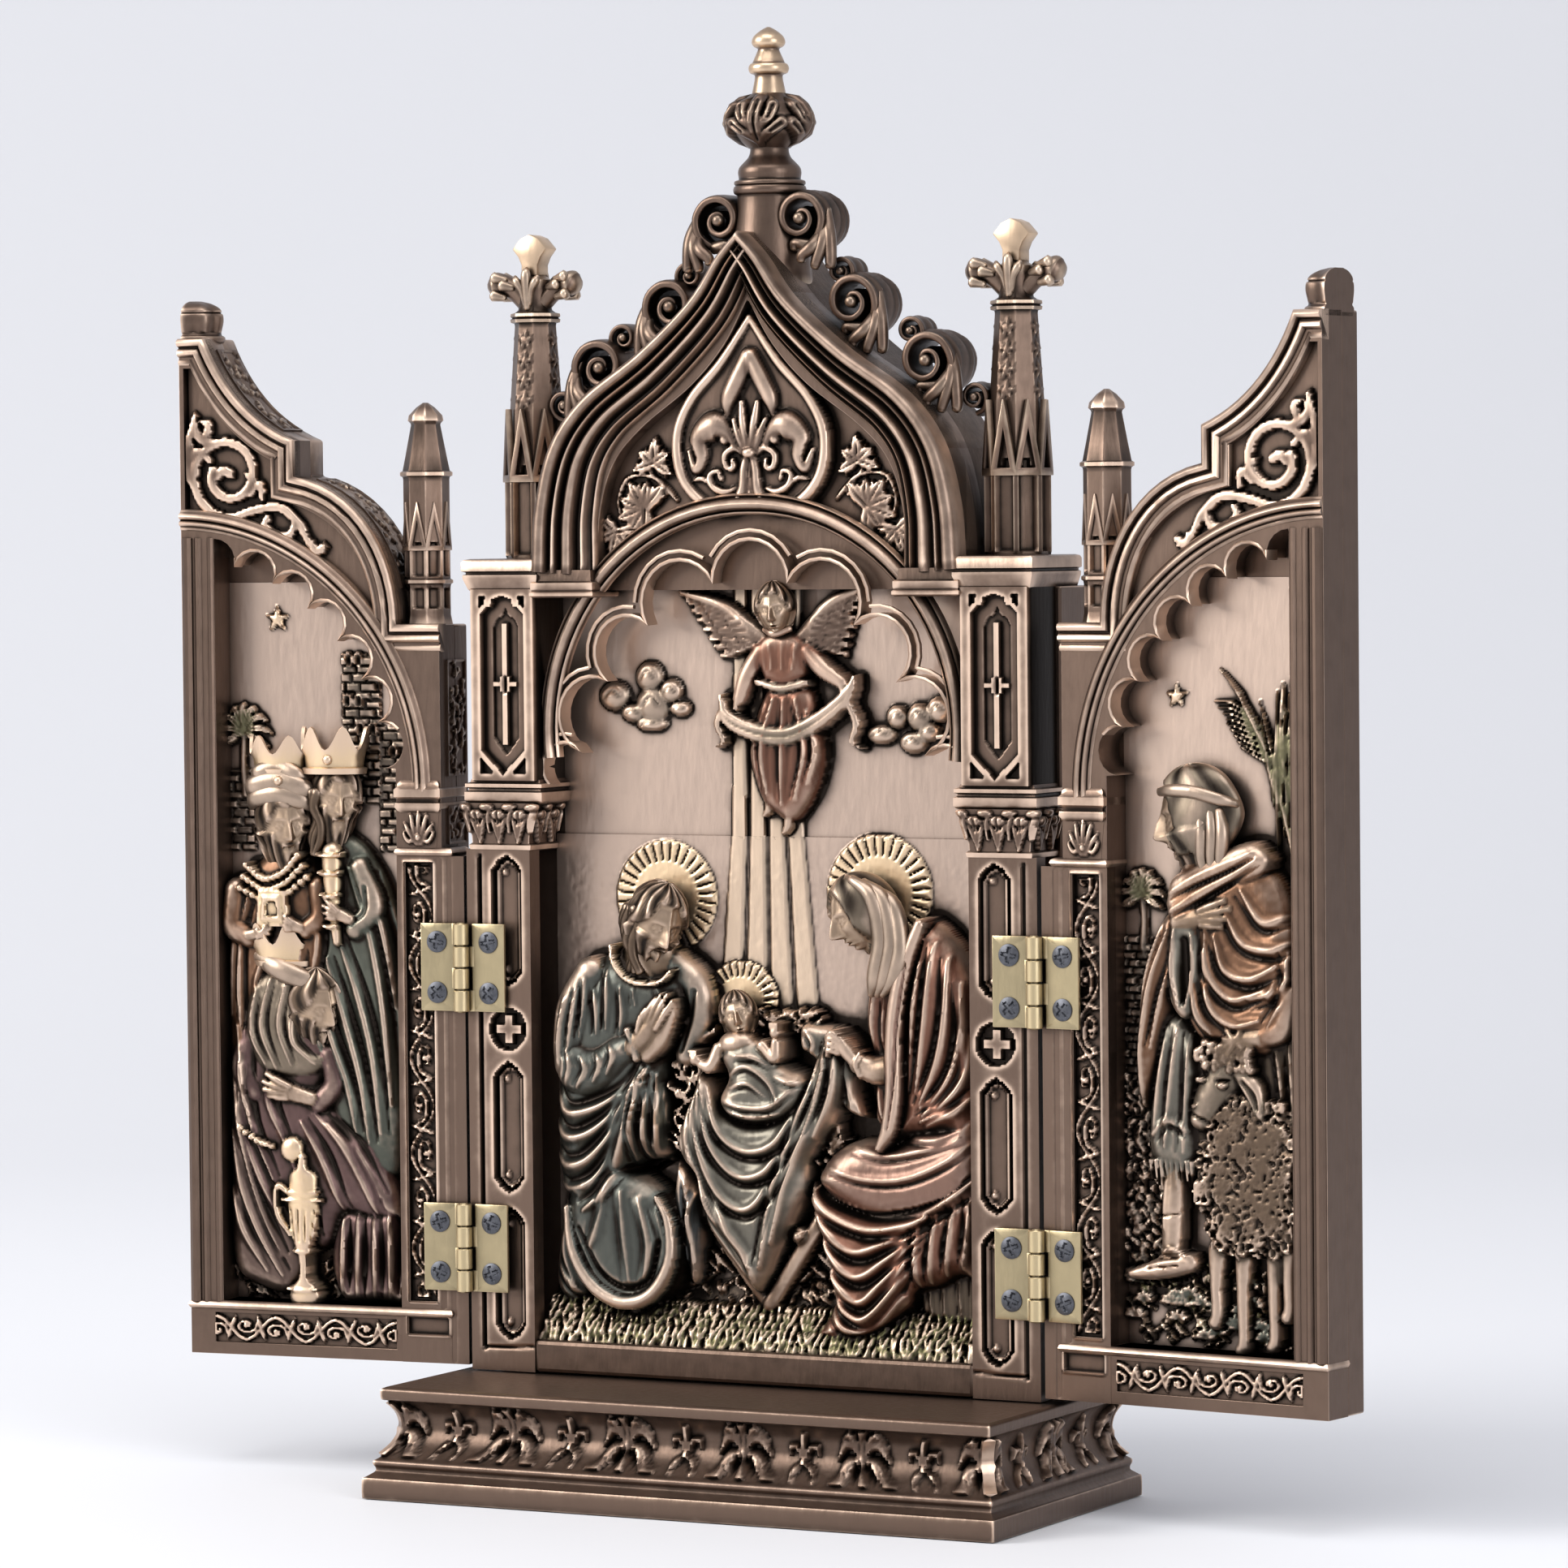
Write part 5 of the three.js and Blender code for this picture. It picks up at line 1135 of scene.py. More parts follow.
def pinnacle(side):
    x, y = side * PINNACLE_X, CROWN_DEPTH
    levels = [(z, 6.0) for z in np.arange(188.2, 236.6, 0.5)]
    rings = [(236.7, 4.0), (236.9, 4.7), (237.5, 4.8), (237.8, 4.4), (238.1, 4.8), (238.7, 4.7),
             (238.9, 3.9), (239.4, 3.5), (241.4, 3.1), (243.0, 3.3), (245.6, 3.4), (246.6, 2.0)]
    shaft = spun("shaft", levels + rings, x, y, 80, tracery, fine=1)
    parts = [shaft, *gablets(x, y, 6.3, GABLET_FOOT - 1.4, GABLET_TIP)]
    for end in (-1, 1):
        parts.append(limb("arm", [(x + end * 1.6, y, 240.6, 2.0), (x + end * 4.0, y, 243.0, 2.1),
                                  (x + end * 6.4, y, 244.4, 2.2), (x + end * 8.6, y, 244.6, 2.8),
                                  (x + end * 9.6, y, 244.4, 2.2)], sides=14))
        for lobe_z, reach in ((246.2, 8.4), (242.6, 8.6), (244.6, 6.6)):
            for depth in (-1, 1):
                parts.append(limb("lobe", [(x + end * (reach - 2.6), y + depth * 1.8, lobe_z - 0.6, 0.7),
                                           (x + end * reach, y + depth * 2.4, lobe_z, 1.25)], sides=8))
    for face in (-1, 1):
        front = y + face * 3.1
        parts.append(limb("lily", [(x, front, 239.6, 0.8), (x, front + face * 0.4, 243, 1.0),
                                   (x, front + face * 0.6, 246.6, 1.05),
                                   (x, front + face * 0.2, 248, 0.4)], sides=8))
        for end in (-1, 1):
            parts.append(limb("petal", [(x + end * 0.4, front, 240.4, 0.6),
                                        (x + end * 1.1, front + face * 0.4, 243.4, 0.8),
                                        (x + end * 2.2, front + face * 0.6, 245.2, 0.9),
                                        (x + end * 2.7, front + face * 0.4, 246.3, 0.4)], sides=8))
    cross = merge("left_pinnacle" if side < 0 else "right_pinnacle", parts)
    dress(rub(cross, strength=1.6, level=0.4), "shrine", crown_bronze)
    lozenge = [(x - 1.9, 246.4), (x + 1.9, 246.4), (x + 1.9, 248.6), (x + 2.6, 250.2), (x + 4.0, 251.9),
               (x + 2.0, 254.1), (x, 254.9), (x - 2.0, 254.1), (x - 4.0, 251.9), (x - 2.6, 250.2),
               (x - 1.9, 248.6)]
    head = plate("left_pinnacle_head" if side < 0 else "right_pinnacle_head", lozenge, y - 2.4, y + 2.4,
                 edge=0.35)
    dress(rub(head, strength=1.4, level=0.7), "shrine", gilt)


for side in (-1, 1):
    pinnacle(side)

# ---------------------------------------------------------------- the wings
# Two castings that mirror each other, drawn here as the right one: out from the hinge, back from
# its front face, and up. Each is a slab with a shallow scalloped niche, a stepped top with rolls,
# a vined hinge stile under a capital, a sunk frieze at the foot and half a finial.
AXIS_X, AXIS_Y = 64.9, -2.0
SWING = {-1: math.radians(5.3), 1: math.radians(7.3)}
WING_START, WING_FREE, WING_FOOT, WING_TOP, WING_DEEP, WING_FLOOR = 0.3, 64.4, 23.3, 234.8, 14.0, 7.5
NICHE_EAST, NICHE_WEST, NICHE_SILL = 56.8, 15.5, 34.5
ARCH_X, ARCH_Z, SCALLOP = 64.9, 142.0, 47.4
chance = np.random.default_rng(7)
SIDES = {-1: ("left", "left_door"), 1: ("right", "right_door")}


def hang(piece, side):
    """Moves a piece out of the right wing's own frame to its place on its side."""
    turn = Matrix.Rotation(-side * SWING[side], 4, "Z") @ Matrix.Diagonal((side, 1, 1, 1))
    piece.data.transform(Matrix.Translation((side * AXIS_X * MM, AXIS_Y * MM, 0)) @ turn
                         @ Matrix.Translation((0, -AXIS_Y * MM, 0)))
    if side < 0:
        piece.data.flip_normals()
    return piece


def bezier(*points, steps=14):
    """A Bezier curve of any order through its end points."""
    points, t = np.array(points, float), np.linspace(0, 1, steps)[:, None]
    order = len(points) - 1
    return sum(math.comb(order, k) * t ** k * (1 - t) ** (order - k) * points[k] for k in range(order + 1))


def wing_top():
    swell = bezier((14.6, 176.5), (15, 190), (23, 203.4), (37.8, 206))
    sweep_up = bezier((37.8, 213.4), (52, 219), (58.4, WING_TOP))
    return np.vstack([swell, sweep_up])


def ring(radius, start, end, steps):
    """Part of a circle about the wing arch's centre, between two angles in degrees."""
    a = np.radians(np.linspace(start, end, steps))
    return np.column_stack([ARCH_X + radius * np.cos(a), ARCH_Z + radius * np.sin(a)])


def scallops():
    """The scalloped top of the niche, from the hinge side to the free side."""
    feet = ring(SCALLOP, 175.4, 94.2, 8)
    edge = []
    for (ax, az), (bx, bz) in zip(feet, feet[1:]):
        half = math.hypot(bx - ax, bz - az) / 2
        away = math.atan2(az - bz, ax - bx)
        for a in np.linspace(0, math.pi, 9, endpoint=False):
            edge.append(((ax + bx) / 2 + half * math.cos(away - a),
                         (az + bz) / 2 + half * math.sin(away - a)))
    return np.array(edge + [feet[-1]])


def vine(field, start, end, half, bays, crest=0.9, thick=0.36):
    """A running scroll: a stem that waves along a line, with a curl and a bud in every wave."""
    start, end = np.array(start, float), np.array(end, float)
    long = np.linalg.norm(end - start)
    ahead = (end - start) / long
    aside = np.array([-ahead[1], ahead[0]])
    pitch = long / bays

    def at(s, t, *rest):
        return (*(start + ahead * s + aside * t), *rest)

    field.roll([at(s, half * 0.86 * math.cos(math.pi * s / pitch), thick, crest)
                for s in np.linspace(0, long, bays * 4 + 1)], steps=4)
    for k in range(bays + 1):
        flip = (-1) ** k
        curl = []
        for share in np.linspace(0, 1, 8):
            a, r = math.radians(200 - 400 * share), (1 - 0.72 * share)
            s = np.clip(pitch * k + pitch * 0.40 * r * math.cos(a), 0, long)
            curl.append(at(s, flip * (-half * 0.2 + half * 0.62 * r * math.sin(a)),
                           thick * (1 - 0.3 * share), crest))
        field.roll(curl, steps=4)
        if 0 < k < bays:
            field.dome(*at(pitch * k, -flip * half * 0.2), 0.62, 0.62, crest + 0.2, 0.6)
        for end_s in (-0.5, 0.5):
            s = pitch * (k + end_s)
            if 0 < s < long:
                field.roll([at(s, flip * 0.1, thick, crest), at(s + end_s, flip * half * 0.5, thick * 1.3,
                                                                crest),
                            at(s + end_s * 1.8, flip * half * 0.92, 0.12, crest - 0.3)], steps=4)


def leafage(field, count, crest):
    """Crowded little leaves, each a pair of strokes about a rib."""
    west, east, south, north = field.x.min(), field.x.max(), field.z.min(), field.z.max()
    for _ in range(count):
        x, z, a = chance.uniform(west, east), chance.uniform(south, north), chance.uniform(0, 2 * math.pi)
        for lean in (-0.7, 0, 0.7):
            reach = 1.9 - abs(lean)
            field.roll([(x, z, 0.4, crest * 0.7), (x + reach * 0.6 * math.cos(a + lean),
                                                   z + reach * 0.6 * math.sin(a + lean), 0.5, crest),
                        (x + reach * math.cos(a + lean * 1.4), z + reach * math.sin(a + lean * 1.4), 0.15,
                         crest * 0.6)], steps=3)


def edge_strip(name, path):
    """A band of leafage let into the wing's narrow side, along a path from one end to another."""
    path = np.array(path, float)
    step = np.linalg.norm(np.diff(path, axis=0), axis=1)
    along = np.concatenate([[0], np.cumsum(step)])
    field = Carving(0, along[-1], 3.6, 12.4, 0.42)
    leafage(field, int(along[-1] * 2.2), 0.8)
    edge = np.minimum(np.minimum(field.x, along[-1] - field.x), np.minimum(field.z - 3.6, 12.4 - field.z))
    field.h = np.where(edge < 0.5, 0.35, field.h - 0.25)
    run = np.gradient(path, axis=0)
    run /= np.linalg.norm(run, axis=1)[:, None]

    def place(x, z, h):
        u, v = np.interp(x, along, path[:, 0]), np.interp(x, along, path[:, 1])
        du, dv = np.interp(x, along, run[:, 0]), np.interp(x, along, run[:, 1])
        return np.stack([u - dv * h, z, v + du * h], axis=-1)

    return close(field.mesh(name, place, back=-1.4), turn=60)


def lights(angle, height, radius):
    """Eight faces with two rows of sunk, round-headed lights."""
    face = np.round(angle / OCTANT)
    t = angle - face * OCTANT
    share = np.abs(np.tan(t)) / math.tan(OCTANT / 2)
    round_top = 0.6 - 0.4 * np.clip((height - 189.4) / 2.6, 0, 1) ** 2
    rows = ((height > 178.4) & (height < 182.6)) | ((height > 185.2) & (height < 192))
    light = (share < round_top) & rows
    return (radius - 0.7 * light) / np.cos(t)


def half_finial():
    lobes = lambda angle, height, radius: radius * (1 + 0.05 * np.cos(8 * angle) * (height > 236)
                                                    * (height < 242.4))
    bud = spun("half_finial", [(233.6, 6.2), (234.4, 6.9), (235.2, 6.9), (235.7, 6.2), (236.6, 6.3),
                               (238.4, 6.7), (239.8, 6.6), (240.2, 6.1), (240.6, 6.3), (241.4, 5.6),
                               (242.2, 4.0), (242.7, 2.0)], 0, 0, 64, lobes)
    place = np.empty(len(bud.data.vertices) * 3, np.float32)
    bud.data.vertices.foreach_get("co", place)
    place = place.reshape(-1, 3)
    place[:, 0] = np.minimum(place[:, 0], 0) + WING_FREE * MM
    place[:, 1] = 0.8 * place[:, 1] + 7 * MM
    bud.data.vertices.foreach_set("co", place.ravel())
    return close(bud, turn=40)


def wing_frame():
    """Everything of a wing's frame that is cast as one with its slab."""
    top = wing_top()
    outline = [(WING_START, WING_FOOT), (WING_FREE, WING_FOOT), (WING_FREE, WING_TOP), *top[::-1],
               (14.6, 175.2), (5.3, 175.2), (5.3, 127.8), (WING_START, 127.8)]
    niche = [(NICHE_WEST, NICHE_SILL), (NICHE_EAST, NICHE_SILL),
             *[(min(x, NICHE_EAST), z) for x, z in scallops()[::-1]], (NICHE_WEST, 145.6)]
    inner = [(x, z) for x, z in bezier((19.6, 176), (20.4, 188), (27, 198.4), (43.4, 201.6))]
    inner += [(43.4, 209.4)] + [(x, z) for x, z in bezier((43.4, 209.4), (55, 215), (61.6, 228.6))]
    spandrel = inner + [(63.4, 228.6), (63.4, 197)] + list(ring(55.4, 96, 146, 20))
    sunk = [[(west, low), (east, low), (east, high), (west, high)] for west, east, low, high in
            ((7.4, 13.6, 36, 126.4), (4.8, 14, 29.2, 32.6), (16.8, 58.7, 25.8, 32.0))]
    parts = [plate("wing_back", outline, WING_FLOOR, WING_DEEP, edge=0.5),
             plate("wing_front", outline, 0.35, WING_FLOOR + 0.3, [niche, spandrel, *sunk], edge=0.3)]
    rolls = [(0, 3), (0, 0.0), (0.3, -0.6), (0.9, -0.88), (1.5, -0.6), (1.75, 0.1), (1.95, 0.4),
             (2.15, 0.0), (2.7, -0.55), (3.3, -0.55), (3.75, 0.0), (3.95, 0.6), (4.2, 0.5), (4.9, 0.1),
             (5.5, 0.3), (5.8, 0.9), (5.8, 3)]
    parts.append(sweep("top_rolls", [(5.0, 175.4), (14.6, 175.4), *top, (WING_FREE, WING_TOP)], rolls))
    double = [(-2.3, 2), (-2.2, 0.4), (-1.9, 0.0), (-1.5, -0.2), (-1.2, -0.7), (-0.7, -0.88),
              (-0.2, -0.6), (0.0, 0.1), (0.25, -0.4), (0.7, -0.7), (1.15, -0.5), (1.4, 0.1), (1.7, 0.0),
              (2.1, 0.2), (2.3, 0.6), (2.3, 2)]
    parts.append(sweep("arch_rolls", ring(55.2, 181.0, 90.6, 50), double))
    uprights = [(0, 3), (0, 0.3), (0.4, -0.1), (1.0, -0.2), (1.4, 0.3), (1.7, 0.9), (2.5, 0.9),
                (2.7, 0.3), (3.2, -0.3), (3.8, -0.3), (4.3, 0.2), (4.6, 0.8), (4.9, 0.0), (5.5, -0.7),
                (6.2, -0.8), (6.9, -0.3), (7.3, 0.6), (7.4, 3)]
    parts.append(sweep("uprights", [(57.0, 34.2), (57.0, 110), (57.0, 193.4)], uprights))
    parts.append(sweep("niche_lip", [(p[0], p[1]) for p in scallops()[6:-8]],
                       [(-0.45, 4), (-0.5, 0.3), (-0.2, 0.0), (0.15, 0.3), (0.2, 4)]))
    for low in (NICHE_SILL - 1.9, 127.6):
        parts.append(hoop("ledge", NICHE_WEST - 12 if low > 100 else 4.6, NICHE_WEST - 0.6 if low > 100
                          else 63.8, 0.5, 8, [(low, 0), (low + 0.3, 0.6), (low + 0.9, 0.9),
                                              (low + 1.5, 0.7), (low + 1.9, 0.1)]))
    parts.append(hoop("capital_top", 5.9, 14.6, 0.1, 12,
                      [(136.4, -0.6), (137.0, 0.3), (137.8, 0.8), (138.6, 0.7), (138.9, 0.2),
                       (139.4, 0.3), (139.9, 0.9), (141.4, 0.9), (141.9, 0.4), (142.6, 0.3),
                       (143.4, -0.3)]))
    parts.append(spun("small_pinnacle", [(174.6, 4.9), *[(z, 4.4) for z in np.arange(177.2, 183.2, 0.4)],
                                         (183.4, 4.5), (183.7, 4.9), (184.3, 4.9), (184.6, 4.4),
                                         *[(z, 4.4) for z in np.arange(185, 205.2, 0.4)], (205.5, 4.5),
                                         (205.8, 5.0), (206.5, 5.0), (206.8, 4.5), (210, 3.9),
                                         (216.2, 2.8), (216.6, 2.9), (217.1, 3.4), (218.2, 3.2),
                                         (219.8, 1.8), (220.8, 0.5)], 11.4, 8, 64, lights, fine=1))
    parts += gablets(11.4, 8, 4.5, 190.4, 200.4)
    parts.append(half_finial())
    return rub(merge("wing_frame", parts), strength=1.6, level=0.45)


def hinge_stile():
    """The stile beside the hinge: a vine in a sunk panel, a small panel at its foot, a plain edge."""
    field = Carving(WING_START, NICHE_WEST, WING_FOOT, 127.8, 0.4, ground=0.0)
    for west, east, low, high, deep in ((7.4, 13.6, 36, 126.4, 1.2), (4.8, 14, 29.2, 32.6, 0.8)):
        near = field.window((west, low), (east, high))
        field.h[near] = -deep
        around = field.window((west - 0.6, low - 0.6), (east + 0.6, high + 0.6))
        edge = np.abs(field.x[around] - np.clip(field.x[around], west, east)) \
            + np.abs(field.z[around] - np.clip(field.z[around], low, high))
        field.h[around] += np.where(edge > 0, 0.35 * np.sin(np.minimum(edge / 0.6, 1) * math.pi), 0)
    ground = field.h.copy()
    field.h[:] = -1.2
    vine(field, (10.5, 37), (10.5, 125.4), 3.1, 9, crest=-0.2)
    field.h = np.maximum(ground, field.h)
    field.fold([(5.9, 35, 0.3, -0.8), (5.9, 127, 0.3, -0.8)], steps=3)
    field.fold([(3.6, 24, 0.22, -0.5), (3.6, 127, 0.22, -0.5)], steps=3)
    return field.mesh("hinge_stile", from_plane(0.3), back=-3)


def wing_carvings():
    """The foot's frieze, the capital's front and the spandrel's scroll."""
    frieze_field = Carving(16.5, 59, 25.6, 32.2, 0.3)
    vine(frieze_field, (17, 28.9), (58.5, 28.9), 2.7, 6, crest=1.0, thick=0.42)
    parts = [frieze_field.mesh("foot_frieze", from_plane(1.1), back=-2)]
    bell = Carving(5.7, 14.9, 129.2, 137.2, 0.28)
    for lean, tall in ((-2.9, 4.2), (-1.6, 6.0), (0, 6.8), (1.6, 6.0), (2.9, 4.2)):
        bell.roll([(10.3 + lean * 0.25, 130.2, 0.4, 0.5), (10.3 + lean * 0.8, 130.2 + tall * 0.6, 0.65, 0.9),
                   (10.3 + lean * 1.15, 130.2 + tall, 0.3, 0.6)], steps=5)
    for end in (-1, 1):
        bell.roll([(10.3 + end * 0.6, 131.2, 0.35, 0.6), (10.3 + end * 2.6, 130.8, 0.5, 0.9),
                   (10.3 + end * 3.6, 132.4, 0.35, 0.8), (10.3 + end * 2.8, 133.2, 0.2, 0.6)], steps=5)
    bell.dome(10.3, 131.6, 0.8, 0.8, 1.2, 0.7)
    bell.x = 10.3 + (bell.x - 10.3) * (0.84 + 0.16 * (bell.z - 129.2) / 8)
    parts.append(bell.mesh("capital_front", from_plane(0.3), back=-4))
    scroll = Carving(14, 63, 142.6, 229.6, 0.44)
    wide, thin = 1.05, 0.7
    spiral = [(53.6 + (9.2 - 5.6 * s) * math.cos(math.radians(235 + 500 * s)),
               206.4 + (9.2 - 5.6 * s) * math.sin(math.radians(235 + 500 * s)), wide, 1.6)
              for s in np.linspace(0, 1, 20)]
    for line in ([(32, 190.2, 0.4, 1.5), (34.6, 191.6, thin, 1.5), (37.6, 196.6, wide, 1.6),
                  (42, 199.6, wide, 1.6), *spiral], [(41.6, 199.6, thin, 1.5), (38.4, 196.8, thin, 1.6),
                                                     (39.4, 193.9, wide, 1.6), (42.4, 193.6, wide, 1.6),
                                                     (45, 195.8, wide, 1.6), (44.4, 197.6, thin, 1.5)],
                 [(31.6, 191.4, 0.9, 1.5), (33.6, 190.4, wide, 1.6), (34.4, 192.4, thin, 1.5)],
                 [(60.2, 201.8, wide, 1.6), (63, 208, wide, 1.6), (62.4, 213.4, wide, 1.6),
                  (61, 218.6, thin, 1.5)], [(48.4, 202.4, thin, 1.5), (46.2, 204.2, wide, 1.6),
                                            (45.6, 201.6, thin, 1.5)],
                 [(49, 204.4, thin, 1.5), (48, 205.4, wide, 1.6), (49.6, 206.8, 0.4, 1.5)],
                 [(54, 213.6, thin, 1.5), (57.6, 213, wide, 1.6), (60.6, 214.8, wide, 1.6),
                  (61.2, 217.2, thin, 1.5)], [(57.6, 209.4, thin, 1.5), (60.4, 211.4, wide, 1.6),
                                              (61.6, 210, thin, 1.5)],
                 [(58.8, 213.4, thin, 1.5), (58, 216.6, wide, 1.6), (59.6, 217.6, 0.4, 1.5)],
                 [(60.8, 217, thin, 1.5), (61.4, 219.4, 0.2, 1.4)],
                 [(53, 206.6, 1.0, 1.5), (54.8, 207.2, 1.3, 1.6), (56.2, 205.8, 0.8, 1.5)]):
        scroll.roll(line, flat=0.3, steps=5)
    inner = np.vstack([bezier((17.6, 172), (18.4, 188), (25, 200), (41.4, 203.4)), [(41.4, 211)],
                       bezier((41.6, 211), (54, 216.6), (60.4, 230))])
    z = scroll.z[:, 0]
    west = np.interp(z, inner[:, 1], inner[:, 0])
    west = np.where(z < 172, np.interp(z, [142, 172], [5.6, 5.8]), west)
    east = np.where(z < ARCH_Z + 54, ARCH_X - np.sqrt(np.maximum(54.2 ** 2 - (z - ARCH_Z) ** 2, 0)), 63.6)
    east = np.maximum(east, west + 0.4)
    outside = (scroll.x < west[:, None]) | (scroll.x > east[:, None])
    scroll.h[outside] = 0
    scroll.x = np.clip(scroll.x, west[:, None], east[:, None])
    parts.append(close(scroll.mesh("spandrel_scroll", from_plane(2.0), back=-3), turn=60))
    return parts


for side, (word, body) in SIDES.items():
    wing_piece = hang(wing_frame(), side)
    wing_piece.name = wing_piece.data.name = f"{word}_wing_frame"
    dress(wing_piece, body, panel_bronze)
    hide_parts(f"{word}_wing")
    carved = merge(f"{word}_wing_ornament", [hinge_stile(), *wing_carvings()])
    dress(hang(carved, side), body, panel_bronze)
    top = wing_top()
    strips = [edge_strip("strip", top[2:13]), edge_strip("strip", top[16:27]),
              edge_strip("strip", [(5.3, 130), (5.3, 138)]), edge_strip("strip", [(5.3, 144), (5.3, 168)])]
    dress(hang(merge(f"{word}_edge_leafage", strips), side), body, crown_bronze)

# ---------------------------------------------------------------- the nativity
# High relief cast with the panel: a man and a woman kneel on grass at either side of a child,
# who lies on a cloth over a manger of straw. Robes and grass are washed with thin colour.

NICHE_HALF, NICHE_BOTTOM, RELIEF_TOP = 49.75, 27.0, 132.2
SKIN = (0.190, 0.131, 0.088)
HAIR = (0.112, 0.077, 0.053)
TEAL = (0.085, 0.088, 0.076)
BLUE = (0.078, 0.085, 0.086)
COPPER = (0.172, 0.082, 0.055)
ROSE = (0.216, 0.129, 0.098)
SILVER = (0.151, 0.137, 0.111)
VEIL = (0.174, 0.137, 0.101)
RAY = (0.600, 0.460, 0.340)
STRAW = (0.122, 0.076, 0.050)
GRASS = (0.089, 0.082, 0.038)
GOLD = (0.740, 0.550, 0.350)
SKY = (0.460, 0.350, 0.285)
EARTH = (0.096, 0.071, 0.050)



def halo(field, x, z, radius, rays, crest=1.3):
    """A flat disc cut into rays by a ring of short furrows."""
    ring = [(x + radius * math.cos(a), z + radius * math.sin(a))
            for a in np.linspace(0, 2 * math.pi, 40)[:-1]]
    field.patch(ring, crest, 0.6, 0.7, GOLD, smooth=False)
    for k in range(rays):
        a = 2 * math.pi * (k + 0.5) / rays
        inner, outer = radius * 0.66, radius * 0.96
        field.fold([(x + inner * math.cos(a), z + inner * math.sin(a), 0.2, -0.7),
                    (x + outer * math.cos(a), z + outer * math.sin(a), 0.22, -0.7)], steps=2, tint=HAIR)


def strokes(field, count, west, east, south, north, step, half, crest, tint):
    """Straw, hay or rough growth: short bent strokes scattered over a patch of ground."""
    for _ in range(count):
        x, z = chance.uniform(west, east), chance.uniform(south, north)
        dx, dz = chance.uniform(-1, 1) * step[0], chance.uniform(0.5, 1) * step[1]
        bow = chance.uniform(-0.5, 0.5) * abs(dz)
        top = crest(x, z) if callable(crest) else crest
        field.roll([(x, z, half * 0.6, top - 0.2), (x + dx / 2 + bow, z + dz / 2, half, top + 0.35),
                    (x + dx, z + dz, half * 0.3, top - 0.3)], tint, steps=4, soft=0.2)


def blades(field, west, east, rows, slope, tint):
    """Grass that leans out over the lip in overlapping rows, each blade a bent stroke."""
    for z in rows:
        x = west + chance.uniform(0, 1.2)
        while x < east:
            lean, long = chance.uniform(-2.2, 2.2), chance.uniform(3.4, 5.6)
            top = slope(z)
            field.roll([(x, z, 0.4, top + 0.3), (x + lean * 0.5, z - long * 0.45, 0.62, top + 1.2),
                        (x + lean, z - long, 0.22, top + 0.4)], tint, steps=5, soft=0.1)
            x += chance.uniform(1.0, 1.9)


def folds(field, on, lines, half=1.1, high=1.0, lean=0.75):
    """Ridges of cloth along lines, thinning out at both ends, each with a furrow beside it."""
    for line in lines:
        path = np.array(line, float)
        share = np.linspace(0, 1, len(path))
        grow = 0.45 + 0.55 * np.sin(np.pi * share) ** 0.7
        field.fold(np.column_stack([path, half * grow, high * grow]), on, lean)
        run = np.gradient(path, axis=0)
        run /= np.linalg.norm(run, axis=1)[:, None]
        beside = path + np.column_stack([run[:, 1], -run[:, 0]]) * half * 1.5
        field.fold(np.column_stack([beside, half * 0.55 * grow, -0.75 * high * grow]), on)


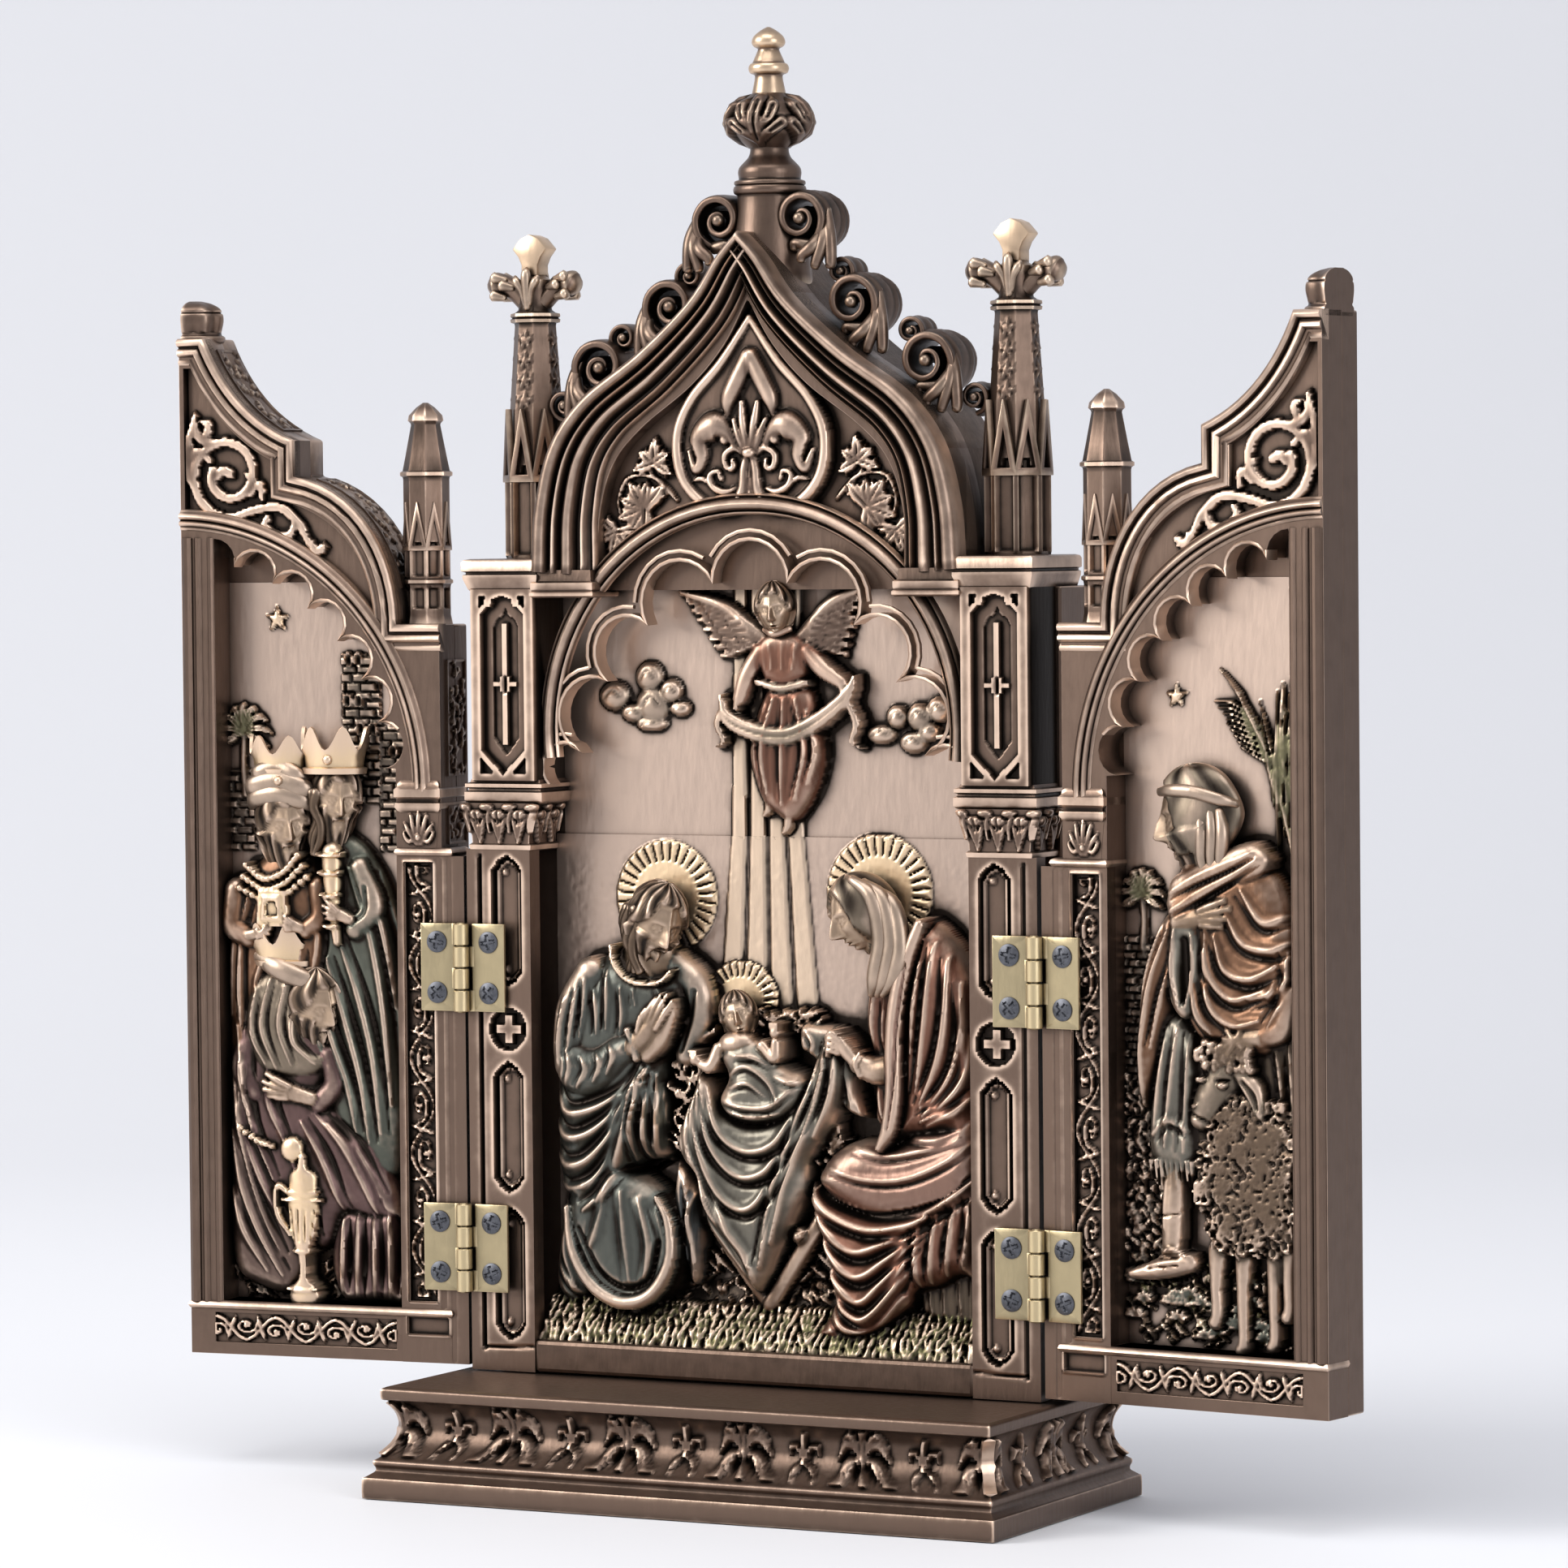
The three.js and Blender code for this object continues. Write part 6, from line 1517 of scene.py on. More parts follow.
def kneeling_man(field):
    rear = field.patch([(-46.5, 58), (-48.5, 47), (-48.5, 39), (-44, 36), (-40, 40), (-41, 52)], 6.5, 4,
                       4.5, TEAL)
    folds(field, rear, [[(-44, 56), (-46, 48), (-43, 40)], [(-47, 44), (-44, 40), (-41, 38)]], 0.9, 0.8)
    fall = field.patch([(-20, 67), (-16.5, 63), (-14.3, 59), (-13.8, 52), (-14.5, 43), (-17, 41.5), (-19, 50),
                        (-21, 58)], 6.4, 2.5, 4, BLUE)
    folds(field, fall, [[(-18, 65), (-16.5, 55), (-15.5, 44)], [(-15.5, 60), (-17, 53), (-17.5, 46)]],
          0.8, 0.9)
    skirt = field.patch([(-44.5, 62), (-46, 54), (-43, 45), (-39, 38.5), (-33, 35), (-27, 35.2), (-21, 38.5),
                         (-17.5, 45), (-17.5, 53), (-20.5, 59), (-28, 64), (-36, 66)], 9.4, 7, 7.5, TEAL)
    folds(field, skirt, [[(-31, 60), (-30, 51), (-29, 42)], [(-27, 59), (-24.5, 50), (-25.5, 42)],
                         [(-34, 60), (-36.5, 52), (-38.5, 48)], [(-23, 57), (-20.8, 50), (-22, 44)]], 1.2,
          0.7)
    field.roll([(-44.3, 56, 0.8, 8.4), (-42.5, 47.5, 1.3, 9.6), (-37.5, 40.5, 1.5, 10.3),
                (-30.5, 37.4, 1.6, 10.6), (-24, 39.4, 1.5, 10.4), (-20, 46, 1.3, 10),
                (-20.2, 54, 1.0, 9.6), (-23, 59, 0.6, 9)], TEAL, soft=0.8)
    field.fold([(-41, 52, 0.5, -0.9), (-36, 43.5, 0.6, -1.4), (-30, 40.4, 0.6, -1.4),
                (-24.5, 42.6, 0.6, -1.2), (-22.4, 50, 0.5, -0.8)], skirt)
    far_arm = [(-20.5, 106, 3.6, 7), (-15.5, 102, 3.6, 7.4), (-14, 96, 3, 7.2), (-17.5, 88, 2.6, 7)]
    field.roll(far_arm, TEAL, flat=1.2)
    field.fold([(-14.6, 101, 0.6, -0.7), (-16, 95, 0.6, -0.8), (-17.8, 89, 0.5, -0.6)])
    cloak = field.patch([(-32, 110.5), (-37.5, 107), (-42, 101.5), (-45.3, 94), (-47.2, 86), (-48, 76),
                         (-48, 66), (-46.4, 59), (-42, 55.6), (-37.5, 53), (-34.5, 57.5), (-31.5, 62),
                         (-27, 66), (-21.5, 66.6), (-21, 76), (-21.5, 85), (-18.5, 92), (-15.5, 98),
                         (-16, 103.5), (-20, 106.5), (-26, 108)], 9.3, 8, 8, TEAL)
    folds(field, cloak, [
        [(-24.5, 86), (-30, 80), (-37.5, 76.5), (-43.5, 76), (-47, 80)],
        [(-25, 85), (-31, 76.5), (-38.5, 71.5), (-44, 71), (-47.5, 74)],
        [(-25.5, 84), (-31.5, 73), (-38, 66.5), (-43.5, 65), (-47, 67)],
        [(-26, 82), (-31, 70), (-36.5, 62.5), (-42.5, 60), (-46, 61)],
        [(-27, 78), (-31, 67), (-35, 59.5), (-39.5, 56)]], 1.35, 1.35, 0.7)
    folds(field, cloak, [[(-25.2, 84), (-27.6, 75), (-28.8, 66)], [(-24.3, 84.5), (-25.6, 75), (-26, 66)],
                         [(-23.6, 84), (-23.4, 75), (-23.6, 67)], [(-22.6, 82), (-21.8, 74)]], 0.85, 1.3, 0.6)
    field.fold([(-30.2, 64.4, 0.7, -1.6), (-28, 64, 0.6, -1.8), (-25, 65.6, 0.6, -1.8),
                (-21.5, 67.2, 0.5, -1.2)])
    folds(field, cloak, [[(-34, 105), (-33.5, 100), (-33.8, 93)], [(-30.5, 101.5), (-30, 96.5), (-30.6, 92)],
                         [(-27.5, 101), (-27, 98)], [(-37.5, 103), (-36, 97), (-36, 92)],
                         [(-22, 101.5), (-20, 98.5)]], 0.8, 0.8)
    field.roll([(-38.5, 104, 3.6, 9.4), (-42, 97, 4.4, 10), (-43, 90, 4.2, 10.2), (-43, 85.5, 3.6, 10.4)],
               TEAL, flat=0.9, soft=1.2)
    folds(field, None, [[(-38.6, 103), (-38.9, 97), (-40, 91)], [(-43.5, 99), (-44.6, 92), (-45, 86)],
                        [(-40.5, 101), (-41.4, 95), (-42.4, 88)]], 0.75, 0.8)
    sleeve = field.patch([(-45.6, 88), (-45.8, 83), (-43, 79.6), (-38.5, 78.6), (-33.5, 80.6),
                          (-29, 84.6), (-26, 87.6), (-27.4, 92.6), (-32, 92.2), (-37, 89.6),
                          (-41.5, 90.5)], 11.2, 4.6, 4.6, TEAL)
    folds(field, sleeve, [[(-42.5, 88.5), (-41.5, 85), (-43, 81.5)],
                          [(-39, 87.6), (-37.8, 84.6), (-40, 81)],
                          [(-35.6, 88.4), (-34.4, 85.6), (-36, 82.4)],
                          [(-32.6, 90), (-31.4, 87.4), (-33, 84)]], 0.75, 0.7)
    field.roll([(-28.2, 93, 0.8, 11.2), (-26.6, 90, 0.9, 11.4), (-26.4, 87.2, 0.7, 11)], TEAL, soft=0.3)
    field.roll([(-24.6, 88.4, 2.2, 10.4), (-21.6, 91.5, 2.4, 10.6), (-19, 96, 1.6, 10.4),
                (-17.6, 99, 0.8, 10)], SKIN, flat=0.9)
    field.roll([(-27, 89.6, 2.1, 11.3), (-24.4, 92.2, 2.4, 11.5), (-22.2, 95.2, 2.0, 11.4)], SKIN,
               flat=0.8, soft=0.4)
    for k, (x, z) in enumerate([(-21.6, 99.6), (-20.2, 100.4), (-18.8, 100.4), (-17.6, 99.2)]):
        root = (-24.2 + k * 0.95, 95.2 - k * 0.55)
        field.roll([(*root, 0.72, 11.4), ((x + root[0]) / 2, (z + root[1]) / 2, 0.74, 11.5), (x, z, 0.5, 11)],
                   SKIN, steps=5)
    field.roll([(-25.6, 93, 0.7, 11.5), (-24.8, 95.6, 0.7, 11.6), (-23.6, 97.4, 0.5, 11.4)], SKIN, steps=5)
    field.dome(-25.6, 107, 6.2, 6, 8.6, 4, SKIN, soft=0.8)
    field.fold([(-27.5, 110, 0.6, 0.6), (-25.2, 106, 0.6, 0.7), (-23.6, 103.6, 0.4, 0.4)])
    field.roll([(-32.8, 110, 0.5, 9.2), (-31.8, 106.4, 0.55, 10), (-28.8, 103.4, 0.55, 10.4),
                (-24.6, 102.4, 0.55, 10.6), (-20.8, 103, 0.5, 10.4), (-18.6, 105.2, 0.4, 9.6)], GOLD)


def kneeling_woman(field):
    under = field.patch([(34, 43), (35, 37.5), (40, 36), (49, 36.5), (49, 50), (40, 48)], 5, 2, 4, EARTH)
    folds(field, under, [[(37, 43), (37.6, 37)], [(40, 44), (40.4, 38)], [(43.5, 45), (44, 38)],
                         [(46.6, 46), (46.8, 38)]], 0.7, 0.9)
    chest = field.patch([(25.2, 108), (23.2, 101), (22.8, 95), (24.2, 89), (24.6, 80), (25.4, 75), (32, 74),
                         (33, 104)], 7, 4, 6, COPPER)
    folds(field, chest, [[(26.4, 104), (25.2, 96), (26, 89)], [(28.6, 102), (28.2, 94), (29, 89)],
                         [(26.6, 84), (27, 79), (28.6, 75)], [(29, 84), (29.4, 78)],
                         [(24.3, 99), (23.9, 93)]], 0.7, 0.8)
    mantle = field.patch([(30, 100), (32.4, 107), (34.6, 113), (37, 116.8), (40.6, 115.6), (44.4, 112),
                          (47.6, 107.4), (49.2, 102), (49.4, 88), (49.4, 73), (41, 72), (34, 72),
                          (29.4, 70), (30.6, 80), (30.6, 90)], 9.8, 7.5, 7.5, COPPER)
    folds(field, mantle, [[(40.6, 112), (39.6, 103), (38.4, 93), (36.6, 82)],
                          [(43.5, 109), (43.4, 99), (41.6, 89), (37.4, 79.4)],
                          [(46.2, 104), (46.4, 94), (44, 85), (38, 77.6)],
                          [(48, 94), (47, 85.6), (42.6, 79.6), (37.4, 76.4)],
                          [(48.6, 82), (45, 78.6), (38.6, 75.6)], [(37.4, 108), (36.4, 99), (35.4, 90)]],
          1.15, 1.25, 0.7)
    lap = field.patch([(14.4, 67.4), (17.6, 70.4), (23.4, 72.4), (30, 71.8), (36, 75), (42, 76.4), (49.4, 77),
                       (49.4, 56), (40, 56), (28, 55), (18, 58.6), (13, 63.4)], 10, 6, 6.5, ROSE)
    folds(field, lap, [[(17, 66.4), (25, 64.6), (34, 65), (43, 68.6), (49, 73)],
                       [(33, 73.4), (40, 73), (46, 75)], [(22, 71), (28, 69.6), (36, 70.4), (46, 73.4)]],
          0.9, 0.7)
    skirt = field.patch([(11.4, 63.8), (16, 61), (26, 58.4), (36, 59.4), (44, 62.4), (49.4, 66),
                         (49.4, 46), (45, 45.4), (40, 43), (35.6, 42), (33.6, 38.6), (29, 34.2),
                         (23, 31.2), (16.6, 30.6), (11.8, 33), (14.4, 36), (16, 40), (15, 47), (12.8, 54),
                         (11, 59)], 9.6, 4.6, 7, COPPER)
    folds(field, skirt, [
        [(12.6, 64), (18, 61), (27, 59.4), (37, 61.4), (44, 65), (49, 69.4)],
        [(12, 62.4), (16.6, 57.6), (25.4, 54.6), (35, 56.4), (44, 61.4), (49, 65)],
        [(12.2, 60), (16, 54), (22.6, 50), (30, 52.4), (38.6, 57.4)],
        [(13, 57), (16.6, 49.4), (23, 45), (29.6, 48.6), (37, 55.4)],
        [(14.6, 52), (17.6, 44.6), (23.4, 40), (28.6, 44), (35.6, 52.4)],
        [(16.6, 46), (19, 39.6), (24.4, 36.6), (30.6, 42.6), (34.4, 49)],
        [(17, 38), (21, 34), (27, 35.4), (32.6, 41.4)]], 1.3, 1.45, 0.65)
    folds(field, skirt, [[(36.6, 55), (36, 49), (36.4, 43.4)], [(40.6, 58), (39.8, 51), (39, 44.4)],
                         [(44.6, 60), (43.8, 53), (42.6, 46)], [(48, 62), (47.6, 54), (46.4, 47.4)]], 1.0,
          1.2, 0.7)
    field.roll([(37.6, 115.6, 1.3, 10.4), (34.8, 108.6, 1.7, 11), (32.6, 100, 1.9, 11.3),
                (31.8, 91, 1.9, 11.4), (31.8, 82, 1.9, 11.4), (30.6, 75, 1.7, 11.2),
                (28.4, 71, 0.9, 10.6)], ROSE, soft=0.5)
    field.fold([(35, 108, 0.35, -0.6), (33, 96, 0.4, -0.7), (32.2, 84, 0.4, -0.7), (30.8, 75, 0.3, -0.5)])
    field.roll([(31.4, 87, 3, 10.4), (27, 86.2, 2.8, 10.4), (23.6, 87.6, 2.2, 10.4)], SKIN, flat=0.9)
    field.roll([(24.6, 90, 0.5, 10.6), (23.6, 87.6, 0.6, 11), (24.4, 85.2, 0.5, 10.6)], SKIN, steps=4)
    field.roll([(23, 88.2, 1.5, 10.6), (20.6, 90.8, 1.7, 10.8), (18.6, 93, 1.3, 10.6)], SKIN)
    for k in range(4):
        field.roll([(20.4 - k * 0.3, 92.4 - k * 0.9, 0.6, 10.8), (18.2 - k * 0.2, 93.8 - k * 1.2, 0.6, 11),
                    (16.8 + k * 0.1, 92.6 - k * 1.2, 0.45, 10.4)], SKIN, steps=4)


def child_and_manger(field):
    strokes(field, 90, -20.5, -12.5, 68, 96, (3.5, 3.4), 0.5, 5.6, STRAW)
    strokes(field, 46, 8, 18, 60, 74, (3, 3), 0.5, 5.4, STRAW)
    strokes(field, 60, -10, 12, 92, 96, (4, 2.4), 0.5, 4.6, STRAW)
    strokes(field, 90, -14, 17, 36, 54, (5, 5), 0.45, 2.6, EARTH)
    field.roll([(16.5, 61, 1.7, 5.6), (9, 50, 1.7, 5.6), (1, 38, 1.7, 5.6)], STRAW, flat=0.6)
    field.roll([(-15, 58, 1.5, 4.6), (-8, 48, 1.5, 4.6), (0, 38, 1.5, 4.6)], STRAW, flat=0.6)
    field.dome(8.2, 52.2, 1.9, 1.9, 6.4, 1.2, EARTH)
    field.dome(8.2, 52.2, 1.0, 1.0, 7.2, 0.8, SKIN)
    flap = field.patch([(14.6, 95), (20, 93.4), (22.4, 88), (22.4, 82), (23.6, 76.6), (19.4, 77.6),
                        (16.4, 82), (12, 88), (9, 90), (9.4, 95)], 7.2, 1.6, 4.6, SILVER)
    folds(field, flap, [[(20, 92), (20.2, 85), (21, 78)], [(17.6, 92), (18.4, 84), (18.6, 79)],
                        [(11, 93.4), (12.6, 91), (11.4, 88.6)]], 0.8, 0.9)
    cloth = field.patch([(-13, 86.6), (-15, 81), (-17.6, 75), (-18.6, 70.6), (-17.4, 66), (-14.4, 63.6),
                         (-13.6, 58), (-12.2, 53.6), (-8.4, 48.6), (-3.6, 43), (-0.6, 40.4), (1.8, 43),
                         (4.2, 48), (8.4, 56), (11.2, 61.6), (12, 67.6), (15.6, 72.4), (19, 78), (21, 86),
                         (19, 92.6), (16.6, 94.6), (13.6, 90), (11, 83), (5, 76.6), (-2, 75),
                         (-7.6, 77.4), (-10, 83)], 9.2, 3.2, 5.4, SILVER)
    folds(field, cloth, [
        [(-11.4, 83), (-8.4, 73.6), (-2.6, 69.4), (4, 70.6), (9.6, 77.6), (14, 88)],
        [(-12.4, 84), (-10.6, 71.6), (-4.6, 64.6), (2, 65), (8, 72), (12.4, 81)],
        [(-13, 84), (-13, 71), (-8.6, 61), (-2.4, 57.4), (3, 61.6), (7, 68)],
        [(-13.8, 83), (-15, 70.6), (-12, 59.6), (-6.4, 52), (-1.6, 46)],
        [(-15.6, 78), (-17, 70.6), (-15.4, 65.4)],
        [(-9.6, 60), (-6, 53.4), (-2, 48), (-0.8, 42.6)],
        [(14.6, 91), (12, 80), (7.6, 69), (3.4, 58), (0.8, 46)],
        [(16.4, 93), (14.6, 82), (10.6, 71.6), (6.6, 61.6), (3.4, 51)],
        [(18.4, 91), (17.4, 81), (13.4, 72.6)]], 1.15, 1.25, 0.7)
    body = field.patch([(-6.8, 91.4), (-1.6, 92.4), (3.2, 90), (6.6, 86.6), (10.6, 85.2), (11.6, 82.4),
                        (9.6, 78), (5, 75.2), (-1.6, 74.4), (-6.6, 76.2), (-8.4, 79.6), (-6.4, 84),
                        (-8, 88)], 10.8, 4, 4.6, SILVER)
    folds(field, body, [[(-5.4, 84.4), (-1, 86.4), (4, 83.6), (6.4, 79)], [(-5, 82), (-0.6, 83), (3.2, 80.6)],
                        [(-7, 79.4), (-2, 78.2), (4, 78.4), (8.6, 81.6)], [(-6, 77), (0, 76), (6, 77)],
                        [(-3.6, 88.4), (0.6, 88.4), (4.6, 86.6)], [(5.6, 84.6), (8.4, 83.6), (10.6, 83.6)]],
          0.7, 0.65)
    field.dome(-4, 90.6, 4.4, 3, 10.6, 3, SKIN)
    field.roll([(2.2, 90.6, 1.4, 10.4), (5, 88.4, 1.4, 10.8), (5.4, 91.4, 1.1, 10.6)], SKIN)
    field.dome(5.2, 93.4, 1.3, 1.4, 10.6, 1.4, SKIN)
    for k in range(3):
        field.roll([(4.6 + k * 0.6, 93.6, 0.35, 10.5), (4.3 + k * 0.8, 95.3, 0.33, 10.4)], SKIN, steps=3)
    field.roll([(-8, 89.8, 1.4, 10), (-9.6, 86.2, 1.5, 10.6), (-11.6, 86.4, 1.2, 10.4)], SKIN)
    field.dome(-13, 87.4, 1.5, 1.3, 10.6, 1.4, SKIN)
    for k in range(3):
        field.roll([(-13.6 + k * 0.5, 87.8, 0.33, 10.5), (-14.4 + k * 0.8, 89.3, 0.3, 10.2)], SKIN, steps=3)


SKY_STANDS = 0.15


def nativity():
    field = Carving(-NICHE_HALF, NICHE_HALF, NICHE_BOTTOM, RELIEF_TOP, 0.38, SKY, ground=SKY_STANDS)
    for k in range(4):
        low, high = -12.2 + k * 6.05, -8.9 + k * 4.3
        field.patch([(low, 93), (high, RELIEF_TOP + 1), (high + 3.5, RELIEF_TOP + 1), (low + 5.1, 93)],
                    1.15, 0.5, 0.7, RAY, smooth=False)
    halo(field, -24, 119.6, 11.6, 32)
    halo(field, 24.6, 121.2, 11.8, 32)
    halo(field, -6.6, 98.6, 8.5, 28, 2.2)
    slope = lambda z: np.interp(z, [26, 30, 36, 42], [9.4, 8.2, 3.4, 0.6])
    field.h = np.maximum(field.h, slope(field.z))
    field.tint[field.z < 41] = EARTH
    strokes(field, 120, -49, 49, 35, 41, (4, 3.4), 0.5, lambda x, z: slope(z) + 0.4, STRAW)
    child_and_manger(field)
    kneeling_man(field)
    kneeling_woman(field)
    blades(field, -49.5, 49.5, (37.4, 36, 34.4, 32.8, 31.2), lambda z: float(slope(z - 2.5)) + 0.6, GRASS)
    blades(field, -49.5, 49.5, (30,), lambda z: 9.4, tuple(0.5 * (a + b) for a, b in zip(GRASS, BRONZE)))
    field.h += 0.045 * field.blur(chance.normal(size=field.h.shape),
                                  0.35) * np.clip((RELIEF_TOP - field.z) / 6, 0, 1)
    field.h = np.clip(field.h, 0, BACK_FACE - 0.5)
    return field


relief_bronze = bronze("washed_bronze", washed=True, rough=0.34)
nativity_piece = nativity().mesh("nativity_relief", from_plane(BACK_FACE), back=-0.4)
dress(nativity_piece, "shrine", relief_bronze)

# ---------------------------------------------------------------- the wings' reliefs
# Cast with the wings like the nativity: on the left three kings bring their gifts before a
# brick tower and a palm, and on the right a shepherd in a hood stands over a sheep.
PURPLE = (0.117, 0.071, 0.065)
GREEN = (0.091, 0.095, 0.076)
RUST = (0.161, 0.085, 0.050)
CAPE = (0.122, 0.082, 0.067)
STONE = (0.102, 0.080, 0.062)
REED = (0.122, 0.111, 0.062)


def bricks(field, west, east, south, north, crest, course=1.8, long=3.6):
    """A wall of small uneven courses."""
    near = field.window((west, south), (east, north))
    row = np.floor((field.z[near] - south) / course)
    place = (field.x[near] - west) / long + 0.37 * row
    joint = (np.abs((field.z[near] - south) / course - row - 0.5) > 0.36) | (np.abs(place % 1 - 0.5) > 0.42)
    uneven = 0.22 * np.sin(row * 7.1 + np.floor(place) * 3.3)
    field.lay(near, crest + uneven - 0.6 * joint, near is not None, STONE)


def star(field, x, z, radius, crest):
    for k in range(5):
        a = math.radians(90 + 72 * k)
        field.roll([(x, z, radius * 0.34, crest), (x + radius * math.cos(a), z + radius * math.sin(a),
                                                   0.12, crest - 0.2)], GOLD, flat=0.5, steps=4)


def palm(field, x, z, reach, foot):
    """A trunk, and fronds that arch out of its head, each with a groove down its middle."""
    crest = 1.6
    field.roll([(x, z, 0.9, crest - 0.2), (x + 0.3, (z + foot) / 2, 0.8, crest - 0.3),
                (x, foot, 1.0, crest - 0.3)], STONE)
    for a in np.radians([-28, 4, 34, 62, 90, 118, 146, 176, 208]):
        tip = (x + reach * math.cos(a), z + reach * math.sin(a) * 0.8 - reach * 0.12)
        field.roll([(x, z, 0.5, crest), (x + 0.6 * reach * math.cos(a),
                                         z + 0.72 * reach * math.sin(a) + 0.4, 0.85, crest + 0.6),
                    (*tip, 0.2, crest)], REED, steps=5)
        field.fold([(x, z, 0.18, -0.3), (x + 0.6 * reach * math.cos(a),
                                         z + 0.72 * reach * math.sin(a) + 0.4, 0.2, -0.5),
                    (*tip, 0.12, -0.3)], steps=4)


def beads(field, path, count, radius, crest):
    """A string of gold beads along a path."""
    line = curve(path, 12)
    for k in np.linspace(0, len(line) - 1, count).astype(int):
        field.dome(line[k, 0], line[k, 1], radius, radius, crest, radius, GOLD)


def hand(field, wrist, tips, crest, half=0.75):
    """A palm with its fingers, each a little roll out to its tip."""
    wrist, tips = np.array(wrist, float), np.array(tips, float)
    knuckles = wrist + 0.5 * (tips.mean(0) - wrist)
    field.roll([(*wrist, half * 1.9, crest - 0.3), (*knuckles, half * 2.5, crest - 0.1)], SKIN, flat=0.7,
               soft=0.4)
    spread = np.linspace(-1.5, 1.5, len(tips)) * half
    ahead = (tips.mean(0) - wrist) / np.linalg.norm(tips.mean(0) - wrist)
    for tip, off in zip(tips, spread):
        root = knuckles + np.array([ahead[1], -ahead[0]]) * off
        field.roll([(*root, half, crest), (*(0.5 * (root + tip)), half, crest + 0.15),
                    (*tip, half * 0.7, crest - 0.3)], SKIN, steps=5)


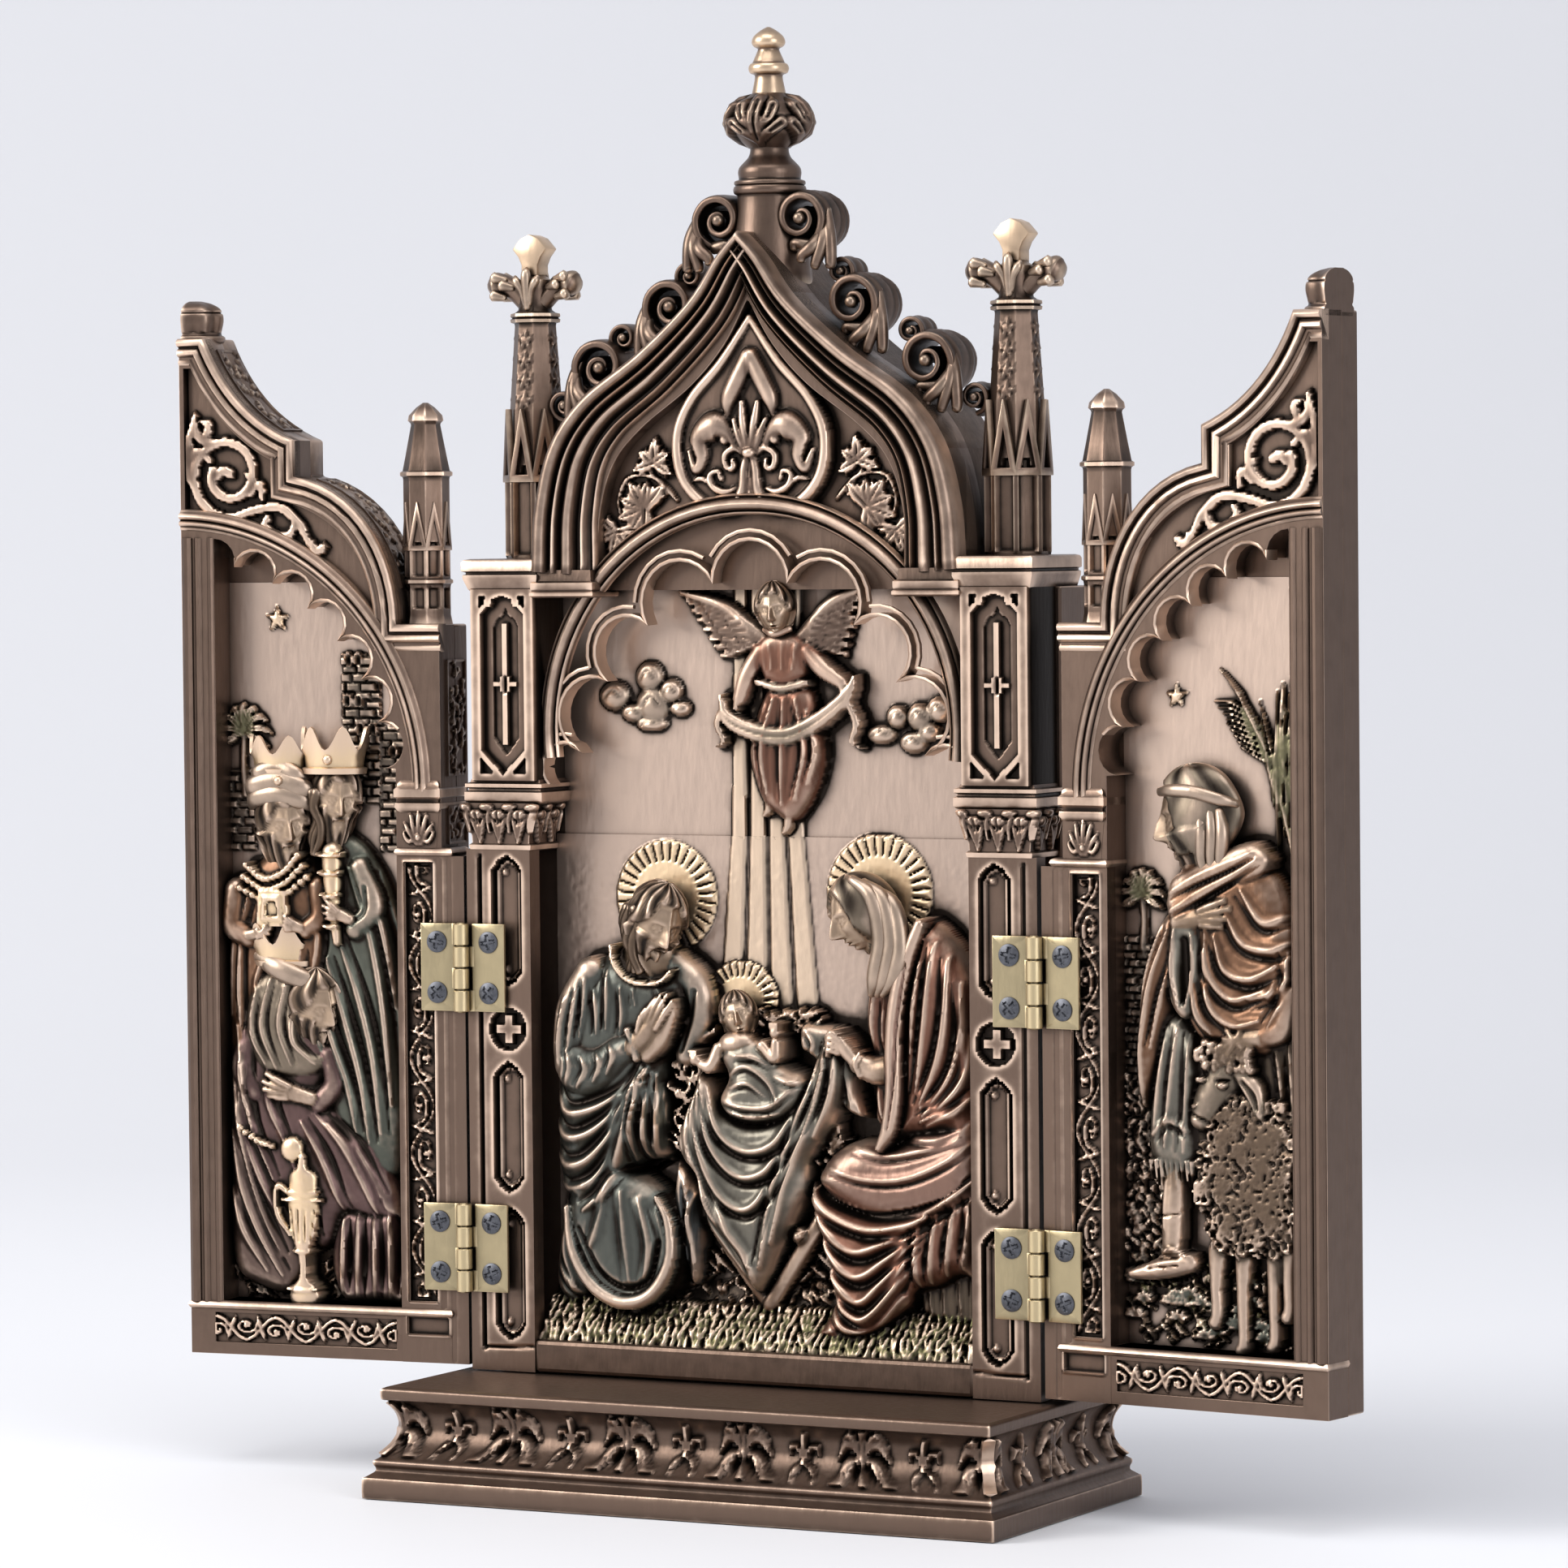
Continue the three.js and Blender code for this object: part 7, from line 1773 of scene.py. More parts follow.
def three_kings():
    field = Carving(NICHE_WEST - 0.3, NICHE_EAST + 0.3, NICHE_SILL - 0.3, 184, 0.385, SKY, ground=0.2)
    star(field, 45.5, 176.4, 2.7, 1.3)
    bricks(field, 51, 57.4, 128, 145, 0.9)
    palm(field, 53.4, 153, 6.4, 140)
    bricks(field, 22, 30.6, 138, 169, 1.1)
    bricks(field, 14, 22.4, 128, 154, 0.9)
    for x, z in ((29, 168), (26.8, 168), (29.4, 159.4), (26.8, 159.4), (26.4, 153.6), (23.6, 153.6),
                 (19, 149)):
        field.dome(x, z, 1.2, 1.5, 1.9, 0.6, STONE)
        field.fold([(x, z - 0.6, 0.6, -1.5), (x, z + 0.4, 0.6, -1.5)], steps=3)
    strokes(field, 90, 15.6, 56.6, 34.6, 44, (3, 3), 0.45, 1.6, STONE)
    gown = field.patch([(30, 133), (24.4, 129), (19, 120), (16.8, 108), (16.2, 92), (16.6, 74), (18, 62),
                        (24, 58), (31, 66), (36, 80), (39, 92), (38.6, 108), (36.6, 122), (34, 132)], 4.0,
                       5, 3.8, GREEN)
    folds(field, gown, [
        [(28, 125), (23, 110), (20.2, 94), (19, 76)], [(30.4, 110), (26, 98), (23, 86), (21.4, 70)],
        [(33.4, 106), (29.4, 94), (26, 82), (24, 68)], [(36, 100), (32.6, 90), (28.8, 80), (27, 70)],
        [(24, 124), (19.8, 110), (18.2, 96)], [(37.6, 96), (35, 88), (31.4, 78)]], 1.15, 1.15, 0.7)
    robe = field.patch([(40, 129), (46, 128.6), (52, 124), (56, 115), (57, 102), (57, 84), (52, 78), (44, 84),
                        (38, 92), (33.4, 100), (31.8, 108), (33, 118), (36, 126)], 4.6, 5, 4.2, RUST)
    folds(field, robe, [[(50, 122), (53, 112), (53.6, 100), (52.6, 88)],
                        [(53.4, 118), (55.6, 106), (55.8, 94)], [(47, 108), (49.4, 100), (49, 90)],
                        [(43, 108), (44, 100), (43.4, 92)], [(36, 118), (35, 110), (36.6, 102)],
                        [(39, 108), (39.4, 102), (38.6, 96)]], 1.0, 1.0, 0.7)
    for k in range(3):
        beads(field, [(39 - k * 0.9, 127.6 - k * 2.3), (42.4, 124 - k * 2.4), (47, 122.6 - k * 2.2),
                      (51 + k * 0.8, 125.4 - k * 2.4)], 13, 0.8, 6.4 - 0.1 * k)
    for grow, rise in ((0, 6.4), (-1.2, 6.9), (-2.3, 6.3)):
        field.patch([(41 - grow, 112.6 - grow), (48.6 + grow, 112.6 - grow), (48.2 + grow, 120.4 + grow),
                     (41.6 - grow, 120.4 + grow)], rise, 0.4, 0.5, GOLD, smooth=False)
        if grow == -2.3:
            field.h = np.where(field.last, 6.2, field.h)
    field.roll([(54.6, 120, 2.6, 5.6), (55, 113, 2.8, 6.2), (51, 110.4, 2.4, 6.4)], RUST, soft=0.6)
    field.roll([(35.4, 121, 2.4, 5.4), (34.6, 115, 2.4, 6), (37.6, 112, 2, 6.3)], RUST, soft=0.6)
    hand(field, (50.6, 110.8), [(45.6, 113.4), (45.4, 112.2), (45.6, 111), (46.4, 110)], 6.8, 0.6)
    hand(field, (38.4, 112.4), [(42.6, 115.4), (42.8, 114.2), (42.8, 113), (42.2, 112)], 6.8, 0.6)
    field.roll([(26, 125, 2.4, 5), (22.6, 117, 2.8, 5.8), (26.4, 112.4, 2.5, 6.1)], GREEN, soft=0.6)
    field.fold([(24, 121, 0.5, -0.6), (24, 116, 0.5, -0.7), (27, 113.6, 0.4, -0.5)])
    field.roll([(31.6, 128, 2.5, 6.3), (31.4, 122, 2.1, 6.4), (30.8, 115, 1.4, 6.3),
                (30.4, 109.6, 0.8, 6)], GOLD)
    for z, half in ((127.8, 2.9), (124, 2.5), (119.4, 2.1), (113, 1.5)):
        field.roll([(31.6 - half, z, 0.42, 6.8), (31.4, z - 0.3, 0.45, 7.1), (31.4 + half, z, 0.42, 6.8)],
                   GOLD, steps=4)
    hand(field, (27.2, 114.4), [(32.6, 118.6), (33, 117.2), (33, 115.8), (32.4, 114.6)], 6.9, 0.6)
    cape = field.patch([(46, 106), (52, 100), (56, 90), (57, 78), (57, 60), (56.6, 42), (50, 37),
                        (42, 36), (38, 44), (42, 58), (44, 72), (40, 88), (41, 100)], 4.8, 4, 4.4, CAPE)
    folds(field, cape, [[(55.4, 82), (52.6, 66), (49.4, 54), (44.4, 44)],
                        [(56, 70), (53, 58), (49, 48), (44, 40)], [(56.2, 58), (52.6, 49), (47.6, 41)],
                        [(54, 92), (52, 78), (50, 66)]], 1.2, 1.3, 0.7)
    coat = field.patch([(36, 92), (33, 90), (31.4, 87), (32, 84), (35, 78), (31, 75), (27, 71.6),
                        (22, 68), (18.4, 60), (17, 52.6), (24, 51.4), (30, 52.6), (33, 47), (40, 43.6),
                        (45, 46), (49, 52), (53.4, 60), (56, 70), (55.4, 82), (53, 92), (48.6, 99),
                        (42, 98)], 5.2, 5.5, 4.6, PURPLE)
    folds(field, coat, [[(50, 96), (52, 84), (51, 72), (46, 60)],
                        [(53, 84), (53, 72), (48.6, 60), (43, 50)], [(46.6, 84), (46.4, 76), (43, 68)],
                        [(36, 74), (30, 68), (25, 60), (22, 53.4)], [(33, 72), (26.4, 66), (21.4, 57)],
                        [(39, 72), (34, 64), (30, 54)], [(43, 68), (38.6, 58), (36.4, 48)],
                        [(50, 90), (47.4, 88)]], 1.15, 1.1, 0.7)
    skirt = field.patch([(18, 54.6), (16.6, 44), (16.4, 35), (22, 34.6), (31, 34.8), (34, 44), (31, 53.6),
                         (24, 54)], 4.4, 3, 4.4, PURPLE)
    folds(field, skirt, [[(19.6, 53), (19, 44), (19.4, 36)], [(23, 53), (22.6, 44), (23, 36)],
                         [(26.6, 53), (26.6, 44), (27, 36)], [(30, 52), (30, 44), (30.6, 37)]], 0.9, 1.3, 0.7)
    drape = field.patch([(40, 102), (46, 103.6), (51, 99), (52, 90), (48.6, 82.6), (42, 80.6), (35.6, 82),
                         (33, 85.6), (37, 88), (39.6, 94)], 6.0, 3, 2.8, VEIL)
    folds(field, drape, [[(42, 101), (43.6, 92), (41, 84)], [(45.6, 101.6), (47.6, 92), (44.4, 83)],
                         [(49, 100), (50.2, 91), (47, 84)], [(40.6, 96), (40.4, 89), (35.6, 84.4)]], 0.75,
          0.7)
    field.roll([(51, 90, 2.8, 5.4), (53, 83, 3.0, 5.8), (50, 78, 2.4, 6)], PURPLE, soft=0.5)
    field.roll([(33.4, 86, 2.2, 5.2), (32, 80, 2.6, 5.8), (35.4, 76, 2.4, 6.0)], PURPLE, soft=0.5)
    hand(field, (36.6, 77), [(46.6, 82), (47.4, 80.4), (47.2, 78.8), (46, 77.4)], 7.0, 0.8)
    beads(field, [(53, 70.6), (49, 68), (45.6, 67)], 7, 0.7, 7.0)
    field.dome(41, 66.4, 2.6, 2.6, 7.1, 1.2, GOLD)
    field.roll([(38.4, 64.8, 0.7, 7), (38.6, 62.6, 1.2, 7.1), (38.6, 61.2, 3.0, 7.1),
                (38.6, 58.4, 3.4, 7.2), (38.6, 56.4, 4.1, 7.2), (38.6, 54.4, 3.6, 7.2),
                (38.6, 49.6, 3.0, 7.2), (38.6, 46, 1.7, 7.1), (38.6, 43.4, 0.9, 6.8),
                (38.6, 39.8, 1.0, 6.8), (38.6, 37.8, 3.0, 6.9), (38.6, 36.2, 3.6, 6.9)], GOLD, flat=0.5,
               steps=5)
    for z, half in ((57.6, 3.5), (56, 4.4), (45.4, 2.0), (37.4, 3.3)):
        field.roll([(38.6 - half, z, 0.4, 7.0), (38.6, z - 0.35, 0.45, 7.3), (38.6 + half, z, 0.4, 7.0)],
                   GOLD, steps=4)
    for lean in (-1.8, -0.6, 0.6, 1.8):
        field.fold([(38.6 + lean * 1.5, 54, 0.2, -0.5), (38.6 + lean, 47.4, 0.2, -0.5)], steps=3)
    field.roll([(41.8, 57.4, 0.6, 6.8), (44.4, 58.6, 0.6, 6.9), (44.4, 53, 0.6, 6.9),
                (41.4, 48.6, 0.5, 6.8)], GOLD)
    return np.minimum(field.h, 7.25), field


def shepherd():
    field = Carving(NICHE_WEST - 0.3, NICHE_EAST + 0.3, NICHE_SILL - 0.3, 184, 0.385, SKY, ground=0.2)
    star(field, 55.6, 181, 2.6, 1.3)
    star(field, 27.6, 161, 2.3, 1.3)
    bricks(field, 15, 21.4, 84, 114, 1.0, 1.6, 2.6)
    palm(field, 19.6, 122.4, 5.4, 112)
    strokes(field, 160, 15.4, 24, 50, 86, (2.4, 2.4), 0.5, 1.4, STONE)
    for _ in range(22):
        bend = chance.uniform(-5, 3)
        foot, top = (chance.uniform(49, 57), chance.uniform(128, 146)), chance.uniform(148, 166)
        field.roll([(*foot, 0.35, 1.2), (foot[0] + bend * 0.3, 0.5 * (foot[1] + top), 0.42, 1.9),
                    (foot[0] + bend, top, 0.12, 1.0)], REED, flat=1.6, steps=5)
    for k in range(9):
        root = (49.5 - k * 0.75, 148 + k * 1.3)
        field.roll([(*root, 0.4, 1.5), (root[0] - 1.6, root[1] + 3.6, 0.36, 1.9),
                    (root[0] - 3 - 0.4 * k, root[1] + 8.2, 0.12, 1.2)], REED, steps=5)
        field.roll([(*root, 0.4, 1.5), (root[0] - 3.6, root[1] + 1.6, 0.36, 1.8),
                    (root[0] - 7.4, root[1] + 3.4 - k * 0.2, 0.12, 1.2)], REED, steps=5)
    field.roll([(55, 126, 0.6, 1.5), (51, 142, 0.6, 1.7), (45, 156, 0.4, 1.6)], REED)
    for _ in range(26):
        x, z = chance.uniform(17, 56), chance.uniform(36, 48)
        for a in np.linspace(0.2, 2.9, 5):
            field.roll([(x, z, 0.4, 1.8), (x + 1.6 * math.cos(a), z + 1.6 * math.sin(a), 0.5, 2.4),
                        (x + 2.6 * math.cos(a + 0.3), z + 2.2 * math.sin(a + 0.3), 0.2, 1.8)], GREEN, steps=4)
    strokes(field, 130, 15.4, 57, 34.6, 50, (3, 3), 0.4, 1.5, GRASS)
    under = field.patch([(33, 96), (31, 84), (31.6, 72), (34, 60), (40, 58), (50, 60), (56.8, 64),
                         (57, 96), (46, 98)], 3.4, 3, 3, EARTH)
    folds(field, under, [[(54, 94), (55, 82), (54.6, 70)], [(51, 94), (52.6, 84), (53, 74)]], 0.9, 1.0)
    thigh = field.patch([(31, 100), (26.4, 99), (23.6, 90), (22, 80), (22, 73), (24.4, 69.4), (29, 68.4),
                         (33, 70), (34, 80), (34.6, 92)], 5.4, 5, 4.6, SILVER)
    folds(field, thigh, [[(27, 97), (25.4, 86), (24, 76)], [(30, 97), (28.6, 86), (27, 74)],
                         [(32.4, 96), (32, 84), (31, 73)], [(24, 76), (28, 79), (32, 77)]], 0.95, 0.9)
    for k in range(9):
        x = 23.4 + k * 1.15
        field.roll([(x, 71, 0.55, 5), (x - 0.2 + 0.4 * (k % 2), 67.2 - (k % 3), 0.2, 4.2)], SILVER, steps=3)
    field.roll([(28.2, 70, 2.6, 4.4), (27.6, 62, 2.6, 4.9), (27.4, 54, 2.3, 4.9)], SKIN, soft=0.5)
    field.fold([(26.4, 67, 0.5, 0.35), (26.2, 58, 0.4, 0.35)])
    field.roll([(31.4, 51.4, 2.0, 4.8), (27.4, 50.8, 2.6, 5.2), (23, 49.4, 1.9, 5),
                (18.4, 48.6, 1.0, 4.6)], STRAW, soft=0.3)
    field.fold([(24.4, 52.6, 0.4, 0.8), (28, 53.8, 0.45, 0.9), (31.4, 52.8, 0.4, 0.8)])
    for z in (51.6, 50, 60):
        field.fold([(22.6, z, 0.22, -0.5), (29.4, z + 0.8, 0.22, -0.5)], steps=3)
    flank = field.patch([(34.8, 58), (34, 70), (35.6, 79), (41, 84), (50, 84), (57.2, 78), (57.2, 58),
                         (52, 53.6), (41, 53.4)], 5.0, 6, 4.4, HAIR)
    for x0, z0, z1 in ((43.4, 56, 35), (37.4, 54, 40), (50.4, 56, 36), (53.6, 58, 42)):
        field.roll([(x0, z0, 2.4, 4.2), (x0 - 0.2, 0.5 * (z0 + z1) + 1, 1.5, 4.2), (x0, z1 + 2, 1.35, 4.2),
                    (x0 - 0.6, z1, 1.5, 4.2)], EARTH)
    for _ in range(430):
        x, z = chance.uniform(34, 57), chance.uniform(53.6, 84)
        k = np.searchsorted(field.z[:, 0], z), np.searchsorted(field.x[0], x)
        if not flank[k]:
            continue
        top = min(field.h[k], 5.0)
        turn = chance.uniform(0, 2 * math.pi)
        field.roll([(x + 0.9 * math.cos(turn + t), z + 0.9 * math.sin(turn + t), 0.38, top + 0.6)
                    for t in np.linspace(0, 4.2, 5)], HAIR, steps=2)
    field.roll([(42, 92, 4.6, 5.8), (39.4, 87.6, 5.0, 6.4), (36.4, 82.6, 3.6, 6.6),
                (34.8, 79.6, 2.4, 6.2)], VEIL, soft=0.8)
    for x, z in ((35.8, 87.4), (40.6, 86.4)):
        field.dome(x, z, 1.0, 0.7, 7.2, 0.7, HAIR)
        field.fold([(x - 1.2, z + 0.9, 0.3, -0.6), (x + 1.2, z + 0.9, 0.3, -0.6)], steps=3)
    field.roll([(44, 88.6, 1.6, 6.2), (47, 85.6, 2.3, 6.6), (48.6, 80.8, 0.9, 6.0)], VEIL, soft=0.3)
    field.fold([(45, 87, 0.5, -0.9), (47.2, 84.6, 0.7, -1.3), (48, 82, 0.4, -0.8)])
    field.fold([(33.4, 80.6, 0.25, -0.6), (36.4, 79.4, 0.3, -0.7)], steps=3)
    field.dome(34.4, 82.2, 0.5, 0.4, 7.0, 0.4, HAIR)
    for _ in range(70):
        x, z = chance.uniform(34.6, 47), chance.uniform(89.4, 94.6)
        field.dome(x, z, 0.9, 0.9, 6.6, 0.8, HAIR)
    cloak = field.patch([(31, 130), (38, 130.6), (46, 130), (52.4, 126.4), (56.6, 116), (56.8, 104),
                         (54, 96), (49, 91.6), (42, 93), (35, 94), (31, 99), (29, 106), (28, 114),
                         (28, 124)], 6.2, 5, 5, RUST)
    folds(field, cloak, [[(37, 118), (38, 108), (43, 103), (50, 105)],
                         [(39, 115), (41.6, 108.6), (47, 107), (53, 109.6)],
                         [(36.4, 112), (38, 102), (43, 98), (49, 99)],
                         [(41, 121), (45.4, 114), (51.4, 112.6), (55.6, 114)],
                         [(45, 124), (50, 118), (55, 119)], [(34, 108), (35, 100), (38, 96)],
                         [(55, 112), (54.6, 104), (51, 98)], [(47, 103), (52, 104.4), (55.6, 107)]], 1.2,
          1.15, 0.7)
    fall = field.patch([(30.6, 120), (26.4, 119), (22.8, 112), (20.4, 103), (19.2, 92), (20.4, 81.6),
                        (22.4, 82.6), (25.4, 91), (28, 99), (30, 108)], 5.2, 3, 4.4, RUST)
    folds(field, fall, [[(28, 116), (24, 106), (21.6, 94), (21, 84)], [(29.6, 112), (26.6, 103), (23.8, 93)],
                        [(26, 117), (22.4, 107), (20.6, 97)]], 0.9, 1.0)
    lining = field.patch([(28.6, 118), (35, 117), (36.4, 110), (35, 102), (31.6, 98.6), (28.4, 102),
                          (27.6, 110)], 6.5, 2, 3, SILVER)
    folds(field, lining, [[(30, 116), (29.6, 108), (31, 101)], [(34, 115), (34.4, 108), (32.6, 101.4)]],
          0.8, 0.8)
    field.fold([(32, 114, 0.9, -1.6), (32, 107, 1.1, -2.0), (31.8, 102.4, 0.6, -1.4)], lining)
    scarf = field.patch([(27.6, 121), (29, 126), (34, 128.6), (40, 131.4), (47, 133.4), (51.4, 130),
                         (48, 125.6), (42, 124), (37, 121), (33, 118), (29, 117.4)], 6.9, 2.4, 3, RUST)
    folds(field, scarf, [[(29, 119.4), (35, 122.4), (42, 126), (49, 130)],
                         [(29, 123), (35, 125.8), (42, 128.6), (48, 131.4)],
                         [(30.6, 118.4), (36, 120.4)]], 0.8, 0.9)
    hand(field, (30.6, 117.6), [(41.4, 122), (42.6, 120.4), (42.2, 118.6), (40.6, 117)], 7.1, 0.9)
    field.roll([(55, 104, 2.6, 6.4), (53, 98, 2.8, 6.6), (48.4, 95.6, 2.2, 6.4)], RUST, soft=0.6)
    hand(field, (48.4, 95.8), [(41.6, 97), (41, 95.4), (41.2, 94), (42, 92.6)], 6.9, 0.8)
    return np.minimum(field.h, 7.25), field


for side, draw in ((-1, three_kings), (1, shepherd)):
    word, body = SIDES[side]
    heights, field = draw()
    field.h = heights + 0.06 * field.blur(chance.normal(size=heights.shape), 0.35) * (heights > 0.4)
    carved = field.mesh(f"{word}_wing_relief", from_plane(WING_FLOOR), back=-1)
    dress(hang(carved, side), body, relief_bronze)

# ---------------------------------------------------------------- the heads
# One calm, plainly proportioned head serves every figure, turned and dressed to suit: eyes at
# half its height, nose and mouth on the thirds. Hair, beards and hoods grow out of its surface.


def bump(value, width):
    return np.exp(-(value / width) ** 2)


def face_relief(x, z):
    """How far the features stand forward, in half head heights, over a smooth oval."""
    eye = np.abs(x) - 0.27
    out = 0.05 * bump(z - 0.19, 0.09) * bump(np.abs(x) - 0.22, 0.26)
    out -= 0.12 * bump(eye, 0.15) * bump(z - 0.03, 0.12)
    out += 0.10 * np.sqrt(np.clip(1 - (eye / 0.135) ** 2 - ((z - 0.01) / 0.085) ** 2, 0, 1))
    out -= 0.03 * bump(eye, 0.12) * (bump(z - 0.105, 0.022) + 0.8 * bump(z + 0.095, 0.022))
    out -= 0.022 * bump(eye, 0.1) * bump(z - 0.0, 0.016)
    ridge = np.interp(z, [-0.47, -0.40, -0.32, 0.0, 0.18], [0, 0.25, 0.30, 0.15, 0.03])
    out += ridge * bump(x, np.interp(z, [-0.4, 0.15], [0.105, 0.07]))
    out += 0.10 * bump(np.abs(x) - 0.115, 0.055) * bump(z + 0.36, 0.055)
    out += 0.04 * bump(np.abs(x) - 0.38, 0.16) * bump(z + 0.22, 0.17)
    out += 0.085 * bump(x, 0.19) * (bump(z + 0.575, 0.04) + bump(z + 0.685, 0.045))
    out -= 0.055 * bump(x, 0.2) * bump(z + 0.63, 0.018)
    out -= 0.04 * bump(x, 0.14) * bump(z + 0.77, 0.04)
    return out + 0.09 * bump(x, 0.17) * bump(z + 0.90, 0.1)


FLESH = (0.340, 0.245, 0.170)


def head(place, size, turn, nod=0, tilt=0, flat=1.0, line=0.62, beard=0.0, hood=None, curls=9):
    """A head at a place, facing the front until it is turned, nodded and tilted, in degrees;
    line is where the hair starts over the brow, beard how far it falls below the chin."""
    s, t = np.meshgrid(np.linspace(-1, 1, 73), np.linspace(-1, 1, 51))
    angle, rise = math.pi * s - 0.62 * np.sin(math.pi * s), math.pi / 2 * t
    ax, ay, z = np.cos(rise) * np.sin(angle), -np.cos(rise) * np.cos(angle), np.sin(rise)
    low = np.clip((-z - 0.15) / 0.85, 0, 1)
    x = 0.70 * ax * (1 - 0.24 * low * np.where(ay < 0, 1, 0.4))
    y = np.where(ay < 0, 0.80, 0.92) * ay * (1 - 0.3 * low * (ay > 0))
    front = np.clip(-ay * 2.2, 0, 1)
    y -= 1.25 * face_relief(x, z) * front
    colour = np.empty(x.shape + (3,))
    colour[:] = FLESH
    dull = np.zeros(x.shape)

    def grow(mask, depth, tint, lines, swirl):
        nonlocal x, y, z
        wave = 0.5 + 0.5 * np.sin(lines * angle + swirl * np.sin(5 * z + 2 * angle))
        out = np.clip(mask, 0, 1) * (depth + 0.075 * wave)
        x, y, z = x + ax * out, y + ay * out, z + 0.6 * z * out
        colour[mask > 0.4] = tint
        dull[:] = np.where(mask > 0.4, 0.5 * wave - 0.42, dull)

    if beard:
        cheek = (np.abs(x) > 0.40 - 0.45 * np.clip(-z - 0.3, 0, 1)) & (z < -0.24)
        chin = (z < -0.46) & ((x / 0.19) ** 2 + ((z + 0.635) / 0.085) ** 2 > 1)
        mask = ((cheek | chin) & (ay < 0.1)).astype(float)
        grow(mask, 0.07, HAIR, 11, 1.4)
        drop = np.clip((-0.62 - z) / 0.4, 0, 1) * (ay < 0.2)
        z = z - beard * drop
        y = y - 0.18 * beard * drop
    if hood is None:
        edge = line - 0.9 * np.clip(np.abs(x) - 0.30, 0, 1) * 2.2
        mask = np.clip((z - edge) / 0.05, 0, 1)
        mask = np.maximum(mask, np.clip((ay + 0.12) / 0.08, 0, 1))
        grow(mask, 0.11, HAIR, curls, 1.5)
    else:
        oval = np.hypot(x / 0.52, (z + 0.12) / 0.84)
        mask = np.maximum(np.clip((oval - 1) / 0.08, 0, 1) * (z > -0.75), np.clip((ay + 0.25) / 0.1, 0, 1))
        grow(mask, 0.19, hood, 5, 0.8)
    piece = skin("head", np.stack([x, y, z], axis=-1))
    attribute = piece.data.attributes.new("tint", "FLOAT_COLOR", "POINT")
    attribute.data.foreach_set("color", np.dstack([colour, np.ones(x.shape)]).astype(np.float32).ravel())
    shade = piece.data.attributes.new("dull", "FLOAT", "POINT")
    shade.data.foreach_set("value", dull.astype(np.float32).ravel())
    piece.data.transform(Matrix.Translation(Vector(place) * MM) @ Matrix.Diagonal((1, flat, 1,
            1)) @ Matrix.Rotation(math.radians(turn), 4, "Z") @ Matrix.Rotation(math.radians(nod), 4,
            "X") @ Matrix.Rotation(math.radians(tilt), 4, "Y") @ Matrix.Scale(size, 4))
    close(piece, turn=75)
    rub(piece, strength=1.1, level=0.6)
    count = len(piece.data.vertices)
    wear, extra = np.empty(count, np.float32), np.empty(count, np.float32)
    piece.data.attributes["wear"].data.foreach_get("value", wear)
    piece.data.attributes["dull"].data.foreach_get("value", extra)
    piece.data.attributes["wear"].data.foreach_set("value", np.clip(wear + extra, 0, 1))
    piece.data.attributes.remove(piece.data.attributes["dull"])
    return piece


def washed(piece, tint, level=0.55):
    """A plain form in one thin colour, worn on its crests."""
    rub(piece, strength=1.3, level=level)
    attribute = piece.data.attributes.new("tint", "FLOAT_COLOR", "POINT")
    attribute.data.foreach_set("color", np.tile((*tint, 1), len(piece.data.vertices)).astype(np.float32))
    return piece


def locks(x, y, z, size, turn, fall, side=1):
    """Hair that falls in waves from behind an ear."""
    found = []
    for k in range(4):
        sway = 0.14 * size
        a = math.radians(turn) + side * (1.25 + 0.28 * k)
        path = [(x + size * (0.72 * math.sin(a)) + sway * math.sin(1.9 * n + k),
                 y - size * 0.72 * math.cos(a) * 0.7, z + size * (0.35 - fall * n / 4),
                 size * (0.2 - 0.02 * n)) for n in range(5)]
        found.append(washed(limb("lock", path, steps=4, sides=8), HAIR, 0.3))
    return found


def gold_crown(x, y, z, half, tall, lean=0):
    """An open crown: a band under a row of points."""
    a = np.linspace(0, 2 * math.pi, 61)
    point = 0.5 + 0.5 * np.cos(6 * a)
    rows = []
    for share, out in ((0, 0), (0, 0.12), (0.16, 0.16), (0.2, 0.02), (0.5, 0.06), (1, 0.2), (1, 0.08),
                       (0.5, -0.06), (0, -0.12)):
        top = tall * (share if share < 0.5 else 0.5 + (share - 0.5) * (0.35 + 1.3 * point))
        r = half * (1 + out)
        rows.append(np.stack([x + r * np.cos(a) + lean * top, y + 0.62 * r * np.sin(a), z + top + 0 * a],
                             axis=-1))
    rows.append(rows[0])
    return washed(close(skin("crown", np.array(rows)), turn=40), GOLD, 0.62)


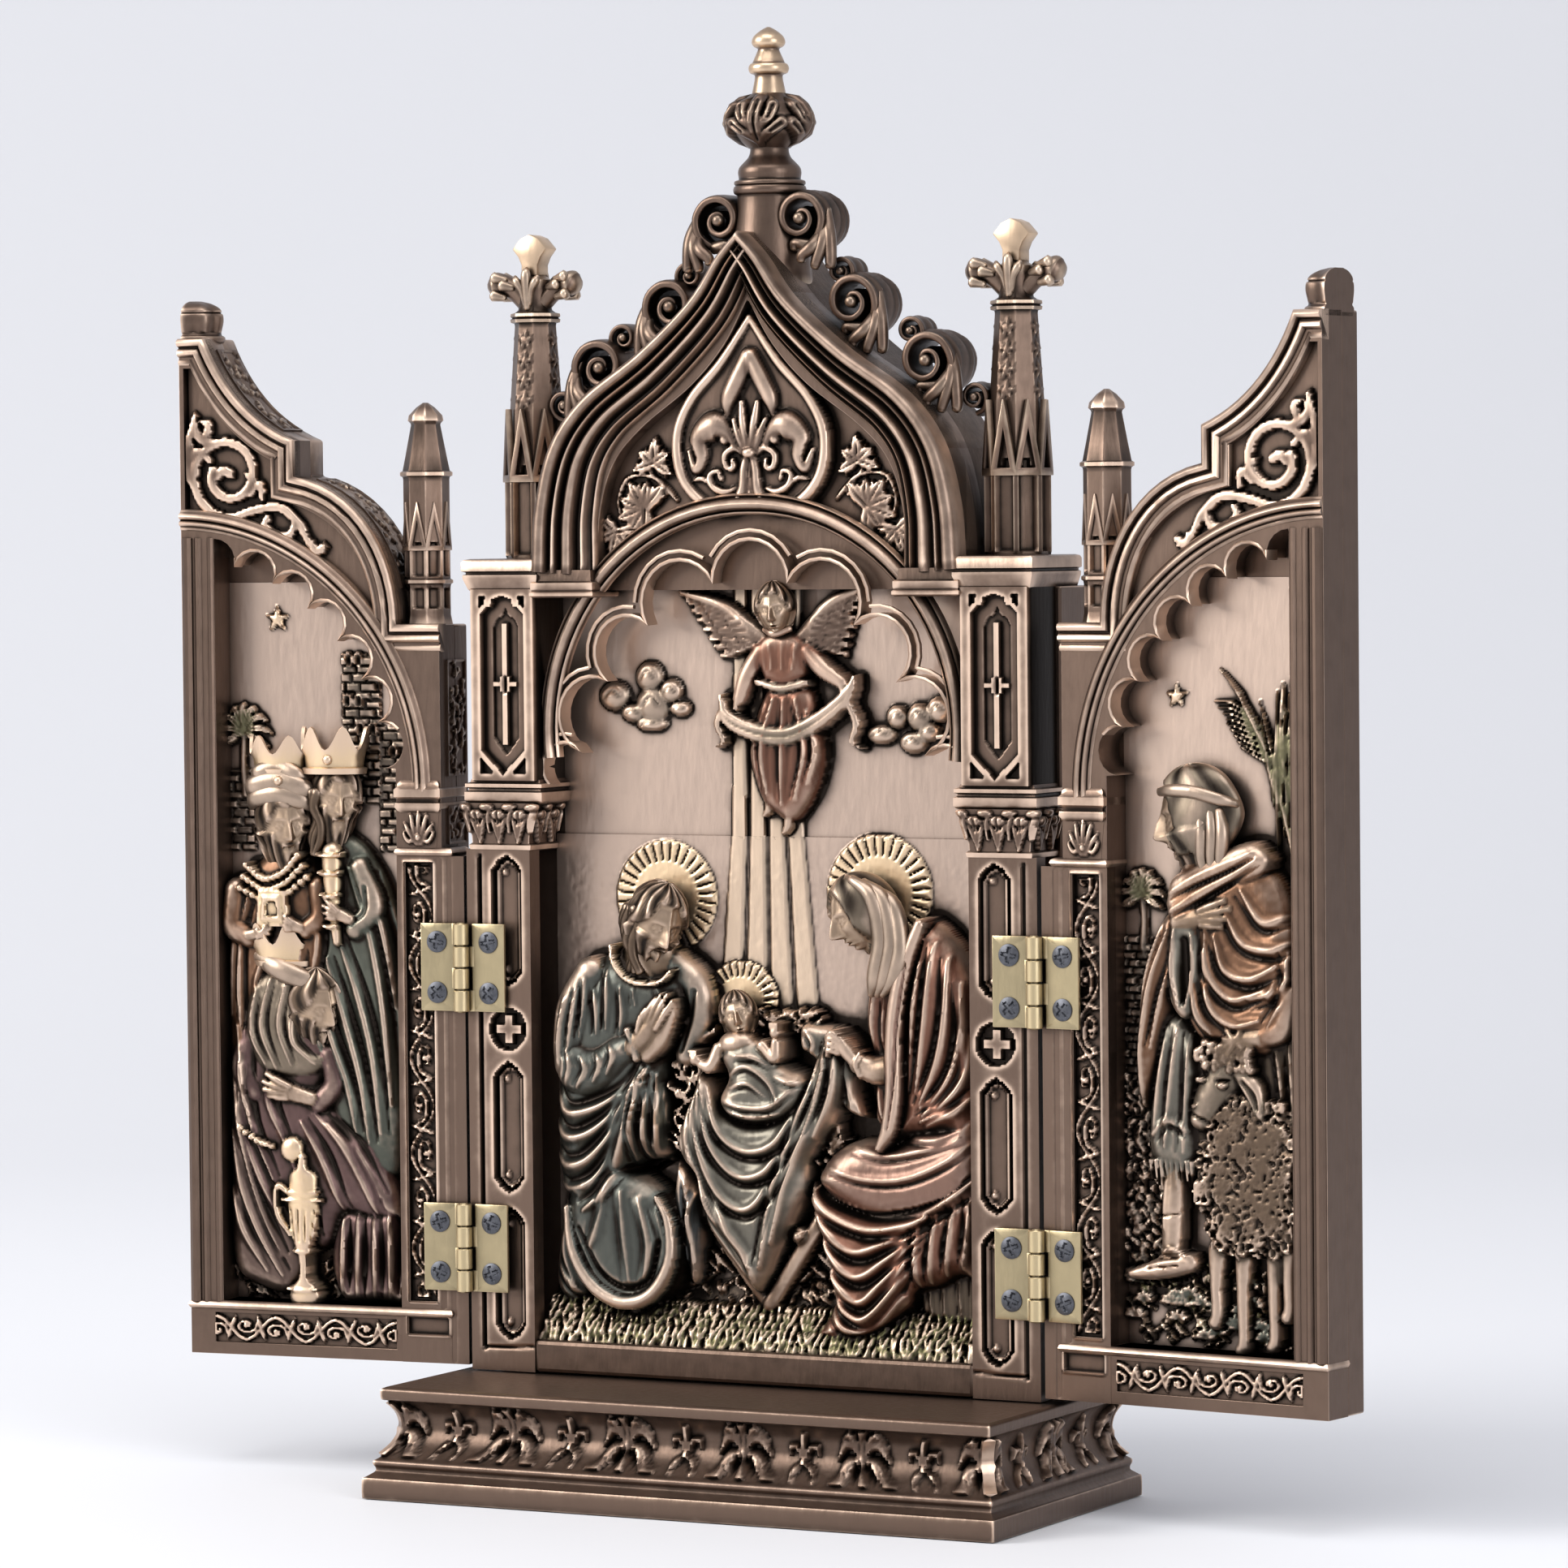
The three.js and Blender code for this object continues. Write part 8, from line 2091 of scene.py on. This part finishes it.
def wing_heads():
    """The kings' heads with their crowns, turban and hat, and the shepherd's under a headcloth."""
    kings = [head((43.2, 3.9, 134.6), 7.3, -26, 10, 4, 0.5, beard=0.5, line=0.5),
             head((31.0, 4.2, 139.8), 6.8, -24, 12, -4, 0.5, beard=0.8, line=0.55),
             head((36.4, 3.6, 96.6), 7.2, -50, 14, 6, 0.5, beard=0.35, line=0.6)]
    for rise, thick, spread in ((0, 1.9, 7.4), (2.6, 2.3, 7.6), (5.2, 2.0, 6.0)):
        kings.append(washed(limb("turban", [(43.6 - spread, 4.6, 137.0 + rise, thick * 0.6),
                                            (43.6 - spread * 0.7, 2.4, 138.8 + rise, thick),
                                            (43.4, 1.7 + rise * 0.2, 140.2 + rise, thick * 1.1),
                                            (43.8 + spread * 0.7, 2.6, 139.2 + rise, thick),
                                            (43.6 + spread, 4.8, 137.6 + rise, thick * 0.6)], sides=14,
                                 flat=0.7), VEIL, 0.6))
    kings.append(washed(limb("brooch", [(42.6, 1.0, 143.0, 1.2), (42.6, 0.1, 143.0, 0.9)], steps=3), GOLD,
                        0.7))
    kings.append(gold_crown(44.0, 5.2, 144.4, 6.0, 6.0))
    kings.append(gold_crown(31.6, 4.6, 144.4, 6.3, 7.4, -0.03))
    kings.append(washed(limb("boss", [(31.2, 1.2, 147.4, 1.3), (31.2, 0.2, 147.4, 1.0)], steps=3), GOLD, 0.7))
    kings += locks(31.2, 4.8, 138.6, 6.6, -30, 2.0, 1)
    kings.append(washed(limb("brim", [(34.4, 4.0, 100.8, 1.4), (38.4, 2.0, 102.0, 2.1), (44, 1.9, 104.2, 2.4),
                                      (49.6, 4.0, 106.6, 1.6)], sides=14, flat=0.75), VEIL, 0.6))
    kings.append(washed(limb("cap", [(43.4, 5.0, 104.6, 5.4), (44.4, 5.0, 108.4, 5.0), (45, 5.0, 111.4, 3.0)],
                             sides=20, flat=0.6), PURPLE, 0.55))
    kings.append(gold_crown(43.6, 4.9, 104.4, 6.0, 6.8, 0.16))
    cloth = [head((33.4, 4.4, 138.0), 8.9, -74, 10, -4, 0.52, beard=0.12, hood=VEIL)]
    cloth.append(washed(limb("headband", [(25.8, 3.2, 142.6, 0.9), (29.8, 0.9, 143.0, 1.25),
                                          (35, 0.4, 142.8, 1.3), (40.4, 1.4, 141.4, 1.2),
                                          (43, 4.0, 140.4, 0.8)], sides=12, flat=0.7), VEIL, 0.6))
    for dx, dz in ((0, 0), (2.4, -0.6), (4.6, -1.6)):
        cloth.append(washed(limb("fall", [(35.4 + dx, 2.0, 141 + dz, 0.9), (36.6 + dx, 1.2, 135, 1.4),
                                          (36.4 + dx * 0.9, 1.6, 129.6, 1.2),
                                          (37.6 + dx * 0.6, 2.4, 125.4, 0.8)], sides=10), VEIL, 0.55))
    return {-1: kings, 1: cloth}


for side, parts in wing_heads().items():
    word, body = SIDES[side]
    carved = merge(f"{word}_wing_heads", parts)
    dress(hang(carved, side), body, relief_bronze)

holy = [head((-23.2, 5.4, 115.4), 7.5, 46, 24, 10, 0.8, beard=0.35, line=0.62, curls=12),
        *locks(-24.4, 6.2, 115.4, 7.4, 46, 1.8, -1),
        head((22.8, 5.8, 117.4), 7.3, -46, 20, -8, 0.8, hood=VEIL),
        head((-4.4, 5.0, 96.4), 4.8, 14, -6, -14, 0.8, line=0.5, curls=14)]
for k, (dx, dz) in enumerate(((0, 0), (2.2, -0.6), (4.2, -1.8))):
    holy.append(washed(limb("veil", [(22.6 + dx, 2.6 + 0.6 * k, 124.4 + dz, 1.0),
                                     (27.4 + dx, 2.0 + 0.6 * k, 121 + dz, 1.7),
                                     (29.4 + dx, 2.4, 113 + dz, 2.0), (28.0 + dx, 2.2, 105.4, 1.8),
                                     (26.6 + dx * 0.6, 3, 101.4, 0.8)], sides=12), VEIL, 0.55))
dress(merge("nativity_heads", holy), "shrine", relief_bronze)

# ---------------------------------------------------------------- the angel
# Relief in the head of the niche: an angel with spread wings and a swag stands in rays of light
# between banks of cloud.
CLOUD = (0.300, 0.230, 0.175)
LAP = 0.6


def angel_wing(field, tip, low, root):
    """Three rows of feathers from the shoulder, longest at the tip."""
    root, tip, low = (np.array(p, float) for p in (root, tip, low))
    for reach, half, rise in ((1.0, 1.3, 2.6), (0.74, 1.25, 3.3), (0.46, 1.15, 4.0)):
        for share in np.linspace(0, 1, 8):
            end = root + (tip + (low - tip) * share - root) * reach
            start = root + (end - root) * 0.25
            middle = 0.5 * (start + end) + np.array([0, 1.0 * (1 - share)])
            field.roll([(*start, half * 0.7, rise - 0.2), (*middle, half, rise),
                        (*end, half * 0.45, rise - 0.6)], BRONZE, steps=5, soft=0.2)
            field.fold([(*start, 0.2, -0.4), (*middle, 0.22, -0.45), (*end, 0.15, -0.3)], steps=4)
    field.roll([(*root, 1.4, 3.8), (*(0.5 * (root + tip) + np.array([0, 1.8])), 1.5, 3.4),
                (*tip, 0.7, 2.6)], BRONZE, soft=0.4)


def angel():
    field = Carving(-48, 48, RELIEF_TOP - LAP, 192, 0.48, SKY, ground=SKY_STANDS - 0.02)
    for k in range(4):
        low, high = -8.9 + k * 4.3, -7.6 + k * 3.8
        field.patch([(low, 130), (high, 191.4), (high + 2.9, 191.4), (low + 3.5, 130)], 1.15, 0.5, 0.7,
                    RAY, smooth=False)
    halo(field, -24, 119.6, 11.6, 32)
    halo(field, 24.6, 121.2, 11.8, 32)
    for x, z, rx, rz in ((-27.4, 164.3, 3.2, 3.2), (-22.4, 161.4, 2.6, 2.6), (-20.3, 157.9, 2.5, 1.6),
                         (-26.7, 158.6, 4, 4), (-27, 154.8, 3.6, 1.6), (-35.6, 160.4, 3.5, 3),
                         (-31, 157, 3, 2), (25.4, 152.9, 3.5, 2), (29, 156.4, 2.5, 2.5),
                         (34, 156.4, 3, 3), (38.3, 157.9, 2.8, 2.8), (32.6, 151.4, 3.2, 2.3),
                         (36, 153.6, 2.6, 2.2)):
        field.dome(x, z, rx, rz, 2.6, 2.2, CLOUD)
        field.fold([(x - rx * 0.5, z - rz * 0.1, 0.25, -0.5), (x, z + rz * 0.4, 0.25, -0.5),
                    (x + rx * 0.5, z, 0.25, -0.5)], steps=4)
    angel_wing(field, (-19.4, 181.6), (-10.4, 168.6), (0.4, 172))
    angel_wing(field, (21.6, 182.2), (17.6, 169), (8.2, 172.4))
    skirt = field.patch([(0.6, 163), (-2.6, 156), (-4, 149), (-2.6, 143), (-0.6, 138.6), (2, 136.6),
                         (5.4, 134.8), (8.6, 137), (12.2, 143), (13.6, 150), (12.2, 157), (9.6, 163)],
                        4.4, 3.4, 4, COPPER)
    folds(field, skirt, [[(2.6, 160), (0, 150), (1, 141)], [(5, 160), (4.6, 150), (4.4, 139)],
                         [(7.6, 160), (9.6, 150), (7.4, 140)], [(10, 158), (12, 150), (10.2, 143)],
                         [(0.6, 157), (-2.2, 150)]], 0.85, 0.9)
    for x, z in ((1.2, 138.2), (5.4, 134.6)):
        field.roll([(x, z + 2.2, 1.1, 3.6), (x - 0.6, z - 0.4, 1.0, 3.4), (x - 1.6, z - 1.6, 0.6, 3)], SKIN)
    chest = field.patch([(0, 163.4), (-1.8, 168), (-1.4, 171.4), (1.4, 173.6), (6.4, 173.8), (10, 172),
                         (10.6, 168), (9, 163.4), (4.6, 161.6)], 4.7, 2.6, 3.4, COPPER)
    folds(field, chest, [[(2, 171), (2.4, 166)], [(5, 171.6), (4.8, 166)], [(8, 171), (7.2, 166)]], 0.6, 0.5)
    field.roll([(-1.0, 163.4, 0.8, 4.6), (4.6, 162.2, 0.95, 5.1), (10.2, 163.4, 0.8, 4.6)], VEIL)
    for path in ([(-0.6, 169.6, 2.0, 4.6), (-3.6, 164.6, 2.0, 5), (-5.2, 160, 1.6, 5)],
                 [(10, 169.6, 2.0, 4.6), (13.8, 166, 2.1, 5), (18, 163.4, 1.6, 5)]):
        field.roll(path, COPPER, soft=0.5)
        field.roll([(path[2][0], path[2][1], 0.9, 5), (path[2][0] + (0.4 if path[2][0] > 0 else -0.6),
                                                       path[2][1] - 1.8, 0.8, 4.8)], SKIN, steps=4)
    for rise in (0, -1.6):
        field.roll([(-9.4, 160.6 + rise, 0.5, 4.6), (-8, 157 + rise, 1.0, 5),
                    (-2.4, 154.4 + rise, 1.15, 5.2), (5.4, 153.4 + rise, 1.2, 5.4),
                    (12.6, 156.4 + rise, 1.15, 5.2), (19, 161.2 + rise, 1.0, 5),
                    (21, 164.6 + rise, 0.5, 4.6)], VEIL, soft=0.2)
    for x, end in ((-8.6, -1), (19.6, 1)):
        field.roll([(x, 159, 0.8, 4.6), (x + end * 1.6, 155, 1.0, 4.6), (x + end * 0.4, 151.6, 0.7, 4.2),
                    (x + end * 2.2, 150.4, 0.3, 3.6)], VEIL)
    return field


sky = angel().mesh("angel_relief", from_plane(BACK_FACE), back=-0.4)
hovering = head((3.8, 7.0, 178.2), 5.1, 8, 4, -5, 0.85, line=0.55, curls=12)
collar = washed(limb("collar", [(1.0, 7.8, 174.0, 0.7), (3.9, 6.2, 173.2, 0.8), (6.8, 7.8, 174.2, 0.7)],
                     sides=10), COPPER)
dress(merge("angel_relief", [sky, hovering, collar]), "shrine", relief_bronze)

# ---------------------------------------------------------------- hinges and screws
# Butt hinges of dull antique brass stand on the stiles' faces: two leaves that share four
# knuckles on a pin, each leaf held by two blackened steel screws with crossed slots.
HINGE_TALL, HINGE_PITCH, HINGE_FOOT = 18.0, 4.5, {"lower": 38.6, "upper": 96.1}
BARREL, PIN, LEAF_EDGE, LEAF_FRONT, LEAF_BACK = 1.65, 0.95, 9.6, -1.1, -0.3
SCREW_X, SCREW_RISE, SCREW_HEAD = 5.9, 5.2, 2.2


def dull_brass():
    """Old brass: greenish brown in patches, brighter where it is handled, with fine scratches."""
    return bronze("hinge_brass", bright=(0.56, 0.45, 0.27), rough=0.34, grain=0.5, body=(0.34, 0.28, 0.17))


def black_steel():
    """Blackened steel with a faint blue sheen, a little rough."""
    finish = bpy.data.materials.new("screw_steel")
    finish.use_nodes = True
    nodes, links = finish.node_tree.nodes, finish.node_tree.links
    shader = nodes["Principled BSDF"]
    shader.inputs["Metallic"].default_value = 0.85
    place = nodes.new("ShaderNodeTexCoord")
    speck = nodes.new("ShaderNodeTexNoise")
    speck.inputs["Scale"].default_value = 1400
    shades = nodes.new("ShaderNodeValToRGB")
    shades.color_ramp.elements[0].color = (0.045, 0.047, 0.055, 1)
    shades.color_ramp.elements[1].color = (0.15, 0.155, 0.175, 1)
    links.new(place.outputs["Object"], speck.inputs["Vector"])
    links.new(speck.outputs["Fac"], shades.inputs["Fac"])
    links.new(shades.outputs["Color"], shader.inputs["Base Color"])
    gloss = nodes.new("ShaderNodeMapRange")
    gloss.inputs["To Min"].default_value = 0.34
    gloss.inputs["To Max"].default_value = 0.52
    links.new(speck.outputs["Fac"], gloss.inputs["Value"])
    links.new(gloss.outputs["Result"], shader.inputs["Roughness"])
    return finish


def disc(x, z, radius, sides=24):
    return [(x + radius * math.cos(a), z + radius * math.sin(a))
            for a in np.linspace(0, 2 * math.pi, sides + 1)[:-1]]


def tube(x, y, low, high, outer, inner, sides=28):
    """A knuckle: a short thick-walled tube with eased rims."""
    rows = [(inner, low), (outer - 0.15, low), (outer, low + 0.15), (outer, high - 0.15),
            (outer - 0.15, high), (inner, high), (inner, low)]
    a = np.linspace(0, 2 * math.pi, sides + 1)
    points = np.array([np.stack([x + r * np.cos(a), y + r * np.sin(a), z + 0 * a], axis=-1) for r, z in rows])
    return close(skin("knuckle", points), turn=40)


def hinge_leaf(level, first):
    """A leaf with two of the four knuckles, the plate scooped in to meet them."""
    foot = HINGE_FOOT[level]
    middle = foot + HINGE_TALL / 2
    outline = [(BARREL + 0.35, foot), (LEAF_EDGE, foot), (LEAF_EDGE, foot + HINGE_TALL),
               (BARREL + 0.35, foot + HINGE_TALL)]
    holes = [disc(SCREW_X, middle + up * SCREW_RISE, 1.35) for up in (-1, 1)]
    parts = [plate("leaf", outline, LEAF_FRONT, LEAF_BACK, holes, edge=0.18)]
    for k in range(first, 4, 2):
        low = foot + k * HINGE_PITCH + (0 if k == 0 else 0.15)
        high = foot + (k + 1) * HINGE_PITCH - (0 if k == 3 else 0.15)
        parts.append(tube(0, AXIS_Y, low, high, BARREL, PIN + 0.18))
        wrap = [(0.9, low), (BARREL + 0.9, low), (BARREL + 0.9, high), (0.9, high)]
        parts.append(plate("wrap", wrap, AXIS_Y + 0.85, LEAF_BACK, edge=0.12))
    return rub(merge("hinge_leaf", parts), strength=1.3, level=0.6)


def cross_screw(level, up):
    """A domed head with a cross slot in a shallow seat, on a plain shank."""
    z0 = HINGE_FOOT[level] + HINGE_TALL / 2 + up * SCREW_RISE
    seat = LEAF_FRONT - 0.05
    rings = np.concatenate([[0.0], np.linspace(0.16, 1.0, 9) * SCREW_HEAD])
    a = np.linspace(0, 2 * math.pi, 41)
    turned = 0.35 + 0.9 * (up > 0) + 0.5 * (level == "upper")
    rows = []
    for r in rings:
        u, v = r * np.cos(a - turned), r * np.sin(a - turned)
        slot = (np.minimum(np.abs(u), np.abs(v)) < 0.36) & (np.maximum(np.abs(u), np.abs(v)) < 1.5)
        dome = 0.55 * (1 - (r / SCREW_HEAD) ** 2 * 0.75) - 0.42 * slot
        rows.append(np.stack([SCREW_X + r * np.cos(a), seat - dome, z0 + r * np.sin(a)], axis=-1))
    for r, y in ((SCREW_HEAD, seat), (1.1, seat + 0.05), (1.1, 5.4), (0.0, 6.0)):
        rows.append(np.stack([SCREW_X + r * np.cos(a), y + 0 * a, z0 + r * np.sin(a)], axis=-1))
    return close(skin("cross_screw", np.array(rows)), turn=30)


def fasten(piece, side, wing):
    """Moves a hinge part to its side: with its wing, or mirrored on to the fixed stile."""
    if wing:
        return hang(piece, side)
    piece.data.transform(Matrix.Translation((side * AXIS_X * MM, 0, 0)) @ Matrix.Diagonal((-side, 1, 1, 1)))
    if side > 0:
        piece.data.flip_normals()
    return piece


brass, steel = dull_brass(), black_steel()
for side, (word, door) in SIDES.items():
    for level in HINGE_FOOT:
        for first, part, body in ((0, "fixed", "shrine"), (1, "wing", door)):
            leaf = fasten(hinge_leaf(level, first), side, first == 1)
            leaf.name = leaf.data.name = f"{word}_{level}_{part}_leaf_fine"
            dress(leaf, body, brass)
            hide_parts(f"{word}_{level}_hinge_{part}_leaf")
            for k, up in enumerate((-1, 1)):
                screw = fasten(cross_screw(level, up), side, first == 1)
                screw.name = screw.data.name = f"{word}_{level}_{part}_screw_{k + 1}_fine"
                dress(screw, body, steel)
                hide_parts(f"{word}_{level}_{part}_screw_{k + 1}")
        foot = HINGE_FOOT[level]
        pin = spun("pin", [(foot - 0.2, PIN * 0.8), (foot, PIN), (foot + HINGE_TALL, PIN),
                           (foot + HINGE_TALL + 0.2, PIN * 0.8)], side * AXIS_X, AXIS_Y, 24, fine=1)
        pin.name = pin.data.name = f"{word}_{level}_pin_fine"
        dress(rub(pin, level=0.5), "shrine", brass)
        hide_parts(f"{word}_{level}_hinge_pin")
